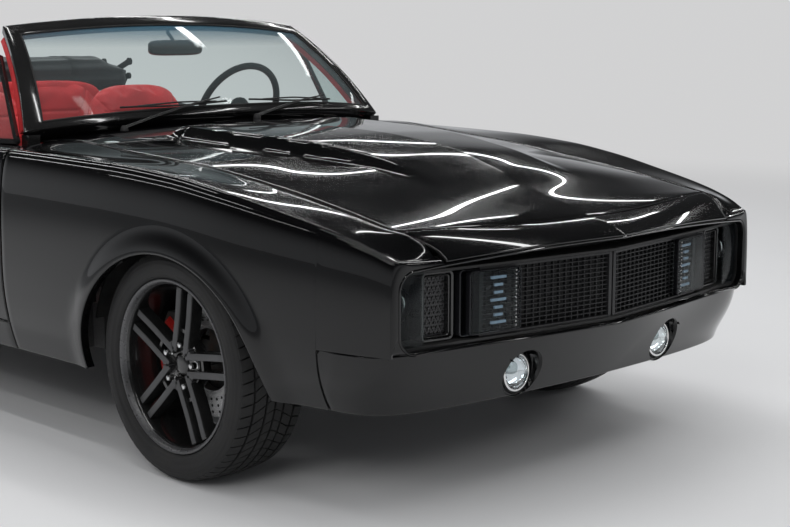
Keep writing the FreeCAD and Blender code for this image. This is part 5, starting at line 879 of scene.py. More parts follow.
def tail_place(low, high, inset=11.0, proud=0.0):
    """Place function of the tail's face: u is a distance across, stretched near the ends."""
    def place(u, v):
        z = low + (high - low) * v
        y = tail_face_y(u, z)
        half = flank_x(np.minimum(y, TAIL_Y), z) - inset
        far = np.abs(u)
        x = np.where(far <= 720, far, 720 + (far - 720) * (half - 720) / 100)
        x = np.sign(u) * x
        return x, tail_face_y(x, z) + proud, z
    return place


def tail_top_place(u, v):
    start = axle(LID_REAR) + GAP
    x = u * (seam_x(TAIL_Y) - 0.8)
    z1 = crown_z(TAIL_Y) - 29.0
    end = tail_face_y(x, z1) - 0.5
    y = start + (end - start) * v
    z0 = top_z(x, start)
    return x, y, z0 + (z1 - z0) * (0.25 * v + 0.75 * v ** 2.2)


def tail_corners():
    """The rounded end of a quarter panel, turned in to the tail's face."""
    rows = []
    for z in np.linspace(float(bottom_z(TAIL_Y)) + 1, float(crown_z(TAIL_Y)) - 12, 60):
        x0 = float(flank_x(TAIL_Y, z)) - 4.0
        depth = TAIL_Y - float(tail_face_y(x0, z))
        x1 = x0 - 26 - 0.40 * depth
        a, b = np.array([x0, TAIL_Y - 0.6, z]), np.array([x1, float(tail_face_y(x1, z)) + 1.0, z])
        turn = np.array([x0 * 0.62 + x1 * 0.38, TAIL_Y - 0.7 - 0.10 * depth, z])
        rows.append([a * (1 - t) ** 2 + turn * 2 * t * (1 - t) + b * t * t for t in np.linspace(0, 1, 14)])
    outer = np.array(rows)
    return close_grids(outer, outer - np.array([0.0, 4.0, 0.0]), not tends_to(outer, 1))


def build_rear():
    skin = panel_arrays(tail_top_place, np.linspace(-1, 1, 61), np.linspace(0, 1, 14), 1240.0, 80.0, 8.0, 3.0,
                        (0, 0.3, 1))
    single("tail_top_skin", "paint", "body", skin, 30.0)
    pair("tail_corner", "paint", "body", tail_corners(), 40)
    skin = panel_arrays(deck_place(axle(DECK_FRONT), axle(LID_FRONT) - GAP, 0.8), np.linspace(-1, 1, 61),
                        np.linspace(0, 1, 22), 1300.0, 324.0, 9.0, 3.5, (0, 0, 1))
    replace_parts(single("deck_skin", "paint", "body", skin, 30.0), "rear_deck")
    skin = panel_arrays(deck_place(axle(LID_FRONT), axle(LID_REAR), GAP), np.linspace(-1, 1, 61),
                        np.linspace(0, 1, 50), 1200.0, 818.0, 15.0, 4.0, (0, 0, 1))
    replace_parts(single("trunk_skin", "paint", "trunk_lid", skin, 30.0), "trunk_lid")
    bars = [LAMP_X - LAMP_HALF, LAMP_X - LAMP_BAR / 2, LAMP_X + LAMP_BAR / 2, LAMP_X + LAMP_HALF]
    across = np.unique(np.round(np.concatenate([np.linspace(0, 820, 42), bars]), 3))
    across = np.concatenate([-across[:0:-1], across])
    low, high = TAIL_SPLIT + 0.3, crown_z(TAIL_Y) - 30
    rows = np.unique(np.concatenate([np.linspace(low, high, 24), [LAMP_LOW, LAMP_HIGH]]))

    def lamp_holes(x, y, z):
        far = np.abs(np.abs(x) - LAMP_X)
        return (far < LAMP_HALF) & (far > LAMP_BAR / 2) & (z > LAMP_LOW) & (z < LAMP_HIGH)
    skin = panel_arrays(tail_place(low, high), across, (rows - low) / (high - low), 1640.0, 215.0, 14.0, 3.0,
                        (0, 1, 0), cut=lamp_holes)
    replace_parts(single("tail_skin", "paint", "body", skin, 34.0), "tail_panel")
    low = float(bottom_z(TAIL_Y))
    skin = panel_arrays(tail_place(low, TAIL_SPLIT), np.linspace(-820, 820, 165), np.linspace(0, 1, 34), 1640.0,
                        265.0, 14.0, 3.5, (0, 1, 0), holes=[(-PIPE_X, PIPE_Z, PIPE_R), (PIPE_X, PIPE_Z, PIPE_R)])
    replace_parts(single("roll_pan_skin", "paint", "body", skin, 34.0), "rear_roll_pan")


# ---- wheels and tyres ----

WHEEL_X, TYRE_R = 748.0, 323.0
CROWN_DROP, CROWN_HALF = 9, 101.5
FLANGE_R, FLANGE_X = 226.5, 92.0
DISC_HOLE_RINGS, DISC_HOLES = (112.0, 130.0, 148.0), 30
SPOKE_FACE, HUB_FACE = 82.0, 66.0
AXLES = (("front", FRONT_AXLE_Y), ("rear", REAR_AXLE_Y))


def repeat_tree():
    """Geometry Nodes tree that repeats its input in even turns about an axis through the origin."""
    tree = bpy.data.node_groups.new("repeat_round", "GeometryNodeTree")
    tree.interface.new_socket("Geometry", in_out="INPUT", socket_type="NodeSocketGeometry")
    for name, kind in (("Count", "NodeSocketInt"), ("First turn", "NodeSocketFloat"),
                       ("Turn step", "NodeSocketFloat"), ("Axis", "NodeSocketVector"),
                       ("Shift step", "NodeSocketVector"), ("Material", "NodeSocketMaterial")):
        tree.interface.new_socket(name, in_out="INPUT", socket_type=kind)
    tree.interface.new_socket("Geometry", in_out="OUTPUT", socket_type="NodeSocketGeometry")
    made = {}
    for key, kind in (("start", "NodeGroupInput"), ("end", "NodeGroupOutput"), ("points", "GeometryNodePoints"),
                      ("index", "GeometryNodeInputIndex"), ("turn", "ShaderNodeMath"),
                      ("axis", "ShaderNodeVectorMath"), ("shift", "ShaderNodeVectorMath"),
                      ("move", "GeometryNodeSetPosition"), ("copies", "GeometryNodeInstanceOnPoints"),
                      ("real", "GeometryNodeRealizeInstances"), ("finish", "GeometryNodeSetMaterial")):
        made[key] = tree.nodes.new(kind)
    made["turn"].operation = "MULTIPLY_ADD"
    made["axis"].operation = made["shift"].operation = "SCALE"
    for giver, leaving, taker, entering in (
            ("start", "Count", "points", "Count"),
            ("index", 0, "turn", 0),
            ("start", "Turn step", "turn", 1),
            ("start", "First turn", "turn", 2),
            ("start", "Axis", "axis", 0),
            ("turn", 0, "axis", "Scale"),
            ("start", "Shift step", "shift", 0),
            ("index", 0, "shift", "Scale"),
            ("points", 0, "move", "Geometry"),
            ("shift", 0, "move", "Offset"),
            ("move", 0, "copies", "Points"),
            ("start", "Geometry", "copies", "Instance"),
            ("axis", 0, "copies", "Rotation"),
            ("copies", 0, "real", 0),
            ("real", 0, "finish", "Geometry"),
            ("start", "Material", "finish", "Material"),
            ("finish", 0, "end", 0)):
        tree.links.new(made[giver].outputs[leaving], made[taker].inputs[entering])
    return tree


def node_inputs(modifier, **values):
    """Sets a Geometry Nodes modifier's inputs by their sockets' identifiers."""
    for item in modifier.node_group.interface.items_tree:
        key = item.name.replace(" ", "_").lower()
        if item.item_type == "SOCKET" and item.in_out == "INPUT" and key in values:
            modifier[item.identifier] = values[key]


def settle(obj):
    """Turns an object's modifiers into a plain mesh."""
    graph = bpy.context.evaluated_depsgraph_get()
    mesh = bpy.data.meshes.new_from_object(obj.evaluated_get(graph), depsgraph=graph)
    obj.modifiers.clear()
    obj.data = mesh
    return obj


def repeated(name, part, material, count, axis=(1, 0, 0), first=0.0, step=None, shift=(0, 0, 0)):
    """Points and faces of a unit repeated by the Geometry Nodes tree (metres inside, millimetres outside)."""
    tree = bpy.data.node_groups.get("repeat_round") or repeat_tree()
    unit = mesh_object(name, part[0], part[1], None, None)
    modifier = unit.modifiers.new("repeat", "NODES")
    modifier.node_group = tree
    node_inputs(modifier, count=count, first_turn=first, turn_step=2 * math.pi / count if step is None else step,
                axis=axis, shift_step=tuple(s * MM for s in shift), material=material)
    settle(unit)
    mesh = unit.data
    points, faces = vertex_places(mesh) / MM, [list(p.vertices) for p in mesh.polygons]
    bpy.data.objects.remove(unit)
    bpy.data.meshes.remove(mesh)
    return points, faces


def swept(rows, closed_ends=True):
    """A solid through like sections given as an array (rows, points, 3)."""
    rows = np.asarray(rows, float)
    n, k = rows.shape[:2]
    faces = [[i * k + j, (i + 1) * k + j, (i + 1) * k + (j + 1) % k, i * k + (j + 1) % k]
             for i in range(n - 1) for j in range(k)]
    if closed_ends:
        faces += [list(range(k)), [(n - 1) * k + j for j in range(k)][::-1]]
    return rows.reshape(-1, 3), faces


def spoke_bar(offset, start, end, section, lift=0.0):
    """One bar of a spoke pair standing up from the hub: section is (across, out) points."""
    rows = []
    for t in np.linspace(0, 1, 12):
        r = start + (end - start) * t
        out = lift * smooth((t - 0.55) / 0.45)
        rows.append([(x + out, offset + a, r) for a, x in section])
    return swept(rows)


def rim_profile():
    return [(104.5, 242), (107.2, 241), (108.0, 238.5), (107.4, 235.5), (105, 232.6), (100.5, 229.8),
            (96.5, 228.4), (94.0, 226.8), (90, 224.0), (84, 221.9), (60, 220.0), (0, 217.5), (-60, 215.5),
            (-92, 217.5), (-103, 223), (-107.5, 233), (-107.5, 240), (-104, 242), (-100, 241), (-98.8, 229.4),
            (98.8, 229.4), (100, 241)]


def pocketed_hub():
    """The hub's black body with a domed centre cap."""
    return lathe([(20, 0.01), (20, 66), (28, 75), (HUB_FACE - 3, 75), (HUB_FACE, 72), (HUB_FACE, 34),
                  (HUB_FACE - 9, 32), (HUB_FACE - 9, 30.5), (HUB_FACE - 1, 30), (HUB_FACE + 3, 27.5),
                  (HUB_FACE + 5.5, 20), (HUB_FACE + 6.5, 10), (HUB_FACE + 6.8, 0.01)], "X", 72)


def lug_nut(radius=60.3):
    """A conical wheel nut standing on the hub at the top of the circle of nuts."""
    profile = [(HUB_FACE - 2, 0.01), (HUB_FACE - 2, 12.5), (HUB_FACE + 1.5, 12.5), (HUB_FACE + 2.5, 9.6),
               (HUB_FACE + 16, 9.2), (HUB_FACE + 19.5, 7.6), (HUB_FACE + 21, 4.5), (HUB_FACE + 21.4, 0.01)]
    return moved(lathe(profile, "X", 6), (0, 0, radius))


def brake_disc():
    return lathe([(-56, 88), (-56, 162), (-54.6, 164), (-47, 164), (-46, 160), (-38, 160), (-37, 164),
                  (-29.4, 164), (-28, 162), (-28, 88)], "X", 96)


# A near-black puck on the disc's face where a hole is drilled: painted shade standing in for the hole
def hole_shade_puck(radius):
    return moved(lathe([(-27.6, 0.01), (-27.6, 4.2), (-30, 4.2), (-30, 0.01)], "X", 10), (0, 0, radius))


def place_wheel(parts, y):
    return moved(join_arrays(parts) if isinstance(parts, list) else parts, (WHEEL_X, y, TYRE_R))


def tyre_carcass():
    profile = [(98.7, 229.9), (98.9, 242.7), (104, 243.6), (108.5, 246.5), (112.2, 250.5), (113.6, 252.6),
               (113.2, 255.2), (115.2, 260), (116.6, 264.6), (117.4, 265.2), (117.9, 270), (118.0, 275),
               (117.7, 281), (117.0, 286), (116.7, 286.4), (116.0, 291), (114.9, 295.6), (114.1, 296.0),
               (112.6, 300), (110.4, 304), (107.4, 307.6), (102.5, 309.4), (96, 309.6)]
    crown = [(x, TYRE_R - 7.6 - CROWN_DROP * (x / CROWN_HALF) ** 2) for x in np.linspace(88, -88, 15)]
    other = [(-x, r) for x, r in profile[::-1]]
    return lathe(profile + crown + other, "X", 120)


def tread_block(x0, x1, t0, t1, slant, depth=7.4):
    """One block of tread on the crown: t is the distance round the tyre, slanted with x."""
    rows_top, rows_low = [], []
    xs = np.linspace(x0, x1, 4)
    for x in xs:
        r = TYRE_R - CROWN_DROP * (min(abs(x), CROWN_HALF) / CROWN_HALF) ** 2 - max(0, abs(x) - 97) ** 2 * 0.035
        shift = slant(abs(x))
        for rows, radius, shrink in ((rows_top, r, 0.5), (rows_low, r - depth, 0.0)):
            a0, a1 = (shift + t0 + shrink) / TYRE_R, (shift + t1 - shrink) / TYRE_R
            am = (a0 + a1) / 2
            rows.append([(x, -radius * math.sin(a), radius * math.cos(a)) for a in (a0, am, a1)])
    top, low = np.array(rows_top), np.array(rows_low)
    inner = top.copy()
    inner[0, :, 0] += 0.6 * (1 if x1 > x0 else -1)
    inner[-1, :, 0] -= 0.6 * (1 if x1 > x0 else -1)
    return close_grids(inner, low, x1 <= x0)


def tread_unit(pitch):
    groove = 3.6

    def slant(x):
        return 62.0 * (x / 104.0) ** 1.25

    parts = []
    for side in (1, -1):
        parts.append(tread_block(side * 3.0, side * 27.0, 0, pitch - groove * 0.55, slant))
        parts.append(tread_block(side * 33.5, side * 67.0, 2.5, pitch + 2.5 - groove, slant))
        parts.append(tread_block(side * 73.5, side * 107.0, 0, pitch - groove, lambda x: slant(73.5) + (x - 73.5)
                                 * 0.22))
    return join_arrays(parts)


def build_wheels(settings):
    turn = math.radians(settings.spoke_turn)
    pairs = settings.spoke_pairs
    side_section = [(-12.5, SPOKE_FACE - 36), (-10.6, SPOKE_FACE - 3.2), (-9.2, SPOKE_FACE - 0.9),
                    (9.2, SPOKE_FACE - 0.9), (10.6, SPOKE_FACE - 3.2), (12.5, SPOKE_FACE - 36)]
    face_section = [(-9.4, SPOKE_FACE - 1.4), (-9.0, SPOKE_FACE - 0.1), (-8.6, SPOKE_FACE), (8.6, SPOKE_FACE),
                    (9.0, SPOKE_FACE - 0.1), (9.4, SPOKE_FACE - 1.4)]
    offset = 25.0
    bars = [spoke_bar(s * offset, 36.0, 217.0, side_section, 3.0) for s in (-1, 1)]
    bridge = prism([(SPOKE_FACE - 34, -offset, 94), (SPOKE_FACE - 9, -offset, 94), (SPOKE_FACE - 9, -offset, 104),
                    (SPOKE_FACE - 34, -offset, 104)], (0, 2 * offset, 0))
    faces = [spoke_bar(s * offset, 37.5, 214.0, face_section, 3.0) for s in (-1, 1)]
    half = math.pi / pairs
    near, far = 40.0, 74.0
    flat = [(r * math.sin(a), r * math.cos(a)) for r, a in ((near, math.asin(offset / near)), (near, half - 0.02),
                                                            (far - 4, half - 0.02),
                                                            (far, math.asin(offset / far)))]
    web = [prism([(SPOKE_FACE - 30, s * a, b) for a, b in flat], (29.6, 0, 0)) for s in (-1, 1)]
    sides = repeated("spoke_sides", join_arrays(bars + [bridge]), FINISH["rim_black"], pairs, first=turn)
    fronts = repeated("spoke_fronts", join_arrays(faces + web), FINISH["spoke_grey"], pairs, first=turn)
    nuts = repeated("nuts", lug_nut(), FINISH["chrome"], pairs, first=turn)
    # near-black pucks on the disc's face: painted shade for its drilled holes
    holes = [repeated("holes", hole_shade_puck(r), FINISH["shade"], DISC_HOLES, first=r) for r in DISC_HOLE_RINGS]
    barrel = lathe(rim_profile(), "X", 160)
    tread = repeated("tread", tread_unit(2 * math.pi * TYRE_R / settings.tread_pitches), FINISH["rubber"],
                     settings.tread_pitches)
    carcass = tyre_carcass()
    for end, y in AXLES:
        body = "wheel_" + end + "_left"
        rims = pair("rim_" + end, "rim_black", body, place_wheel([barrel, pocketed_hub()], y), 40)
        for rim, side in zip(rims, ("left", "right")):
            rim.data.materials.append(FINISH["flange_grey"])
            for poly in rim.data.polygons:
                c = poly.center / MM
                reach = math.hypot(c.y - y, c.z - TYRE_R)
                if reach > FLANGE_R and abs(c.x) > WHEEL_X + FLANGE_X:
                    poly.material_index = 1
            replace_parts(rim, "wheel_" + end + "_" + side)
        pair("spokes_" + end, "rim_black", body, place_wheel(sides, y), 35)
        pair("spoke_faces_" + end, "spoke_grey", body, place_wheel(fronts, y), 35)
        pair("wheel_nuts_" + end, "chrome", body, place_wheel(nuts, y), 30)
        pair("brake_disc_" + end, "disc_steel", body, place_wheel(brake_disc(), y), 35)
        pair("disc_holes_" + end, "shade", body, place_wheel(holes, y), 35)
        for tyre, side in zip(pair("tyre_" + end + "_wall", "sidewall", body, place_wheel(carcass, y), 50),
                              ("left", "right")):
            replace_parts(tyre, "tyre_" + end + "_" + side)
        pair("tyre_" + end + "_tread", "rubber", body, place_wheel(tread, y), 25)
    for end, y in AXLES:
        carrier = "knuckle_left" if end == "front" else "body"
        pair("caliper_" + end, "caliper_red", carrier, place_wheel(caliper_shell(), y), 35)


def caliper_shell():
    """Painted caliper over the disc's edge."""
    rows = []
    section = [(-11.5, 166), (-11.5, 150), (-9, 132), (-9, 126), (-4, 122), (2, 124), (5, 134), (6, 150),
               (5.5, 178), (2, 192), (-8, 199), (-30, 202), (-64, 202), (-70, 198), (-70, 190), (-60, 188),
               (-24, 187), (-13, 183)]
    for a in np.linspace(-33, 33, 23):
        swell = 1.0 - 0.05 * (abs(a) / 33) ** 4
        rows.append([(x, r * swell * math.cos(math.radians(a)), r * swell * math.sin(math.radians(a)))
                     for x, r in section])
    return swept(rows)


# ---- nose: grille, lamps and fog lamps ----

GRILLE_BACK = 110.0
HEADLAMP_X, HEADLAMP_Z = 690, 566
MESH_HALF, MESH_LOW, MESH_HIGH = 462.0, 472.0, 640.0


def opening_outline(shrink, corner=12, flat=22):
    """The grille opening's outline as (x, z) points, counter-clockwise from its lower right."""
    half, low, high = LIP_SIDE_X - shrink, LIP_BOTTOM + shrink, LIP_TOP_CORNER - shrink
    radius = 52.0 - shrink
    points = []
    for a in np.linspace(-math.pi / 2, 0, corner):
        points.append((half - radius + radius * math.cos(a), low + radius + radius * math.sin(a)))
    for a in np.linspace(0, math.pi / 2, corner):
        points.append((half - radius + radius * math.cos(a), high - radius + radius * math.sin(a)))
    rise = LIP_TOP - LIP_TOP_CORNER
    for x in np.linspace(half - radius, 0, flat)[1:]:
        t = x / (half - radius)
        points.append((x, high + rise * (1 - t * t)))
    mirror = [(-x, z) for x, z in points[::-1] if x > 1e-6]
    return np.array(points + mirror)


def opening_ring(sections):
    """A closed ring round the opening: sections are (shrink, behind the lip) pairs."""
    rings = []
    for shrink, behind in sections:
        flat = opening_outline(shrink)
        rings.append(np.stack([flat[:, 0], lip_y(flat[:, 0]) + behind, flat[:, 1]], axis=1))
    return ring_faces(rings)


def behind_lip(x, back):
    return float(lip_y(x)) + back


def grille_bars(half_from, half_to, columns, rows, back, size):
    """Upright and level bars of one half of the grille, bent to the nose's sweep."""
    parts = []
    pitch = (half_to - half_from) / columns
    for k in range(columns + 1):
        x = half_from + k * pitch
        y = behind_lip(x, back)
        parts.append(prism([(x - size / 2, y, MESH_LOW), (x + size / 2, y, MESH_LOW),
                            (x + size / 2, y + 8, MESH_LOW), (x - size / 2, y + 8, MESH_LOW)],
                           (0, 0, MESH_HIGH - MESH_LOW)))
    level = []
    for x in np.linspace(half_from, half_to, 5):
        y = behind_lip(x, back)
        level.append([(x, y - 1.2, MESH_LOW - size / 2), (x, y + 7, MESH_LOW - size / 2),
                      (x, y + 7, MESH_LOW + size / 2), (x, y - 1.2, MESH_LOW + size / 2)])
    bar = swept(level)
    stacked = repeated("level_bars", bar, None, rows + 1, step=0.0, shift=(0, 0, (MESH_HIGH - MESH_LOW) / rows))
    return join_arrays(parts + [stacked])


def rounded_frame(x0, x1, z0, z1, radius, width, depth, back, steps=6):
    """A rounded rectangular bezel standing at a depth behind the lip."""
    def outline(inset):
        r = max(1.0, radius - inset)
        points = []
        for cx, cz, start in ((x1 - inset - r, z0 + inset + r, -90), (x1 - inset - r, z1 - inset - r, 0),
                              (x0 + inset + r, z1 - inset - r, 90), (x0 + inset + r, z0 + inset + r, 180)):
            for a in np.linspace(start, start + 90, steps):
                points.append((cx + r * math.cos(math.radians(a)), cz + r * math.sin(math.radians(a))))
        return points
    rows = []
    for inset, push in ((0, depth), (0, 1.5), (1.5, 0), (width - 1.5, 0), (width, 1.5), (width, depth)):
        rows.append([(x, behind_lip(x, back + push), z) for x, z in outline(inset)])
    return ring_faces(rows)


def curved_plate(x0, x1, z0, z1, back, thickness, bulge_out=0.0, columns=14, rows=10):
    """A plate that follows the nose's sweep, with an optional crown."""
    xs, zs = np.linspace(x0, x1, columns), np.linspace(z0, z1, rows)
    x, z = np.meshgrid(xs, zs, indexing="ij")
    u, w = (x - x0) / (x1 - x0) * 2 - 1, (z - z0) / (z1 - z0) * 2 - 1
    y = lip_y(x) + back - bulge_out * (1 - u ** 2) * (1 - w ** 2)
    outer = np.stack([x, y, z], axis=2)
    inner = outer + np.array([0, thickness, 0])
    flip = tends_to(outer, 1)
    return close_grids(outer, inner, flip)


def turned(profile, x, y, z, steps=64):
    """A turned piece facing the nose: profile is (ahead, radius) pairs, ahead towards the nose."""
    return moved(lathe([(-a, r) for a, r in profile], "Y", steps), (x, y, z))


def fender_tip():
    """The fender's nose, from the edge of its skin round to the grille's lip."""
    side = side_place(fender_low)
    y0 = axle(FENDER_NOSE)
    near = [[float(c) for c in side(np.array(y0 + 1.5), np.array(v))] for v in
            np.concatenate([np.linspace(0.0, STRIP, 18), np.linspace(STRIP, 1.0, 47)[1:]])]
    us = np.linspace(0, 1, 600)
    vx, vy, vz = valance_place(us, np.zeros(us.shape))
    for x in np.linspace(766, 692, 14)[1:]:
        near.append([x, float(np.interp(x, vx, vy)) + 2.0, LIP_BOTTOM + 0.2])
    flat = opening_outline(-1.4, 24, 60)
    flat = flat[flat[:, 0] > 0]
    corner = LIP_SIDE_X - 52.0

    def along(points, count):
        points = np.array(points)
        run = np.concatenate([[0], np.cumsum(np.hypot(*np.diff(points, axis=0).T))])
        at = np.linspace(0, run[-1], count)
        return np.stack([np.interp(at, run, points[:, k]) for k in (0, 1)], axis=1)
    top = [p for p in flat[::-1] if p[1] > 560 and 605.6 <= p[0] <= corner]
    down = [p for p in flat[::-1] if p[0] > corner and p[1] > LIP_BOTTOM + 50.0]
    under = [p for p in flat[::-1] if p[1] < LIP_BOTTOM + 52.0 and p[0] >= corner - 1.0]
    far = np.concatenate([along(top, 18), along(down, 47)[1:], along(under, 14)[1:]])
    rows = []
    for a, (x, z) in zip(near, far):
        a, b = np.array(a), np.array([x, float(lip_y(x)) + 2.0, z])
        mid = np.array([(a[0] * 0.75 + b[0] * 0.25), min(a[1], b[1]) + 0.5, (a[2] * 0.8 + b[2] * 0.2)])
        if a[2] < LIP_BOTTOM + 1:
            mid = (a + b) / 2
        rows.append([a * (1 - t) ** 2 + mid * 2 * t * (1 - t) + b * t * t for t in np.linspace(0, 1, 9)])
    outer = np.array(rows)
    inward = np.stack([np.full(outer.shape[:2], -2.0), np.full(outer.shape[:2], 5.0),
                       np.full(outer.shape[:2], -2.0)], axis=2)
    return close_grids(outer, outer + inward, not tends_to(outer, 2))


def build_grille(settings):
    pair("fender_tip", "paint", "body", fender_tip(), 40)
    lip = opening_ring([(-1.0, 26), (-1.0, 6), (0.2, 2), (2.4, 0.4), (5.2, 1.2), (7.6, 4.5), (8.6, 10),
                        (8.6, 26)])
    single("grille_lip", "paint", "body", lip, 40)
    tunnel = opening_ring([(1.0, 24), (8.9, 24), (10.5, 60), (14.0, GRILLE_BACK), (1.0, GRILLE_BACK)])
    plate = curved_plate(-738, 738, 458, 684, GRILLE_BACK - 1, 8.0, columns=31)
    surround = single("grille_tunnel", "satin_black", "body", [tunnel, plate], 35)
    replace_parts(surround, "grille_surround")
    cells = grille_bars(9.0, MESH_HALF, settings.grille_columns, settings.grille_rows, 44, settings.grille_bar)
    edge = []
    for x in (9.0, MESH_HALF):
        y = behind_lip(x, 38)
        edge.append(prism([(x - 6, y, MESH_LOW - 5), (x + 6, y, MESH_LOW - 5), (x + 6, y + 20, MESH_LOW - 5),
                           (x - 6, y + 20, MESH_LOW - 5)], (0, 0, MESH_HIGH - MESH_LOW + 10)))
    for z in (MESH_LOW - 6, MESH_HIGH - 1):
        rows = [[(x, behind_lip(x, 38), z), (x, behind_lip(x, 58), z), (x, behind_lip(x, 58), z + 7),
                 (x, behind_lip(x, 38), z + 7)] for x in np.linspace(4, MESH_HALF + 6, 9)]
        edge.append(swept(rows))
    right = mirror_x(*join_arrays([cells] + edge))
    grid = single("grille_grid", "grid_black", "body", [cells] + edge + [right], 30)
    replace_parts(grid, "grille_mesh")
    shelf = []
    for low, high in ((458, 468), (646, 656)):
        rows = []
        for x in np.linspace(-728, 728, 41):
            y, rear = behind_lip(x, 30), behind_lip(x, GRILLE_BACK - 4)
            rows.append([(x, y, low + 2), (x, y + 3, low), (x, rear, low), (x, rear, high), (x, y + 3, high),
                         (x, y, high - 2)])
        shelf.append(swept(rows))
    single("grille_shelves", "satin_black", "body", shelf, 35)


def build_nose_lamps():
    bezel = [rounded_frame(541, 640, 470, 646, 14, 7, 44, 46), rounded_frame(550, 631, 480, 636, 9, 3.5, 20, 50)]
    pair("pod_bezel", "gloss_trim", "body", bezel, 35)
    face = curved_plate(548, 633, 477, 639, 66, 10.0)
    pair("pod_face", "dotted_mesh", "body", face, 35)
    dome, faces = lathe([(0.0, 0.01), (0.3, 2.4), (1.6, 3.4), (4.0, 3.8), (4.0, 0.01)], "Y", 10)
    studs = []
    for row in range(12):
        for column in range(6):
            x = 558 + column * 13.2 + (6.6 if row % 2 else 0)
            if x < 628:
                studs.append(moved((dome, faces), (x, behind_lip(x, 62.5), 489 + row * 12.6)))
    pair("pod_studs", "gloss_trim", "body", studs, 40)
    lens = curved_plate(345, 506, 480, 636, 24, 4.0, 3.0)
    pair("side_lamp_lens", "smoked_lens", "body", lens, 45)
    bars = []
    for k, z in enumerate(np.linspace(500, 616, 7)):
        wide = 13 if k % 3 else 24
        bars.append(curved_plate(408 - wide, 408 + wide, z - 3.6, z + 3.6, 33, 5.0, 1.5, 8, 5))
    pair("side_lamp_bars", "ice_bar", "body", bars, 35)
    pair("side_lamp_bowl", "lamp_bowl", "body",
         [rounded_frame(462, 528, 472, 644, 10, 5, 60, 40), curved_plate(466, 524, 476, 640, 96, 4.0),
          rounded_frame(341, 510, 476, 640, 10, 4, 14, 24)], 35)
    beads = [moved((dome * 0.62, faces), (360.0, behind_lip(360, 22.5), 488 + k * 10.2)) for k in range(15)]
    pair("side_lamp_beads", "chrome", "body", beads, 40)
    cover = curved_plate(646, 737, 466, 654, 30, 4.0, 7.0)
    pair("headlamp_cover", "smoked_lens", "body", cover, 45)
    y = behind_lip(HEADLAMP_X, GRILLE_BACK)
    bowl = [(-2, 0.01), (-2, 47), (34, 47), (38, 45.5), (38, 43.5), (30, 41), (16, 35), (8, 26), (4, 12),
            (3, 0.01)]
    lamps = pair("headlamp_bowl", "lamp_bowl", "body", turned(bowl, HEADLAMP_X, y, HEADLAMP_Z), 35, "lamp_glass")
    ball = [(6, 0.01), (6, 27), (26, 27), (30, 25.5), (37, 21), (42, 13.5), (44, 6), (44.4, 0.01)]
    pair("headlamp_projector", "clear_lens", "body", turned(ball, HEADLAMP_X, y, HEADLAMP_Z), 40)
    ring = [(30, 28), (31.5, 30.5), (34, 31), (35.5, 29), (34, 27.2), (31, 27)]
    pair("headlamp_ring", "chrome", "body", turned(ring, HEADLAMP_X, y, HEADLAMP_Z), 40)
    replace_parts(lamps[0], "nose_lamps")


def build_fogs():
    us = np.linspace(0.0, 1.0, 900)
    rings = []
    angle = np.linspace(0, 2 * math.pi, 72, endpoint=False)
    x, z = FOG_X + FOG_R * np.cos(angle), FOG_Z + FOG_R * np.sin(angle)
    surface = []
    for px, pz in zip(x, z):
        sx, sy, _ = valance_place(us, np.full(us.shape, (pz - LIP_BOTTOM) / (VALANCE_BOTTOM - LIP_BOTTOM)))
        surface.append(np.interp(px, sx, sy))
    surface = np.array(surface)
    front = axle(-776.0)
    for radius, share, push in ((66.4, 0.0, 8.0), (66.2, 0.0, 2.0), (65.0, 0.0, 0.4), (63.5, 0.0, 2.2),
                                (62.0, 0.4, 4), (59.5, 0.9, 4), (56.0, 1.0, 9), (52.6, 1.0, 12), (53.0, 1.0, 30),
                                (66.4, 1.0, 36)):
        y = surface * (1 - share) + front * share + push
        rings.append(np.stack([FOG_X + radius * np.cos(angle), y, FOG_Z + radius * np.sin(angle)], axis=1))
    collars = pair("fog_collar", "paint", "body", ring_faces(rings), 40)
    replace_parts(collars[0], "fog_lamps")
    y = front + 11
    ring = [(8, 44.5), (10, 46), (10.6, 48.6), (9.4, 51.2), (2, 52.4), (-4, 52.4), (-4, 44.5)]
    pair("fog_ring", "chrome", "body", turned(ring, FOG_X, y, FOG_Z), 40)
    lens = [(2, 45.2), (6, 44.8), (9, 40), (12.5, 28), (14.6, 14), (15.2, 0.01), (12.0, 0.01), (6.5, 40), (2, 42)]
    pair("fog_lens", "clear_lens", "body", turned(lens, FOG_X, y, FOG_Z), 45)
    bowl = [(1, 44.8), (-6, 42), (-14, 34), (-19, 22), (-21, 0.01), (-26, 0.01), (-24, 30), (-10, 48), (0, 48)]
    pair("fog_reflector", "reflector", "body", turned(bowl, FOG_X, y, FOG_Z), 40)
    eye = [(-18, 0.01), (-18, 17), (-6, 17), (-3, 15.5), (0.5, 10), (2, 0.01)]
    pair("fog_eye", "smoked_lens", "body", turned(eye, FOG_X, y, FOG_Z + 9), 40)


# ---- windscreen, air intake, wipers, mirror, tail lamps ----

SIDE_SHARE, LOW_SHARE, HIGH_SHARE = 0.925, 0.06, 0.885


def screen_place(u, v, deep=0.0):
    """The windscreen's surface; deep moves a point in along the surface's slope."""
    low = (SCREEN_HALF * u, screen_base_y(u), 952.0 - 40.0 * np.abs(u) ** 2.5)
    high = (SCREEN_TOP_HALF * u, axle(1160.0) + 46.0 * u * u, 1274.0 - 36.0 * u * u)
    swell = 26.0 * 4 * v * (1 - v)
    x = low[0] + (high[0] - low[0]) * v
    y = low[1] + (high[1] - low[1]) * v - swell * math.sqrt(0.5)
    z = low[2] + (high[2] - low[2]) * v + swell * math.sqrt(0.5)
    return x, y + deep * 0.62, z - deep * 0.78


def screen_point(u, v, deep):
    return [float(c) for c in screen_place(np.array(u), np.array(v), deep)]


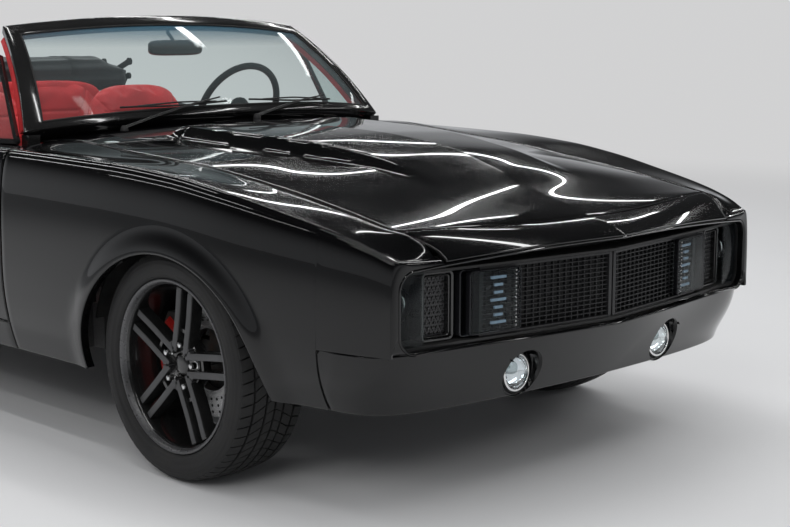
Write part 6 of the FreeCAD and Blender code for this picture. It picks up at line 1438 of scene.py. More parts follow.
def build_screen():
    us = np.unique(np.concatenate([np.linspace(-1, 1, 81), [-SIDE_SHARE, SIDE_SHARE]]))
    vs = np.unique(np.concatenate([np.linspace(0, 1, 31), [LOW_SHARE, HIGH_SHARE]]))

    def glazed(u, v):
        return (np.abs(u) < SIDE_SHARE) & (v > LOW_SHARE) & (v < HIGH_SHARE)
    us, vs = with_edges(us, 1400.0, 6.0), with_edges(vs, 520.0, 6.0)
    u, v = np.meshgrid(us, vs, indexing="ij")
    p = grid_points(screen_place, u, v)
    n = grid_normals(p)
    n = n if n[:, :, 2].sum() > 0 else -n
    mu, mv = (u[:-1, :-1] + u[1:, 1:]) / 2, (v[:-1, :-1] + v[1:, 1:]) / 2
    drop = np.maximum(roll_depth(len(us), 6.0)[:, None], roll_depth(len(vs), 6.0)[None, :])
    rim_u = np.abs(np.abs(u) - SIDE_SHARE) < 1e-6
    rim_v = (np.abs(v - LOW_SHARE) < 1e-6) | (np.abs(v - HIGH_SHARE) < 1e-6)
    near = (rim_u & (v >= LOW_SHARE - 1e-6)
            & (v <= HIGH_SHARE + 1e-6)) | (rim_v & (np.abs(u) <= SIDE_SHARE + 1e-6))
    drop = np.maximum(drop, np.where(near, 3.5, 0.0))
    outer = p - n * drop[:, :, None]
    flip = not tends_to(p, 2)
    points, faces = close_grids(outer, p - n * 28.0, flip, ~glazed(mu, mv))
    post = []
    for side in (1, -1):
        x0, x1 = sorted((side * 712.0, side * 754.0))
        y0 = float(screen_base_y(1.0)) - 16
        post.append(prism([(x0, y0, 832), (x1, y0, 832), (x1, y0 + 40, 832), (x0, y0 + 40, 832)], (0, 0, 70)))
    frame_obj = single("windscreen_frame", "gloss_trim", "body", [(points, faces)] + post, 30)
    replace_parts(frame_obj, "windshield_frame")
    gu, gv = np.meshgrid(np.linspace(-0.93, 0.93, 61), np.linspace(LOW_SHARE - 0.006, HIGH_SHARE + 0.006, 25),
                         indexing="ij")
    top = grid_points(screen_place, gu, gv, 7.0)
    low = grid_points(screen_place, gu, gv, 12.0)
    glass = single("windscreen_glass", "screen_glass", "body", close_grids(top, low, flip), 60)
    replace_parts(glass, "windshield_glass")
    lines = [[screen_point(u, v, 4.0) for u in np.linspace(-SIDE_SHARE, SIDE_SHARE, 41)]
             for v in (LOW_SHARE + 0.004, HIGH_SHARE - 0.004)]
    lines += [[screen_point(u, v, 4.0) for v in np.linspace(LOW_SHARE, HIGH_SHARE, 21)]
              for u in (-SIDE_SHARE + 0.003, SIDE_SHARE - 0.003)]
    edge = [tube_arrays(line, 3.2, 8) for line in lines]
    single("windscreen_gasket", "rubber", "body", edge, 50)
    rows = []
    for u in np.linspace(-1, 1, 61):
        y0, z0 = float(screen_base_y(u)) + 24, float(top_z(min(0.985, abs(u)) * 705.0, float(screen_base_y(u))
                                                           + 24)) - 5
        x1, y1, z1 = screen_point(u, 0.012, 10.0)
        x0 = u * 738.0
        steps = [(x0 + (x1 - x0) * t, y0 + (y1 - y0) * t - 5 * math.sin(math.pi * t), z0 + (z1 - z0) * t)
                 for t in np.linspace(0, 1, 7)]
        rows.append(steps + [(x, y + 7, z) for x, y, z in steps[::-1]])
    single("screen_base_panel", "paint", "body", swept(rows), 50)
    lining = []
    for side in (1, -1):
        rows = []
        for v in np.linspace(0.06, 0.93, 16):
            x, y, z = screen_point(side * 0.955, v, 31.0)
            wide = 30 - 7 * v
            rows.append([(x + side * wide, y + 4, z), (x - side * wide, y - 2, z + 2),
                         (x - side * wide, y + 15, z - 9), (x - side * 8, y + 26, z - 16),
                         (x + side * wide, y + 22, z - 13)])
        rows = rows if side > 0 else [r[::-1] for r in rows]
        lining.append(swept(rows))
    single("pillar_lining", "leather", "body", lining, 45)


def build_intake(settings):
    """Fine mesh under the openings of the cowl."""
    strands = []
    front = axle(HOOD_REAR) + GAP + 30
    for x in np.arange(146, 566, settings.intake_pitch):
        ys = np.linspace(front, float(screen_base_y(x / SCREEN_HALF)) - 34, 7)
        strands.append(tube_arrays([(x, y, float(top_z(x, y)) - 5.0) for y in ys], 1.1, 4))
    for y in np.arange(front, axle(745) - 20, settings.intake_pitch):
        xs = np.linspace(146, 566, 25)
        strands.append(tube_arrays([(x, y, float(top_z(x, y)) - 6.0) for x in xs], 1.1, 4))
    right = mirror_x(*join_arrays(strands))
    single("cowl_mesh", "grid_black", "body", strands + [right], 40)


def build_wipers():
    parts, rubber = [], []
    for share in (-0.618, 0.053):
        x = share * SCREEN_HALF
        y = float(screen_base_y(share)) - 40
        z = float(top_z(x, y))
        cap = lathe([(0.8, 0.01), (0.8, 13), (5, 13), (12, 11), (17, 8), (18.5, 0.01)], "Z", 28)
        parts.append(moved(cap, (x, y, z)))
        place = lambda u, v, lift: np.array(screen_point(u, v, -lift))
        tip_u = min(0.98, (x + 400) / SCREEN_HALF)
        tip = place(tip_u, 0.095, 16)
        start = np.array([x, y, z + 11])
        arm = []
        for t in np.linspace(0, 1, 14):
            c = start + (tip - start) * t + np.array([0, -4, 9]) * math.sin(math.pi * t) * 0.8
            w, h = 9 - 5.5 * t, 4.5 - 1.5 * t
            arm.append([(c[0], c[1] - w, c[2] - h * 0.4), (c[0], c[1] + w, c[2] - h * 0.4),
                        (c[0], c[1] + w * 0.7, c[2] + h), (c[0], c[1] - w * 0.7, c[2] + h)])
        parts.append(swept(arm))
        blade = [place(u, 0.075 + 0.012 * math.sin(8 * (u - tip_u)), 7)
                 for u in np.linspace(tip_u - 0.50, tip_u + 0.04, 18) if abs(u) < 0.99]
        rubber.append(tube_arrays(blade, 3.6, 6))
        bridge = [place(u, 0.079, 13 - 26 * abs(u - tip_u + 0.23))
                  for u in np.linspace(tip_u - 0.42, tip_u - 0.02, 14)]
        parts.append(tube_arrays(bridge, 3.0, 6))
    wipers = single("wiper_arms", "satin_black", "body", parts, 40)
    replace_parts(wipers, "wipers")
    single("wiper_blades", "rubber", "body", rubber, 40)


def rounded_pad(low, high, power=3.5, steps=(36, 22)):
    """A closed superellipse-sided solid in a box; smaller powers are rounder."""
    low, high = np.array(low, float), np.array(high, float)
    centre, half = (low + high) / 2, (high - low) / 2
    around = np.linspace(0, 2 * math.pi, steps[0], endpoint=False)
    down = np.linspace(0, math.pi, steps[1] + 2)[1:-1]

    def lift(t):
        return np.sign(t) * np.abs(t) ** (2 / power)
    rows = []
    for a in down:
        ring = lift(np.array(math.sin(a)))
        rows.append(np.stack([ring * lift(np.cos(around)), ring * lift(np.sin(around)),
                              np.full(around.shape, lift(np.array(math.cos(a))))], axis=1))
    unit = np.concatenate(rows + [[[0, 0, 1.0]], [[0, 0, -1.0]]])
    n = steps[0]
    faces = [[i * n + j, (i + 1) * n + j, (i + 1) * n + (j + 1) % n, i * n + (j + 1) % n]
             for i in range(len(rows) - 1) for j in range(n)]
    top, bottom = len(rows) * n, len(rows) * n + 1
    faces += [[j, (j + 1) % n, top] for j in range(n)]
    base = (len(rows) - 1) * n
    faces += [[base + j, bottom, base + (j + 1) % n] for j in range(n)]
    return centre + unit * half, faces


MIRROR = (49, axle(1172), 1159)


def build_mirror():
    shell = moved(rounded_pad((-116, -15, -28), (116, 11, 28), 4.5, (48, 26)), MIRROR)
    mirror = single("mirror_shell", "gloss_trim", "body", shell, 50)
    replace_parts(mirror, "interior_mirror")
    face = moved(rounded_pad((-106, 9, -21), (106, 12.4, 21), 5.0, (48, 16)), MIRROR)
    single("mirror_glass", "reflector", "body", face, 40)
    top = screen_point(0.0, HIGH_SHARE + 0.055, 27.0)
    stem = tube_arrays([MIRROR, (40, axle(1170), 1185), (14, axle(1166), 1212),
                        (2, top[1] + 4, top[2] - 6), (0, top[1], top[2])], 6.5, 12)
    foot = rounded_pad((-26, top[1] - 10, top[2] - 12), (26, top[1] + 16, top[2] + 6), 3.0, (24, 12))
    single("mirror_stem", "satin_black", "body", [stem, foot], 50)


def build_tail_lamps():
    first = None
    for k, (near, far) in enumerate(((LAMP_X - LAMP_HALF, LAMP_X - LAMP_BAR / 2),
                                     (LAMP_X + LAMP_BAR / 2, LAMP_X + LAMP_HALF))):
        xs = np.linspace(near + 0.6, far - 0.6, 40)
        zs = np.linspace(LAMP_LOW + 0.6, LAMP_HIGH - 0.6, 22)
        x, z = np.meshgrid(xs, zs, indexing="ij")
        ribs = 0.9 * np.cos((z - LAMP_LOW) / 6.0 * math.pi) ** 2
        edge = np.minimum(np.minimum(x - near, far - x), np.minimum(z - LAMP_LOW, LAMP_HIGH - z))
        y = tail_face_y(x, z) - 1.5 + ribs * smooth(edge / 9.0) - 3.0 * (1 - smooth(edge / 7.0))
        outer = np.stack([x, y, z], axis=2)
        flip = not tends_to(outer, 1)
        lens = pair("tail_lens_%d" % (k + 1), "lamp_red", "body",
                    close_grids(outer, outer - np.array([0, 22, 0]), flip), 30)
        first = first or lens[0]
        rim = []
        for x0, z0, x1, z1 in ((near, LAMP_LOW, far, LAMP_LOW), (far, LAMP_LOW, far, LAMP_HIGH),
                               (far, LAMP_HIGH, near, LAMP_HIGH), (near, LAMP_HIGH, near, LAMP_LOW)):
            line = [(x0 + (x1 - x0) * t, z0 + (z1 - z0) * t) for t in np.linspace(0, 1, 9)]
            rim.append(tube_arrays([(a, float(tail_face_y(a, b)) - 1.0, b) for a, b in line], 2.6, 8))
        pair("tail_bezel_%d" % (k + 1), "chrome", "body", rim, 40)
    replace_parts(first, "tail_lamps")


# ---- cabin ----

SEAT_X, REAR_SEAT_X = 372.0, 268
SEAM_DEPTH, SEAM_HALF = 5.5, 5.0
CLOTH_FRAMES = 15
FAR_AWAY = 99.0


def unit_pad(power, steps):
    """A closed rounded block between -1 and 1 on each axis."""
    return rounded_pad((-1, -1, -1), (1, 1, 1), power, steps)


def stuffed(name, part, voxel, cap, pressure=4.0):
    """A padded leather piece: the block swells under the pressure of its filling, held in by its cover."""
    obj = mesh_object(name, part[0], part[1], None, None, 180)
    remesh = obj.modifiers.new("even", "REMESH")
    remesh.mode, remesh.voxel_size, remesh.use_smooth_shade = "VOXEL", voxel * MM, True
    settle(obj)
    start = vertex_places(obj.data)
    cloth = obj.modifiers.new("filling", "CLOTH")
    cloth.settings.use_pressure = True
    cloth.settings.uniform_pressure_force = pressure
    cloth.settings.effector_weights.gravity = 0.0
    cloth.settings.quality = 4
    cloth.collision_settings.use_self_collision = False
    scene = bpy.context.scene
    for step in range(1, CLOTH_FRAMES + 1):
        scene.frame_set(step)
    settle(obj)
    shift = vertex_places(obj.data) - start
    length = np.linalg.norm(shift, axis=1, keepdims=True)
    shift *= np.minimum(1.0, cap * MM / np.maximum(length, 1e-9))
    obj.data.vertices.foreach_set("co", (start + shift).ravel())
    scene.frame_set(1)
    fine = obj.modifiers.new("fine", "SUBSURF")
    fine.levels = fine.render_levels = 1
    settle(obj)
    obj.name = name
    dress(obj, FINISH["leather"], "body", SLOTS["leather"])
    return obj


def pressed(obj, lines, way, front=None):
    """Presses sewn seams into a padded piece: lines gives distances (mm) to each seam at every vertex."""
    mesh = obj.data
    p = vertex_places(mesh) / MM
    depth = np.zeros(len(p))
    for line in lines:
        depth = np.maximum(depth, SEAM_DEPTH * np.exp(-(line(p) / SEAM_HALF) ** 2))
    if front is not None:
        depth *= front(p)
    p = p - np.array(way, float) * depth[:, None]
    mesh.vertices.foreach_set("co", (p * MM).ravel())
    finish_mesh(obj, 75)


def held_in(obj, low, high):
    """Keeps a padded piece within its space."""
    mesh = obj.data
    p = np.clip(vertex_places(mesh), np.array(low) * MM, np.array(high) * MM)
    mesh.vertices.foreach_set("co", p.ravel())
    finish_mesh(obj, 75)


def back_block(centre, half, top_half, low, high, front, rear, bolster, crown):
    """A seat back's block: front and rear are (y at low, y at high)."""
    unit, faces = unit_pad(4.2, (80, 44))
    a, b, c = unit.T
    v = (c + 1) / 2
    z = low + (high - low) * v - crown * a * a * smooth((v - 0.55) / 0.45)
    width = half + (top_half - half) * smooth((v - 0.45) / 0.55)
    y_front, y_rear = front[0] + (front[1] - front[0]) * v, rear[0] + (rear[1] - rear[0]) * v
    middle, thick = (y_front + y_rear) / 2, (y_rear - y_front) / 2
    side = smooth((np.abs(a) - 0.52) / 0.30) * (1 - smooth((v - 0.62) / 0.3))
    pull = np.where(b < 0, bolster * side - 10 * (1 - smooth((np.abs(a) - 0.3) / 0.3)), 0.0)
    y = middle + b * thick - np.where(b < 0, pull - bolster * 0.55, 0.0)
    return np.stack([centre + a * width, y, z], axis=1), faces


def cushion_block(centre, half, front, rear, low, high, bolster):
    unit, faces = unit_pad(4.6, (80, 44))
    a, b, c = unit.T
    side = smooth((np.abs(a) - 0.55) / 0.28)
    y = (front + rear) / 2 + b * (rear - front) / 2
    z = (low + high) / 2 + c * (high - low) / 2
    z = np.where(c > 0, z + bolster * side - 10 * smooth((b + 0.2) / 0.8) * (1 - side) - 12
                 * smooth((-b - 0.5) / 0.5), z)
    return np.stack([centre + a * half, y, z], axis=1), faces


def seam_at(centre, table):
    """Distance to a pair of upright seams whose half spacing follows a table over the height."""
    return lambda p: np.abs(np.abs(p[:, 0] - centre) - curve(table, p[:, 2]))


def level_seam(centre, half, height):
    """Distance to a level seam across the middle of a seat's back."""
    return lambda p: np.where(np.abs(p[:, 0] - centre) < half, np.abs(p[:, 2] - height), FAR_AWAY)


def cross_seam(centre, half, place):
    """Distance to a seam across the middle of a cushion."""
    return lambda p: np.where(np.abs(p[:, 0] - centre) < half, np.abs(p[:, 1] - place), FAR_AWAY)


def long_seams(centre, half):
    """Distance to the two seams that run along a cushion."""
    return lambda p: np.abs(np.abs(p[:, 0] - centre) - half)


def build_front_seats():
    y0 = axle(0)
    block = back_block(SEAT_X, 244, 228, 470, 1008, (y0 + 1752, y0 + 1842), (y0 + 1888, y0 + 1942), 22, 16)
    back = stuffed("front_seat_back_left", block, 7.0, 12)
    upright = seam_at(SEAT_X, ((470, 128), (640, 138), (780, 132), (880, 150), (960, 196), (1022, 212)))
    pressed(back, [upright] + [level_seam(SEAT_X, 176, z) for z in (894, 640, 725, 810)], (0, -1, 0),
            lambda p: 1.0 * (p[:, 1] < y0 + 1790 + 90 * (p[:, 2] - 470) / 540 + 22))
    pressed(back, [lambda p: np.abs(p[:, 1] - (y0 + 1818 + 100 * (p[:, 2] - 470) / 540))], (0, 0, 0.45))
    block = cushion_block(SEAT_X, 246, y0 + 1304, y0 + 1742, 352, 508, 22)
    cushion = stuffed("front_seat_cushion_left", block, 7.0, 12)
    across = [cross_seam(SEAT_X, 140, y0 + q) for q in (1392, 1478, 1564, 1650)]
    pressed(cushion, [long_seams(SEAT_X, 140)] + across, (0, 0, 1), lambda p: 1.0 * (p[:, 2] > 440))
    pressed(cushion, [lambda p: np.abs(p[:, 2] - 452)], (0, 0, 0.4))
    held_in(back, (SEAT_X - 264, y0 + 1722, 440), (SEAT_X + 264, y0 + 1962, 1026))
    held_in(cushion, (SEAT_X - 264, y0 + 1288, 336), (SEAT_X + 264, y0 + 1782, 548))
    copies = []
    for obj in (back, cushion):
        points, faces = mirror_x(vertex_places(obj.data) / MM, [list(f.vertices) for f in obj.data.polygons])
        twin = mesh_object(obj.name.replace("_left", "_right"), points, faces, FINISH["leather"], "body", 75,
                           "leather_red")
        copies.append(twin)
    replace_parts(back, "front_seat_left")
    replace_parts(copies[0], "front_seat_right")
    base = [rounded_pad((SEAT_X - 236, y0 + 1326, 322), (SEAT_X + 236, y0 + 1800, 372), 6.0, (48, 14))]
    for x in (SEAT_X - 170, SEAT_X + 170):
        base.append(rounded_pad((x - 16, y0 + 1368, 216), (x + 16, y0 + 1738, 330), 8.0, (40, 12)))
    base.append(rounded_pad((SEAT_X + 240, y0 + 1560, 392), (SEAT_X + 262, y0 + 1880, 470), 3.5, (40, 16)))
    pair("front_seat_base", "satin_black", "body", base, 45)


def build_rear_seat():
    y0 = axle(0)
    made = []
    for side, name in ((1, "left"), (-1, "right")):
        x = side * REAR_SEAT_X
        block = back_block(x, 262, 252, 540, 1002, (y0 + 2334, y0 + 2338), (y0 + 2428, y0 + 2424), 16, 14)
        back = stuffed("rear_seat_back_" + name, block, 9.0, 9)
        upright = seam_at(x, ((540, 116), (760, 122), (870, 140), (940, 178), (1010, 190)))
        pressed(back, [upright, level_seam(x, 150, 872), level_seam(x, 130, 720)], (0, -1, 0),
                lambda p: 1.0 * (p[:, 1] < y0 + 2372))
        held_in(back, (-562, y0 + 2308, 520), (562, y0 + 2446, 1016))
        made.append(back)
        block = cushion_block(x, 254, y0 + 2026, y0 + 2330, 420, 536, 14)
        seat = stuffed("rear_seat_cushion_" + name, block, 9.0, 9)
        pressed(seat, [long_seams(x, 140)], (0, 0, 1), lambda p: 1.0 * (p[:, 2] > 480))
        held_in(seat, (-562, y0 + 2012, 400), (562, y0 + 2344, 572))
    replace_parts(made[0], "rear_seat")
    parts = [rounded_pad((-552, y0 + 2362, 470), (552, y0 + 2438, 1000), 7.0, (64, 20)),
             rounded_pad((-548, y0 + 2024, 300), (548, y0 + 2200, 440), 9.0, (64, 16))]
    single("rear_seat_shell", "leather", "body", parts, 45)


def build_soft_top():
    """The folded top: stacked fabric folds between the side links."""
    y0 = axle(0)
    rows = []
    xs = np.concatenate([np.linspace(-716, -640, 12), np.linspace(-620, 620, 60), np.linspace(640, 716, 12)])
    for x in xs:
        end = smooth((np.abs(x) - 560) / 156.0)
        ripple = 3.0 * math.sin(x / 61.0) + 2.0 * math.sin(x / 23.0 + 1.3)
        outline = []
        for a in np.linspace(0, 2 * math.pi, 72, endpoint=False):
            ca, sa = math.cos(a), math.sin(a)
            y = y0 + 2520 + 112 * np.sign(ca) * abs(ca) ** 0.55 * (1 - 0.10 * end)
            z = 1021 + 78 * np.sign(sa) * abs(sa) ** 0.6 * (1 - 0.34 * end) - 18 * end
            fold = 7.0 * math.cos((z - 944) / 152.0 * math.pi * 2 * 3.0 + 0.4 * math.sin(x / 180.0))
            lid = 4.5 * math.cos((y - y0 - 2410) / 220.0 * math.pi * 2 * 2.5 + 0.3 * math.sin(x / 90.0))
            y += np.sign(ca) * (fold - 7.0) * (0.35 + 0.65 * abs(ca)) * 0.9
            z += (lid - 4.5 + 0.5 * ripple) * max(0.0, sa)
            outline.append((x, y, min(z, 1106.0)))
        rows.append(outline)
    rows = np.array(rows)
    for k, x in enumerate(xs):
        pull = smooth((abs(x) - 690) / 26.0)
        centre = rows[k].mean(axis=0)
        rows[k] = centre + (rows[k] - centre) * (1 - 0.12 * pull)
    bundle = single("folded_top", "fabric", "body", swept(rows), 70)
    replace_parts(bundle, "soft_top_stack")
    links = []
    for start, end, wide in (((706, 2404, 1074), (704, 2560, 1012), 13),
                             ((713, 2422, 1010), (712, 2600, 968), 11),
                             ((699, 2470, 962), (699, 2590, 1070), 10)):
        a, b = np.array(start) + (0, y0, 0), np.array(end) + (0, y0, 0)
        along = (b - a) / np.linalg.norm(b - a)
        across = np.cross(along, (1, 0, 0)) * wide
        links.append(prism([a - across, b - across, b + across, a + across], (5.0, 0, 0)))
        ring = lathe([(-3, 0.01), (-3, wide + 3), (8, wide + 3), (8, 0.01)], "X", 24)
        links += [moved(ring, eye) for eye in (a, b)]
    pair("top_links", "satin_black", "body", links, 40, "steel_dark")
    strap = []
    for x in (-430.0, 0.0, 430.0):
        k = int(np.argmin(np.abs(xs - x)))
        ring = rows[k]
        centre = ring.mean(axis=0)
        line = centre + (ring - centre) * 1.012
        line[:, 2] = np.minimum(line[:, 2], 1107.5)
        band = np.array([[p + (dx, 0, 0) for dx in (-14, 14)] for p in line])
        inner = centre + (band - centre) * 0.985
        strap.append(ring_faces(np.concatenate([band, inner[:, ::-1]], axis=1)))
    single("top_straps", "satin_black", "body", strap, 60, "fabric_black")


DRIVER_X, RIM_R, COLUMN_TILT = 385.0, 178.0, math.radians(24)
COLUMN_TOP = np.array([DRIVER_X, axle(1235), 925.0])
COLUMN_TURN = np.array([[1, 0, 0], [0, math.cos(COLUMN_TILT), math.sin(COLUMN_TILT)],
                        [0, -math.sin(COLUMN_TILT), math.cos(COLUMN_TILT)]])


def gauge(x, y, z, radius):
    """A dial's face, rim and needle."""
    face = lathe([(0, 0.01), (0, radius - 3), (1.5, radius - 3), (1.5, 0.01)], "Y", 48)
    rim = lathe([(-4, radius - 4), (-4, radius + 2), (5, radius + 3), (8, radius), (7, radius - 3),
                 (2, radius - 4)], "Y", 48)
    needle = prism([(x - 1.2, y + 3, z), (x + 1.2, y + 3, z), (x + radius * 0.5, y + 3, z + radius * 0.55)],
                   (0, 1.5, 0))
    return moved(face, (x, y, z)), moved(rim, (x, y, z)), needle


def build_dash():
    y0 = axle(0)
    front, rear = y0 + 792, y0 + 1073
    rows = []
    for x in np.linspace(-676, 676, 60):
        end = smooth((abs(x) - 640) / 36.0) * 5
        rows.append([(x, front, 818), (x, front, 852), (x, front + 20, 878 - end), (x, front + 90, 886 - end),
                     (x, rear - 60, 886 - end), (x, rear - 22, 880 - end), (x, rear - 5, 866), (x, rear, 846),
                     (x, rear - 3, 826), (x, rear - 12, 812), (x, rear - 30, 806)])
    single("dash_pad", "leather", "body", swept(rows), 45)
    rows = []
    for x in np.linspace(-674, 674, 30):
        rows.append([(x, front, 724), (x, front, 822), (x, rear - 26, 812), (x, rear - 24, 800),
                     (x, rear - 40, 770), (x, rear - 62, 700), (x, rear - 78, 666), (x, rear - 120, 662),
                     (x, front + 40, 700)])
    lower = [swept(rows), rounded_pad((-672, y0 + 690, 742), (672, y0 + 800, 826), 10.0, (48, 12))]
    column, faces = lathe([(-300, 0.01), (-300, 26), (-70, 34), (-66, 31), (-66, 0.01)], "Y", 40)
    lower.append((column @ COLUMN_TURN + COLUMN_TOP, faces))
    dash = single("dash_lower", "satin_black", "body", lower, 40)
    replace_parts(dash, "dashboard")
    hood = []
    for x in np.linspace(DRIVER_X - 188, DRIVER_X + 188, 34):
        u = (x - DRIVER_X) / 188
        top = 860 + 62 * (1 - abs(u) ** 3.2)
        hood.append([(x, rear - 146, 842), (x, rear - 140, min(top, 872)), (x, rear - 90, top - 6),
                     (x, rear - 20, top), (x, rear + 4, top - 3), (x, rear + 9, top - 9), (x, rear + 4, top - 15),
                     (x, rear - 60, top - 19), (x, rear - 62, 842)])
    single("instrument_hood", "leather", "body", swept(hood), 50)
    faces, rims, needles = zip(*[gauge(DRIVER_X + x, rear - 30, z, r) for x, z, r in ((-92, 846, 52),
                                                                                      (34, 846, 52),
                                                                                      (128, 836, 34))])
    single("gauge_faces", "shade", "body", list(faces), 30, "trim_black")
    single("gauge_rims", "chrome", "body", list(rims), 40)
    single("gauge_needles", "lamp_red", "body", list(needles), 30)
    panel = [rounded_pad((-150, rear - 48, 706), (150, rear - 22, 806), 7.0, (56, 14))]
    for x in (-600, -92, 92, 600):
        for k in range(5):
            panel.append(rounded_pad((x - 46, rear - 30, 768 + k * 8), (x + 46, rear - 17, 771 + k * 8), 6.0,
                                     (32, 10)))
    single("dash_panel", "gloss_trim", "body", panel, 40)
    knob = lathe([(0, 0.01), (0, 15), (14, 13.4), (17, 11), (17.5, 0.01)], "Y", 32)
    knobs = [moved(knob, (x, rear - 30, 735)) for x in (-96, -32, 32, 96)]
    single("dash_knobs", "chrome", "body", knobs, 35)


def build_steering(settings):
    seat = lambda part: (np.asarray(part[0]) @ COLUMN_TURN + COLUMN_TOP, part[1])
    a = np.linspace(0, 2 * math.pi, 96, endpoint=False)
    path = [(RIM_R * math.cos(t), 0, RIM_R * math.sin(t)) for t in a]
    rim = tube_arrays(path, 12.8, 16, closed=True)
    wheel = single("steering_rim", "leather_black", "steering_wheel", seat(rim), 60)
    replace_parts(wheel, "steering_wheel")
    stud = lathe([(9.5, 0.01), (9.5, 4.4), (12.2, 4.2), (13.6, 2.6), (13.9, 0.01)], "Y", 12)
    studs = repeated("rim_studs", moved(stud, (0, 0, RIM_R)), None, settings.rim_studs, axis=(0, 1, 0))
    single("steering_studs", "chrome", "steering_wheel", seat(studs), 40)
    spokes = []
    for angle in (0.0, 180.0, 270.0):
        t = math.radians(angle)
        d, w = np.array([math.cos(t), 0, math.sin(t)]), np.array([-math.sin(t), 0, math.cos(t)])
        rows = []
        for r in np.linspace(24, 172, 12):
            half = 15 + 9 * ((r - 98) / 74) ** 2
            y = -10 + 7 * (r - 24) / 148
            rows.append([tuple(d * r + w * s * half + (0, y + o, 0)) for s, o in ((-1, -3), (1, -3), (1, 1),
                                                                                  (0.7, 2.4), (-0.7, 2.4),
                                                                                  (-1, 1))])
        spokes.append(swept(rows))
    single("steering_spokes", "spoke_grey", "steering_wheel", [seat(s) for s in spokes], 35)
    hub = lathe([(-42, 0.01), (-42, 26), (-18, 36), (-8, 44), (4, 46), (12, 40), (17, 26), (19, 0.01)], "Y", 64)
    single("steering_hub", "leather_black", "steering_wheel", seat(hub), 45)
    ring = lathe([(9, 41), (12.6, 43), (14.4, 40.5), (14.6, 37), (10, 37)], "Y", 64)
    single("steering_ring", "chrome", "steering_wheel", seat(ring), 45)


def build_console():
    y0 = axle(0)
    body = [rounded_pad((-91, y0 + 1082, 424), (91, y0 + 1948, 506), 9.0, (64, 18)),
            rounded_pad((-78, y0 + 1096, 498), (78, y0 + 1470, 519), 8.0, (56, 12))]
    console = single("console_body", "satin_black", "body", body, 45)
    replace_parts(console, "console")
    block = rounded_pad((-76, y0 + 1494, 492), (76, y0 + 1910, 518), 5.0, (56, 20))
    pad = stuffed("console_pad", block, 7.0, 5, 3.0)
    held_in(pad, (-88, y0 + 1484, 486), (88, y0 + 1924, 529))
    boot = lathe([(516, 0.01), (516, 52), (520, 54), (530, 43), (538, 40), (548, 31), (556, 29), (572, 20),
                  (590, 16), (604, 13), (606, 0.01)], "Z", 40)
    at = (0, y0 + 1270.0, 0)
    single("shifter_boot", "leather_black", "body", moved(boot, at), 50)
    rod = lathe([(560, 0.01), (560, 7.5), (676, 6.5), (676, 0.01)], "Z", 24)
    ring = lathe([(516, 54), (516, 64), (519, 65), (522, 63), (523, 55)], "Z", 48)
    single("shifter_rod", "chrome", "body", [moved(rod, at), moved(ring, at)], 45)
    knob = lathe([(668, 0.01), (668, 11), (674, 18), (686, 23.2), (698, 22), (708, 14), (712.5, 0.01)], "Z", 40)
    single("shifter_knob", "gloss_trim", "body", moved(knob, at), 50)


def build_door_trims():
    y0 = axle(0)
    ys, zs = np.linspace(y0 + 800, y0 + 1962, 90), np.linspace(372, 850, 44)
    y, z = np.meshgrid(ys, zs, indexing="ij")
    arm = smooth((y - y0 - 1020) / 70) * (1 - smooth((y - y0 - 1700) / 110)) * np.exp(-((z - 642) / 34.0) ** 2)
    edge = np.minimum(np.minimum(y - ys[0], ys[-1] - y), np.minimum(z - zs[0], zs[-1] - z))
    groove = np.exp(-((z - 742) / 5.0) ** 2) + np.exp(-((z - 520) / 5.0) ** 2)
    x = 786 - 6.5 * smooth(edge / 9.0) - 36 * arm + 3.0 * groove * (arm < 0.2)
    outer = np.stack([x, y, z], axis=2)
    back = np.stack([np.full(x.shape, 786.5), y, z], axis=2)
    card = close_grids(outer, back, tends_to(outer, 0))
    pair("door_trim", "leather", "door_left", card, 50)
    pull = rounded_pad((756, y0 + 1120, 690), (776, y0 + 1200, 712), 3.0, (32, 14))
    crank = lathe([(0, 0.01), (0, 15), (-8, 15), (-12, 10), (-12.5, 0.01)], "X", 28)
    pair("door_pulls", "chrome", "door_left", [pull, moved(crank, (780.0, y0 + 1330, 560))], 45)
    vent = [(776.0, 878.0, None), (776.0, 1128.0, None), (660.0, 1192.0, 1140.0), (660.0, 1164.0, 1140.0)]
    corner = []
    for px, py, pz in vent:
        corner.append(np.array([px, y0 + py, float(top_z(px, y0 + py)) - 3.0 if pz is None else pz]))
    centre = sum(corner) / 4
    push = np.cross(corner[1] - corner[0], corner[3] - corner[0])
    push /= np.linalg.norm(push)
    parts = []
    for k in range(4):
        a, b = [corner[i] + (centre - corner[i]) * 0.05 for i in (k, (k + 1) % 4)]
        along = (b - a) / np.linalg.norm(b - a)
        side = np.cross(push, along) * (8.0 if k != 1 else 9.0)
        over = along * 6
        parts.append(prism([a - side - over, b - side + over, b + side + over, a + side - over] - push * 6.5,
                           tuple(push * 13.0)))
    pair("vent_frame", "gloss_trim", "door_left", parts, 35)
    glass = [corner[k] + (centre - corner[k]) * 0.07 for k in range(4)]
    pair("vent_glass", "clear_glass", "door_left", prism([g - push * 2.0 for g in glass], tuple(push * 4.0)), 30)


def build_side_trims():
    y0 = axle(0)
    ys, zs = np.linspace(y0 + 1990, y0 + 2394, 40), np.linspace(470, 846, 30)
    y, z = np.meshgrid(ys, zs, indexing="ij")
    edge = np.minimum(np.minimum(y - ys[0], ys[-1] - y), np.minimum(z - zs[0], zs[-1] - z))
    fade = 0.5 * (1 - np.cos(np.clip((z - 470) / 250.0, 0, 1) * math.pi))
    x = 748 - 60 * (1 - fade) - 6 * smooth(edge / 12.0)
    outer = np.stack([x, y, z], axis=2)
    trim = close_grids(outer, outer + np.array([9.0, 0, 0]), tends_to(outer, 0))
    pair("side_trim", "leather", "body", trim, 50)


# ---- finishes ----

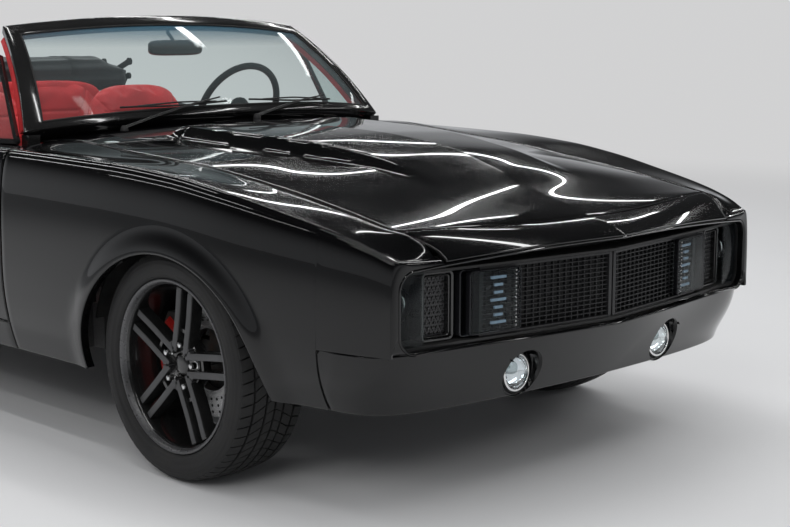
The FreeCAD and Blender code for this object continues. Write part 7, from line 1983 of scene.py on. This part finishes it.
def chrome_finish(name="bright_chrome", rough=0.07, tone=0.78):
    m = Maker(name)
    m.surface(Base_Color=m.ramp(m.noise(14.0, 3.0), (0.3, (tone * 0.92,) * 3), (0.7, (tone,) * 3)), Metallic=1.0,
              Roughness=m.fit(m.noise(60.0, 4.0), 0.3, 0.7, rough * 0.6, rough * 1.5),
              Normal=m.bump(m.noise(400.0, 2.0), 0.02, 0.0002))
    return m.material


def leather(name, deep, bright, grain=520.0, rough=0.42):
    """Grained hide: pebbles between creases, the creases darker as painted shade, and a little paler where it is
    worn.
    """
    m = Maker(name)
    cells = m.node("ShaderNodeTexVoronoi", {"feature": "DISTANCE_TO_EDGE"}, {"Vector": m.place(), "Scale": grain})
    pebble = m.fit(cells, 0.0, 0.16, 0.0, 1.0)
    soft = m.noise(9.0, 5.0, 0.6)
    tone = m.ramp(soft, (0.3, deep), (0.72, bright))
    # the creases between pebbles are mixed towards the deep colour: painted shade in the creases
    m.surface(Base_Color=m.mix(pebble * 0.35 + 0.65, deep, tone),
              Roughness=m.fit(m.noise(30.0, 4.0), 0.3, 0.7, rough * 0.85, rough * 1.2),
              Specular_IOR_Level=0.35, Normal=m.bump(pebble + m.noise(1400.0, 2.0) * 0.25, 0.22, 0.0005))
    return m.material


def woven(name, dark, light, threads=700.0, rough=0.9):
    m = Maker(name)
    x, y, z = m.parts(m.place())
    over = ((x + z) * (threads * 6.283)).sine()
    under = ((y - z * 0.6) * (threads * 6.283)).sine()
    weave = (over * under) * 0.5 + 0.5
    m.surface(Base_Color=m.mix(weave * 0.5 + m.noise(8.0, 4.0) * 0.5, dark, light), Roughness=rough,
              Sheen_Weight=0.25, Normal=m.bump(weave + m.noise(220.0, 4.0) * 0.6, 0.35, 0.0006))
    return m.material


def tyre_rubber(name, wall):
    """Matt tyre rubber; the wall has fine rings round the wheel and a dusty bloom."""
    m = Maker(name)
    dust = m.noise(12.0, 6.0, 0.62)
    height = m.noise(1500.0, 3.0)
    if wall:
        x, y, z = m.parts(m.place())
        rings = []
        for centre in (FRONT_AXLE_Y * MM, REAR_AXLE_Y * MM):
            a, b = y - centre, z - TYRE_R * MM
            rings.append((a * a + b * b).power(0.5))
        reach = rings[0].at_most(rings[1])
        ribs = (reach * 2400.0).sine()
        height = height * 0.5 + ribs * m.fit(reach, 0.262, 0.268, 0.2, 1.0)
    m.surface(Base_Color=m.ramp(dust, (0.35, (0.0125, 0.0125, 0.013)), (0.75, (0.026, 0.0255, 0.025))),
              Roughness=m.fit(dust, 0.3, 0.7, 0.56, 0.78),
              Specular_IOR_Level=0.35, Normal=m.bump(height, 0.18, 0.0004))
    return m.material


def glass_finish(name, tint, clear=0.0, band=None):
    """Thin glass: a see-through share mixed with a gloss coat; band darkens it towards a height."""
    m = Maker(name)
    see = m.node("ShaderNodeBsdfTransparent", {}, {"Color": (0.89, 0.935, 0.93)})
    if band:
        x, y, z = m.parts(m.place())
        share = m.fit(z, band[0], band[1], 0.0, 1.0)
        tone = m.mix(share, tint, band[2])
        amount = share * band[3] + clear
    else:
        tone = m.ramp(m.noise(3.0, 2.0), (0.3, tint), (0.7, tuple(c * 1.15 for c in tint)))
        amount = clear
    shell = m.node("ShaderNodeBsdfPrincipled", {}, {"Base Color": tone, "Roughness": 0.03,
                                                    "Specular IOR Level": 0.5, "Coat Weight": 1.0,
                                                    "Coat Roughness": 0.0})
    gloss = m.node("ShaderNodeLayerWeight", {}, {"Blend": 0.5}, out=1).power(4.0)
    mixed = m.node("ShaderNodeMixShader", {}, [(gloss * 0.7 + amount).at_most(1.0), see, shell])
    m.tree.links.new(mixed.socket, m.output.inputs["Surface"])
    return m.material


def solid_glass(name, tint, rough=0.02):
    m = Maker(name)
    m.surface(Base_Color=m.ramp(m.noise(5.0, 2.0), (0.3, tint), (0.7, tuple(min(1.0, c * 1.1) for c in tint))),
              Roughness=rough, Transmission_Weight=1.0, IOR=1.45, Normal=m.bump(m.noise(60.0, 2.0), 0.02, 0.0003))
    return m.material


def lamp_plastic(name, deep, bright, painted_glow=0.0, ribs=90.0):
    """Moulded lens plastic with fine upright flutes inside it; its glow, where set above zero, is a painted
    highlight.
    """
    m = Maker(name)
    x, y, z = m.parts(m.place())
    flutes = (x * (ribs * 6.283)).sine()
    share = flutes * 0.25 + 0.5 + (m.noise(40.0, 3.0) - 0.5) * 0.3
    m.surface(Base_Color=m.mix(share, deep, bright), Roughness=0.10, Coat_Weight=0.7, Coat_Roughness=0.03,
              Emission_Color=m.mix(share, deep, bright), Emission_Strength=painted_glow,
              Normal=m.bump(flutes, 0.12, 0.0005))
    return m.material


def dotted_mesh():
    """Black moulding pierced with small holes; the holes are painted near-black as painted shade inside them."""
    m = Maker("pod_dotted_mesh")
    x, y, z = m.parts(m.place())
    row = z * 118.0
    step = row - row.fraction()
    a = (x * 118.0 + step * 0.5).fraction() - 0.5
    b = row.fraction() - 0.5
    hole = ((a * a + b * b).power(0.5)) < 0.30
    # near-black in the holes: painted shade, as no hole is cut in the plate
    m.surface(Base_Color=m.mix(hole, (0.030, 0.030, 0.032), (0.002, 0.002, 0.002)), Roughness=hole * 0.5 + 0.32,
              Normal=m.bump(1.0 - hole, 0.5, 0.0012))
    return m.material


def drilled_steel(name, tone, rough):
    """Turned steel with the fine rings of its cut."""
    m = Maker(name)
    x, y, z = m.parts(m.place())
    a, b = y - FRONT_AXLE_Y * MM, z - TYRE_R * MM
    c = y - REAR_AXLE_Y * MM
    reach = ((a * a + b * b).power(0.5)).at_most((c * c + b * b).power(0.5))
    rings = (reach * 9000.0 + m.noise(30.0) * 3.0).sine()
    m.surface(Base_Color=m.mix(rings * 0.5 + 0.5, tuple(c * 0.8 for c in tone), tone), Metallic=0.9,
              Roughness=rings * 0.05 + rough, Normal=m.bump(rings, 0.08, 0.0003))
    return m.material


def dirty_metal(name, dark, light, rust, rough=0.62, metallic=0.35):
    """Underbody metal: paint and dust with a few rust blooms."""
    m = Maker(name)
    patches = m.fit(m.noise(7.0, 8.0, 0.65), 0.52, 0.68, 0.0, 1.0)
    tone = m.ramp(m.noise(22.0, 6.0), (0.3, dark), (0.75, light))
    m.surface(Base_Color=m.mix(patches * 0.6, tone, rust), Metallic=metallic,
              Roughness=patches * 0.2 + rough, Normal=m.bump(m.noise(320.0, 5.0), 0.25, 0.0008))
    return m.material


def carpet(name, dark, light):
    m = Maker(name)
    tuft = m.noise(1300.0, 5.0, 0.7)
    m.surface(Base_Color=m.ramp(tuft, (0.3, dark), (0.75, light)), Roughness=0.95, Sheen_Weight=0.4,
              Normal=m.bump(tuft, 0.8, 0.002))
    return m.material


def stage_floor():
    """Pale studio floor, paler still as seen from far off so that it meets the backdrop."""
    m = Maker("studio_floor")
    x, y, z = m.parts(m.place())
    far = (x * x + y * y).power(0.5)
    fade = m.fit(far, 3.2, 9.5, 0.0, 1.0, "SMOOTHSTEP")
    base = m.node("ShaderNodeBsdfPrincipled", {}, {"Base Color": m.mix(m.noise(1.1, 3.0) * 0.5,
                                                                       (0.66, 0.66, 0.665), (0.70, 0.70, 0.70)),
                                                   "Roughness": 0.55, "Specular IOR Level": 0.2})
    back = m.node("ShaderNodeEmission", {}, {"Color": BACKDROP, "Strength": 1.0})
    rays = m.tree.nodes.new("ShaderNodeLightPath")
    seen = Value(m, rays.outputs["Is Camera Ray"])
    mixed = m.node("ShaderNodeMixShader", {}, [fade * seen, base, back])
    m.tree.links.new(mixed.socket, m.output.inputs["Surface"])
    return m.material


def finishes(colours):
    """Every finish of the car by its use."""
    red = tuple(colours.leather_colour)
    deep = tuple(c * 0.62 for c in red)
    return {"paint": paint_black(), "rim_black": satin("wheel_gloss_black", (0.006, 0.006, 0.006),
                                                       (0.012, 0.012, 0.012), 0.2, coat=0.6),
            "spoke_grey": satin("spoke_satin_grey", (0.060, 0.060, 0.062), (0.085, 0.085, 0.088), 0.36, 0.55),
            "flange_grey": satin("rim_flange_grey", (0.085, 0.085, 0.088), (0.115, 0.115, 0.118), 0.30, 0.6),
            "chrome": chrome_finish(), "reflector": chrome_finish("mirror_silver", 0.04, 0.88),
            "shade": satin("deep_shade", (0.003, 0.003, 0.003), (0.006, 0.006, 0.006), 0.7),
            "rubber": tyre_rubber("tread_rubber", False), "sidewall": tyre_rubber("wall_rubber", True),
            "disc_steel": drilled_steel("brake_disc_steel", (0.50, 0.50, 0.50), 0.30),
            "caliper_red": satin("caliper_red_paint", (0.30, 0.010, 0.008), (0.42, 0.016, 0.012), 0.32, coat=0.5),
            "satin_black": satin("moulded_black", (0.010, 0.010, 0.010), (0.018, 0.018, 0.018), 0.48, grain=1500,
                                 bump=0.12), "gloss_trim": satin("gloss_black_trim", (0.006, 0.006, 0.006),
                                                                 (0.011, 0.011, 0.011), 0.14, coat=0.8),
            "grid_black": satin("grille_black", (0.010, 0.010, 0.011), (0.020, 0.020, 0.021), 0.34),
            "dotted_mesh": dotted_mesh(), "smoked_lens": glass_finish("smoked_lens", (0.006, 0.007, 0.010), 0.16),
            "clear_lens": solid_glass("lamp_glass_clear", (0.86, 0.90, 0.94)),
            "clear_glass": glass_finish("side_glass", (0.25, 0.30, 0.30), 0.05),
            "screen_glass": glass_finish("screen_glass", (0.22, 0.26, 0.27), 0.05,
                                         (1.165, 1.245, (0.03, 0.13, 0.20), 0.62)),
            # the bars' glow of 0.25 is a painted highlight: no lamp of the car is lit
            "ice_bar": lamp_plastic("lamp_bar_blue", (0.16, 0.22, 0.32), (0.42, 0.52, 0.66), 0.25, 240.0),
            "lamp_bowl": satin("lamp_bowl_dark", (0.010, 0.010, 0.012), (0.024, 0.025, 0.028), 0.22, 0.5),
            "lamp_red": lamp_plastic("tail_lens_red", (0.20, 0.004, 0.004), (0.42, 0.010, 0.010), 0.0, 160.0),
            "leather": leather("leather_red", deep, red), "leather_black": leather("leather_black",
                                                                                   (0.008, 0.008, 0.008),
                                                                                   (0.016, 0.016, 0.016), 700.0,
                                                                                   0.4),
            "fabric": woven("soft_top_fabric", (0.010, 0.010, 0.011), (0.024, 0.024, 0.026)),
            "carpet": carpet("floor_carpet", (0.010, 0.009, 0.009), (0.026, 0.024, 0.024)),
            "iron": dirty_metal("cast_iron", (0.035, 0.034, 0.033), (0.075, 0.072, 0.070), (0.14, 0.062, 0.032),
                                metallic=0.6), "steel": dirty_metal("black_steel", (0.012, 0.012, 0.012),
                                                                    (0.030, 0.030, 0.030), (0.05, 0.040, 0.032)),
            "pipe": dirty_metal("exhaust_steel", (0.26, 0.25, 0.24), (0.42, 0.41, 0.40), (0.20, 0.13, 0.08), 0.35,
                                0.9),}


CARRIED = {"floor_pan": "carpet", "front_bulkhead": "carpet", "front_aprons": "steel", "rear_floor": "steel",
           "rear_wheelhouses": "steel", "front_subframe": "steel", "rear_axle": "iron", "leaf_springs": "steel",
           "engine": "iron", "exhaust": "pipe", "fuel_tank": "steel", "knuckle_left": "iron",
           "knuckle_right": "iron"}


def dress_solids():
    """Gives the solids that stay in view their finishes."""
    for node, key in CARRIED.items():
        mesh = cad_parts[node].data
        if not mesh.materials:
            mesh.materials.append(FINISH[key])
        for k in range(len(mesh.materials)):
            mesh.materials[k] = FINISH[key]


# ---- stage ----

CAMERA_PLACE = (-3.314, -4.813, 1.261)
CAMERA_TURN = tuple(math.radians(a) for a in (44.52, 8.96, 0.12))
CAMERA_LENS = 1549.4 / 790 * 36.0
BACKDROP = (0.64, 0.64, 0.645)
TUBE_HEIGHT, TUBE_WIDTH = 3.3, 0.10
FLOOR_REACH = 30000.0


def build_camera():
    turn, dip, roll = CAMERA_TURN
    ahead = Vector((math.sin(turn) * math.cos(dip), math.cos(turn) * math.cos(dip), -math.sin(dip)))
    right = ahead.cross(Vector((0, 0, 1))).normalized()
    above = right.cross(ahead)
    cosine, sine = math.cos(roll), math.sin(roll)
    right, above = right * cosine + above * sine, above * cosine - right * sine
    camera = bpy.data.objects.new("camera", bpy.data.cameras.new("camera"))
    camera.data.lens, camera.data.sensor_width, camera.data.sensor_fit = CAMERA_LENS, 36.0, "HORIZONTAL"
    camera.data.clip_end = 200.0
    stance = Matrix((right, above, -ahead)).transposed().to_4x4()
    camera.matrix_world = Matrix.Translation(CAMERA_PLACE) @ stance
    bpy.context.scene.collection.objects.link(camera)
    bpy.context.scene.camera = camera


def area_lamp(name, place, size, power):
    lamp = bpy.data.lights.new(name, "AREA")
    lamp.shape, lamp.size, lamp.size_y, lamp.energy = "RECTANGLE", size[0], size[1], power
    obj = bpy.data.objects.new(name, lamp)
    obj.location = place
    bpy.context.scene.collection.objects.link(obj)
    return obj


def soft_lamp(name, place, aim, size, power):
    """A wide lamp that lights the car without showing in its paint."""
    obj = area_lamp(name, place, size, power)
    obj.visible_glossy = False
    obj.rotation_euler = (Vector(aim) - Vector(place)).to_track_quat("-Z", "Y").to_euler()


def tube_lamp(name, x, y0, y1, power):
    """A long thin lamp above the car, facing down, for a fine line along the paint."""
    obj = area_lamp(name, (x, (y0 + y1) / 2, TUBE_HEIGHT), (y1 - y0, TUBE_WIDTH), power)
    obj.rotation_euler = (0, 0, math.pi / 2)


def build_world(strength):
    world = bpy.data.worlds.new("studio")
    bpy.context.scene.world = world
    world.use_nodes = True
    tree = world.node_tree
    tree.nodes.clear()
    m = Maker.__new__(Maker)
    m.tree, m.material = tree, None
    rays = tree.nodes.new("ShaderNodeLightPath")
    seen = Value(m, rays.outputs["Is Camera Ray"]) + Value(m, rays.outputs["Is Transmission Ray"])
    height = m.parts(m.node("ShaderNodeTexCoord", out=0))[2]
    wall = m.fit(height, 0.02, 0.30, 0.5, 0.035, "SMOOTHSTEP")
    glossy = Value(m, rays.outputs["Is Glossy Ray"])
    level = glossy * wall + (1.0 - glossy) * strength
    light = m.node("ShaderNodeBackground", {}, {"Color": (0.88, 0.90, 0.93), "Strength": level})
    pale = m.node("ShaderNodeBackground", {}, {"Color": BACKDROP, "Strength": 1.0})
    shown = m.node("ShaderNodeMixShader", {}, [seen.at_most(1.0), light, pale])
    out = tree.nodes.new("ShaderNodeOutputWorld")
    tree.links.new(shown.socket, out.inputs["Surface"])


def build_stage(settings):
    build_camera()
    build_world(settings.world_strength)
    far = FLOOR_REACH
    floor = mesh_object("studio_floor", [(-far, -far, 0), (far, -far, 0), (far, far, 0), (-far, far, 0)],
                        [[0, 1, 2, 3]], stage_floor(), None)
    power = settings.lamp_power
    soft_lamp("top_light", (0.0, 0.3, 4.8), (0, 0, 0), (2.2, 5.0), 90 * power)
    soft_lamp("near_light", (-5.5, -4.5, 3.8), (0, -0.4, 0.5), (3.6, 1.8), 95 * power)
    soft_lamp("nose_light", (1.6, -7.0, 3.4), (0, -1.6, 0.6), (4.0, 1.0), 45 * power)
    soft_lamp("far_light", (6.0, 2.5, 3.6), (0, 0.3, 0.6), (4.4, 1.6), 50 * power)
    for k, x in enumerate((-5.4, -3.6, -1.8, 0.0, 1.8, 3.6, 5.4)):
        tube_lamp("tube_light_%d" % (k + 1), x, -4.6, -0.9, 16 * power)
        tube_lamp("tube_light_%d" % (k + 8), x, 0.3, 5.2, 20 * power)
    bpy.context.scene.view_settings.view_transform = "Standard"


# ---- add-on ----

class CarPaintSettings(bpy.types.PropertyGroup):
    """Colour of the trim"""
    leather_colour: bpy.props.FloatVectorProperty(name="Leather",
                                                  description="Colour of the seats, dash and trims",
                                                  subtype="COLOR", default=(0.60, 0.028, 0.032), min=0, max=1)


class CarWheelSettings(bpy.types.PropertyGroup):
    """Wheels and tyres"""
    spoke_pairs: bpy.props.IntProperty(name="Spoke pairs", description="Number of twin-bar spokes", default=5,
                                       min=3)
    spoke_turn: bpy.props.FloatProperty(name="Spoke turn", description="Degrees from the top to the first pair",
                                        default=10.5)
    tread_pitches: bpy.props.IntProperty(name="Tread pitches", description="Blocks of tread round the tyre",
                                         default=62, min=12)


class CarGrilleSettings(bpy.types.PropertyGroup):
    """Grille grid and the cowl's intake mesh"""
    grille_columns: bpy.props.IntProperty(name="Columns", description="Cells across half of the grid", default=20,
                                          min=2)
    grille_rows: bpy.props.IntProperty(name="Rows", description="Cells from the bottom to the top", default=14,
                                       min=2)
    grille_bar: bpy.props.FloatProperty(name="Bar width", description="Width of a bar in millimetres",
                                        default=1.8, min=0.5)
    intake_pitch: bpy.props.FloatProperty(name="Intake pitch",
                                          description="Spacing of the cowl mesh in millimetres", default=9.0,
                                          min=3.0)


class CarCabinSettings(bpy.types.PropertyGroup):
    """Details of the cabin"""
    rim_studs: bpy.props.IntProperty(name="Rim studs", description="Studs round the steering wheel", default=36,
                                     min=3)


class CarStageSettings(bpy.types.PropertyGroup):
    """Light and surroundings"""
    world_strength: bpy.props.FloatProperty(name="Sky strength", description="Strength of the even studio light",
                                            default=0.42, min=0)
    lamp_power: bpy.props.FloatProperty(name="Lamp power", description="Scale of the studio lamps' power",
                                        default=1.0, min=0)



class CAR_OT_finishes(bpy.types.Operator):
    """Makes every finish and dresses the solids that stay in view"""
    bl_idname = "car.finishes"
    bl_label = "Finishes"

    def execute(self, context):
        FINISH.update(finishes(context.scene.car_paint))
        dress_solids()
        return {"FINISHED"}


class CAR_OT_fenders(bpy.types.Operator):
    """Front fenders"""
    bl_idname = "car.fenders"
    bl_label = "Fenders"

    def execute(self, context):
        build_fenders()
        return {"FINISHED"}


class CAR_OT_quarters(bpy.types.Operator):
    """Rear quarter panels and sills"""
    bl_idname = "car.quarters"
    bl_label = "Quarter panels"

    def execute(self, context):
        build_quarters()
        build_sills()
        return {"FINISHED"}


class CAR_OT_doors(bpy.types.Operator):
    """Doors with their hinge arms, trims and vent windows"""
    bl_idname = "car.doors"
    bl_label = "Doors"

    def execute(self, context):
        build_doors()
        build_door_trims()
        return {"FINISHED"}


class CAR_OT_hood(bpy.types.Operator):
    """Hood with its raised middle"""
    bl_idname = "car.hood"
    bl_label = "Hood"

    def execute(self, context):
        build_hood()
        return {"FINISHED"}


class CAR_OT_nose(bpy.types.Operator):
    """Header panel and front valance"""
    bl_idname = "car.nose"
    bl_label = "Nose panels"

    def execute(self, context):
        build_nose()
        return {"FINISHED"}


class CAR_OT_grille(bpy.types.Operator):
    """Grille opening with its lip, grid, lamps and pods"""
    bl_idname = "car.grille"
    bl_label = "Grille"

    def execute(self, context):
        build_grille(context.scene.car_grille)
        build_nose_lamps()
        return {"FINISHED"}


class CAR_OT_fogs(bpy.types.Operator):
    """Fog lamps in the valance"""
    bl_idname = "car.fogs"
    bl_label = "Fog lamps"

    def execute(self, context):
        build_fogs()
        return {"FINISHED"}


class CAR_OT_cowl(bpy.types.Operator):
    """Cowl panel with its intake mesh and wipers"""
    bl_idname = "car.cowl"
    bl_label = "Cowl"

    def execute(self, context):
        build_cowl()
        build_intake(context.scene.car_grille)
        build_wipers()
        return {"FINISHED"}


class CAR_OT_screen(bpy.types.Operator):
    """Windscreen, its frame and the inside mirror"""
    bl_idname = "car.screen"
    bl_label = "Windscreen"

    def execute(self, context):
        build_screen()
        build_mirror()
        return {"FINISHED"}


class CAR_OT_tail(bpy.types.Operator):
    """Rear deck, trunk lid, tail panel, roll pan and tail lamps"""
    bl_idname = "car.tail"
    bl_label = "Tail"

    def execute(self, context):
        build_rear()
        build_tail_lamps()
        return {"FINISHED"}


class CAR_OT_wheels(bpy.types.Operator):
    """Wheels, tyres, brake discs and calipers"""
    bl_idname = "car.wheels"
    bl_label = "Wheels"

    def execute(self, context):
        build_wheels(context.scene.car_wheels)
        return {"FINISHED"}


class CAR_OT_seats(bpy.types.Operator):
    """Front and rear seats"""
    bl_idname = "car.seats"
    bl_label = "Seats"

    def execute(self, context):
        build_front_seats()
        build_rear_seat()
        return {"FINISHED"}


class CAR_OT_cabin(bpy.types.Operator):
    """Dash, steering wheel, console and side trims"""
    bl_idname = "car.cabin"
    bl_label = "Cabin"

    def execute(self, context):
        build_dash()
        build_steering(context.scene.car_cabin)
        build_console()
        build_side_trims()
        return {"FINISHED"}


class CAR_OT_top(bpy.types.Operator):
    """Folded soft top with its links"""
    bl_idname = "car.top"
    bl_label = "Soft top"

    def execute(self, context):
        build_soft_top()
        return {"FINISHED"}


class CAR_OT_stage(bpy.types.Operator):
    """Camera, floor and studio light"""
    bl_idname = "car.stage"
    bl_label = "Stage"

    def execute(self, context):
        build_stage(context.scene.car_stage)
        return {"FINISHED"}


SETTINGS = (("car_paint", CarPaintSettings), ("car_wheels", CarWheelSettings), ("car_grille", CarGrilleSettings),
            ("car_cabin", CarCabinSettings), ("car_stage", CarStageSettings))
STEPS = (CAR_OT_finishes, CAR_OT_fenders, CAR_OT_quarters, CAR_OT_doors, CAR_OT_hood, CAR_OT_nose, CAR_OT_grille,
         CAR_OT_fogs, CAR_OT_cowl, CAR_OT_screen, CAR_OT_tail, CAR_OT_wheels, CAR_OT_seats, CAR_OT_cabin,
         CAR_OT_top, CAR_OT_stage)


class VIEW3D_PT_car(bpy.types.Panel):
    """Lists the car's pieces"""
    bl_label = "Open Muscle Car"
    bl_idname = "VIEW3D_PT_car"
    bl_space_type = "VIEW_3D"
    bl_region_type = "UI"
    bl_category = "Car"

    def draw(self, context):
        for step in STEPS:
            self.layout.operator(step.bl_idname)


def register():
    for name, group in SETTINGS:
        bpy.utils.register_class(group)
        setattr(bpy.types.Scene, name, bpy.props.PointerProperty(type=group))
    for cls in STEPS + (VIEW3D_PT_car,):
        bpy.utils.register_class(cls)


def unregister():
    for cls in (VIEW3D_PT_car,) + STEPS[::-1]:
        bpy.utils.unregister_class(cls)
    for name, group in SETTINGS[::-1]:
        delattr(bpy.types.Scene, name)
        bpy.utils.unregister_class(group)


def main():
    register()
    for step in STEPS:
        group, name = step.bl_idname.split(".")
        getattr(getattr(bpy.ops, group), name)()


if __name__ == "__main__":
    main()
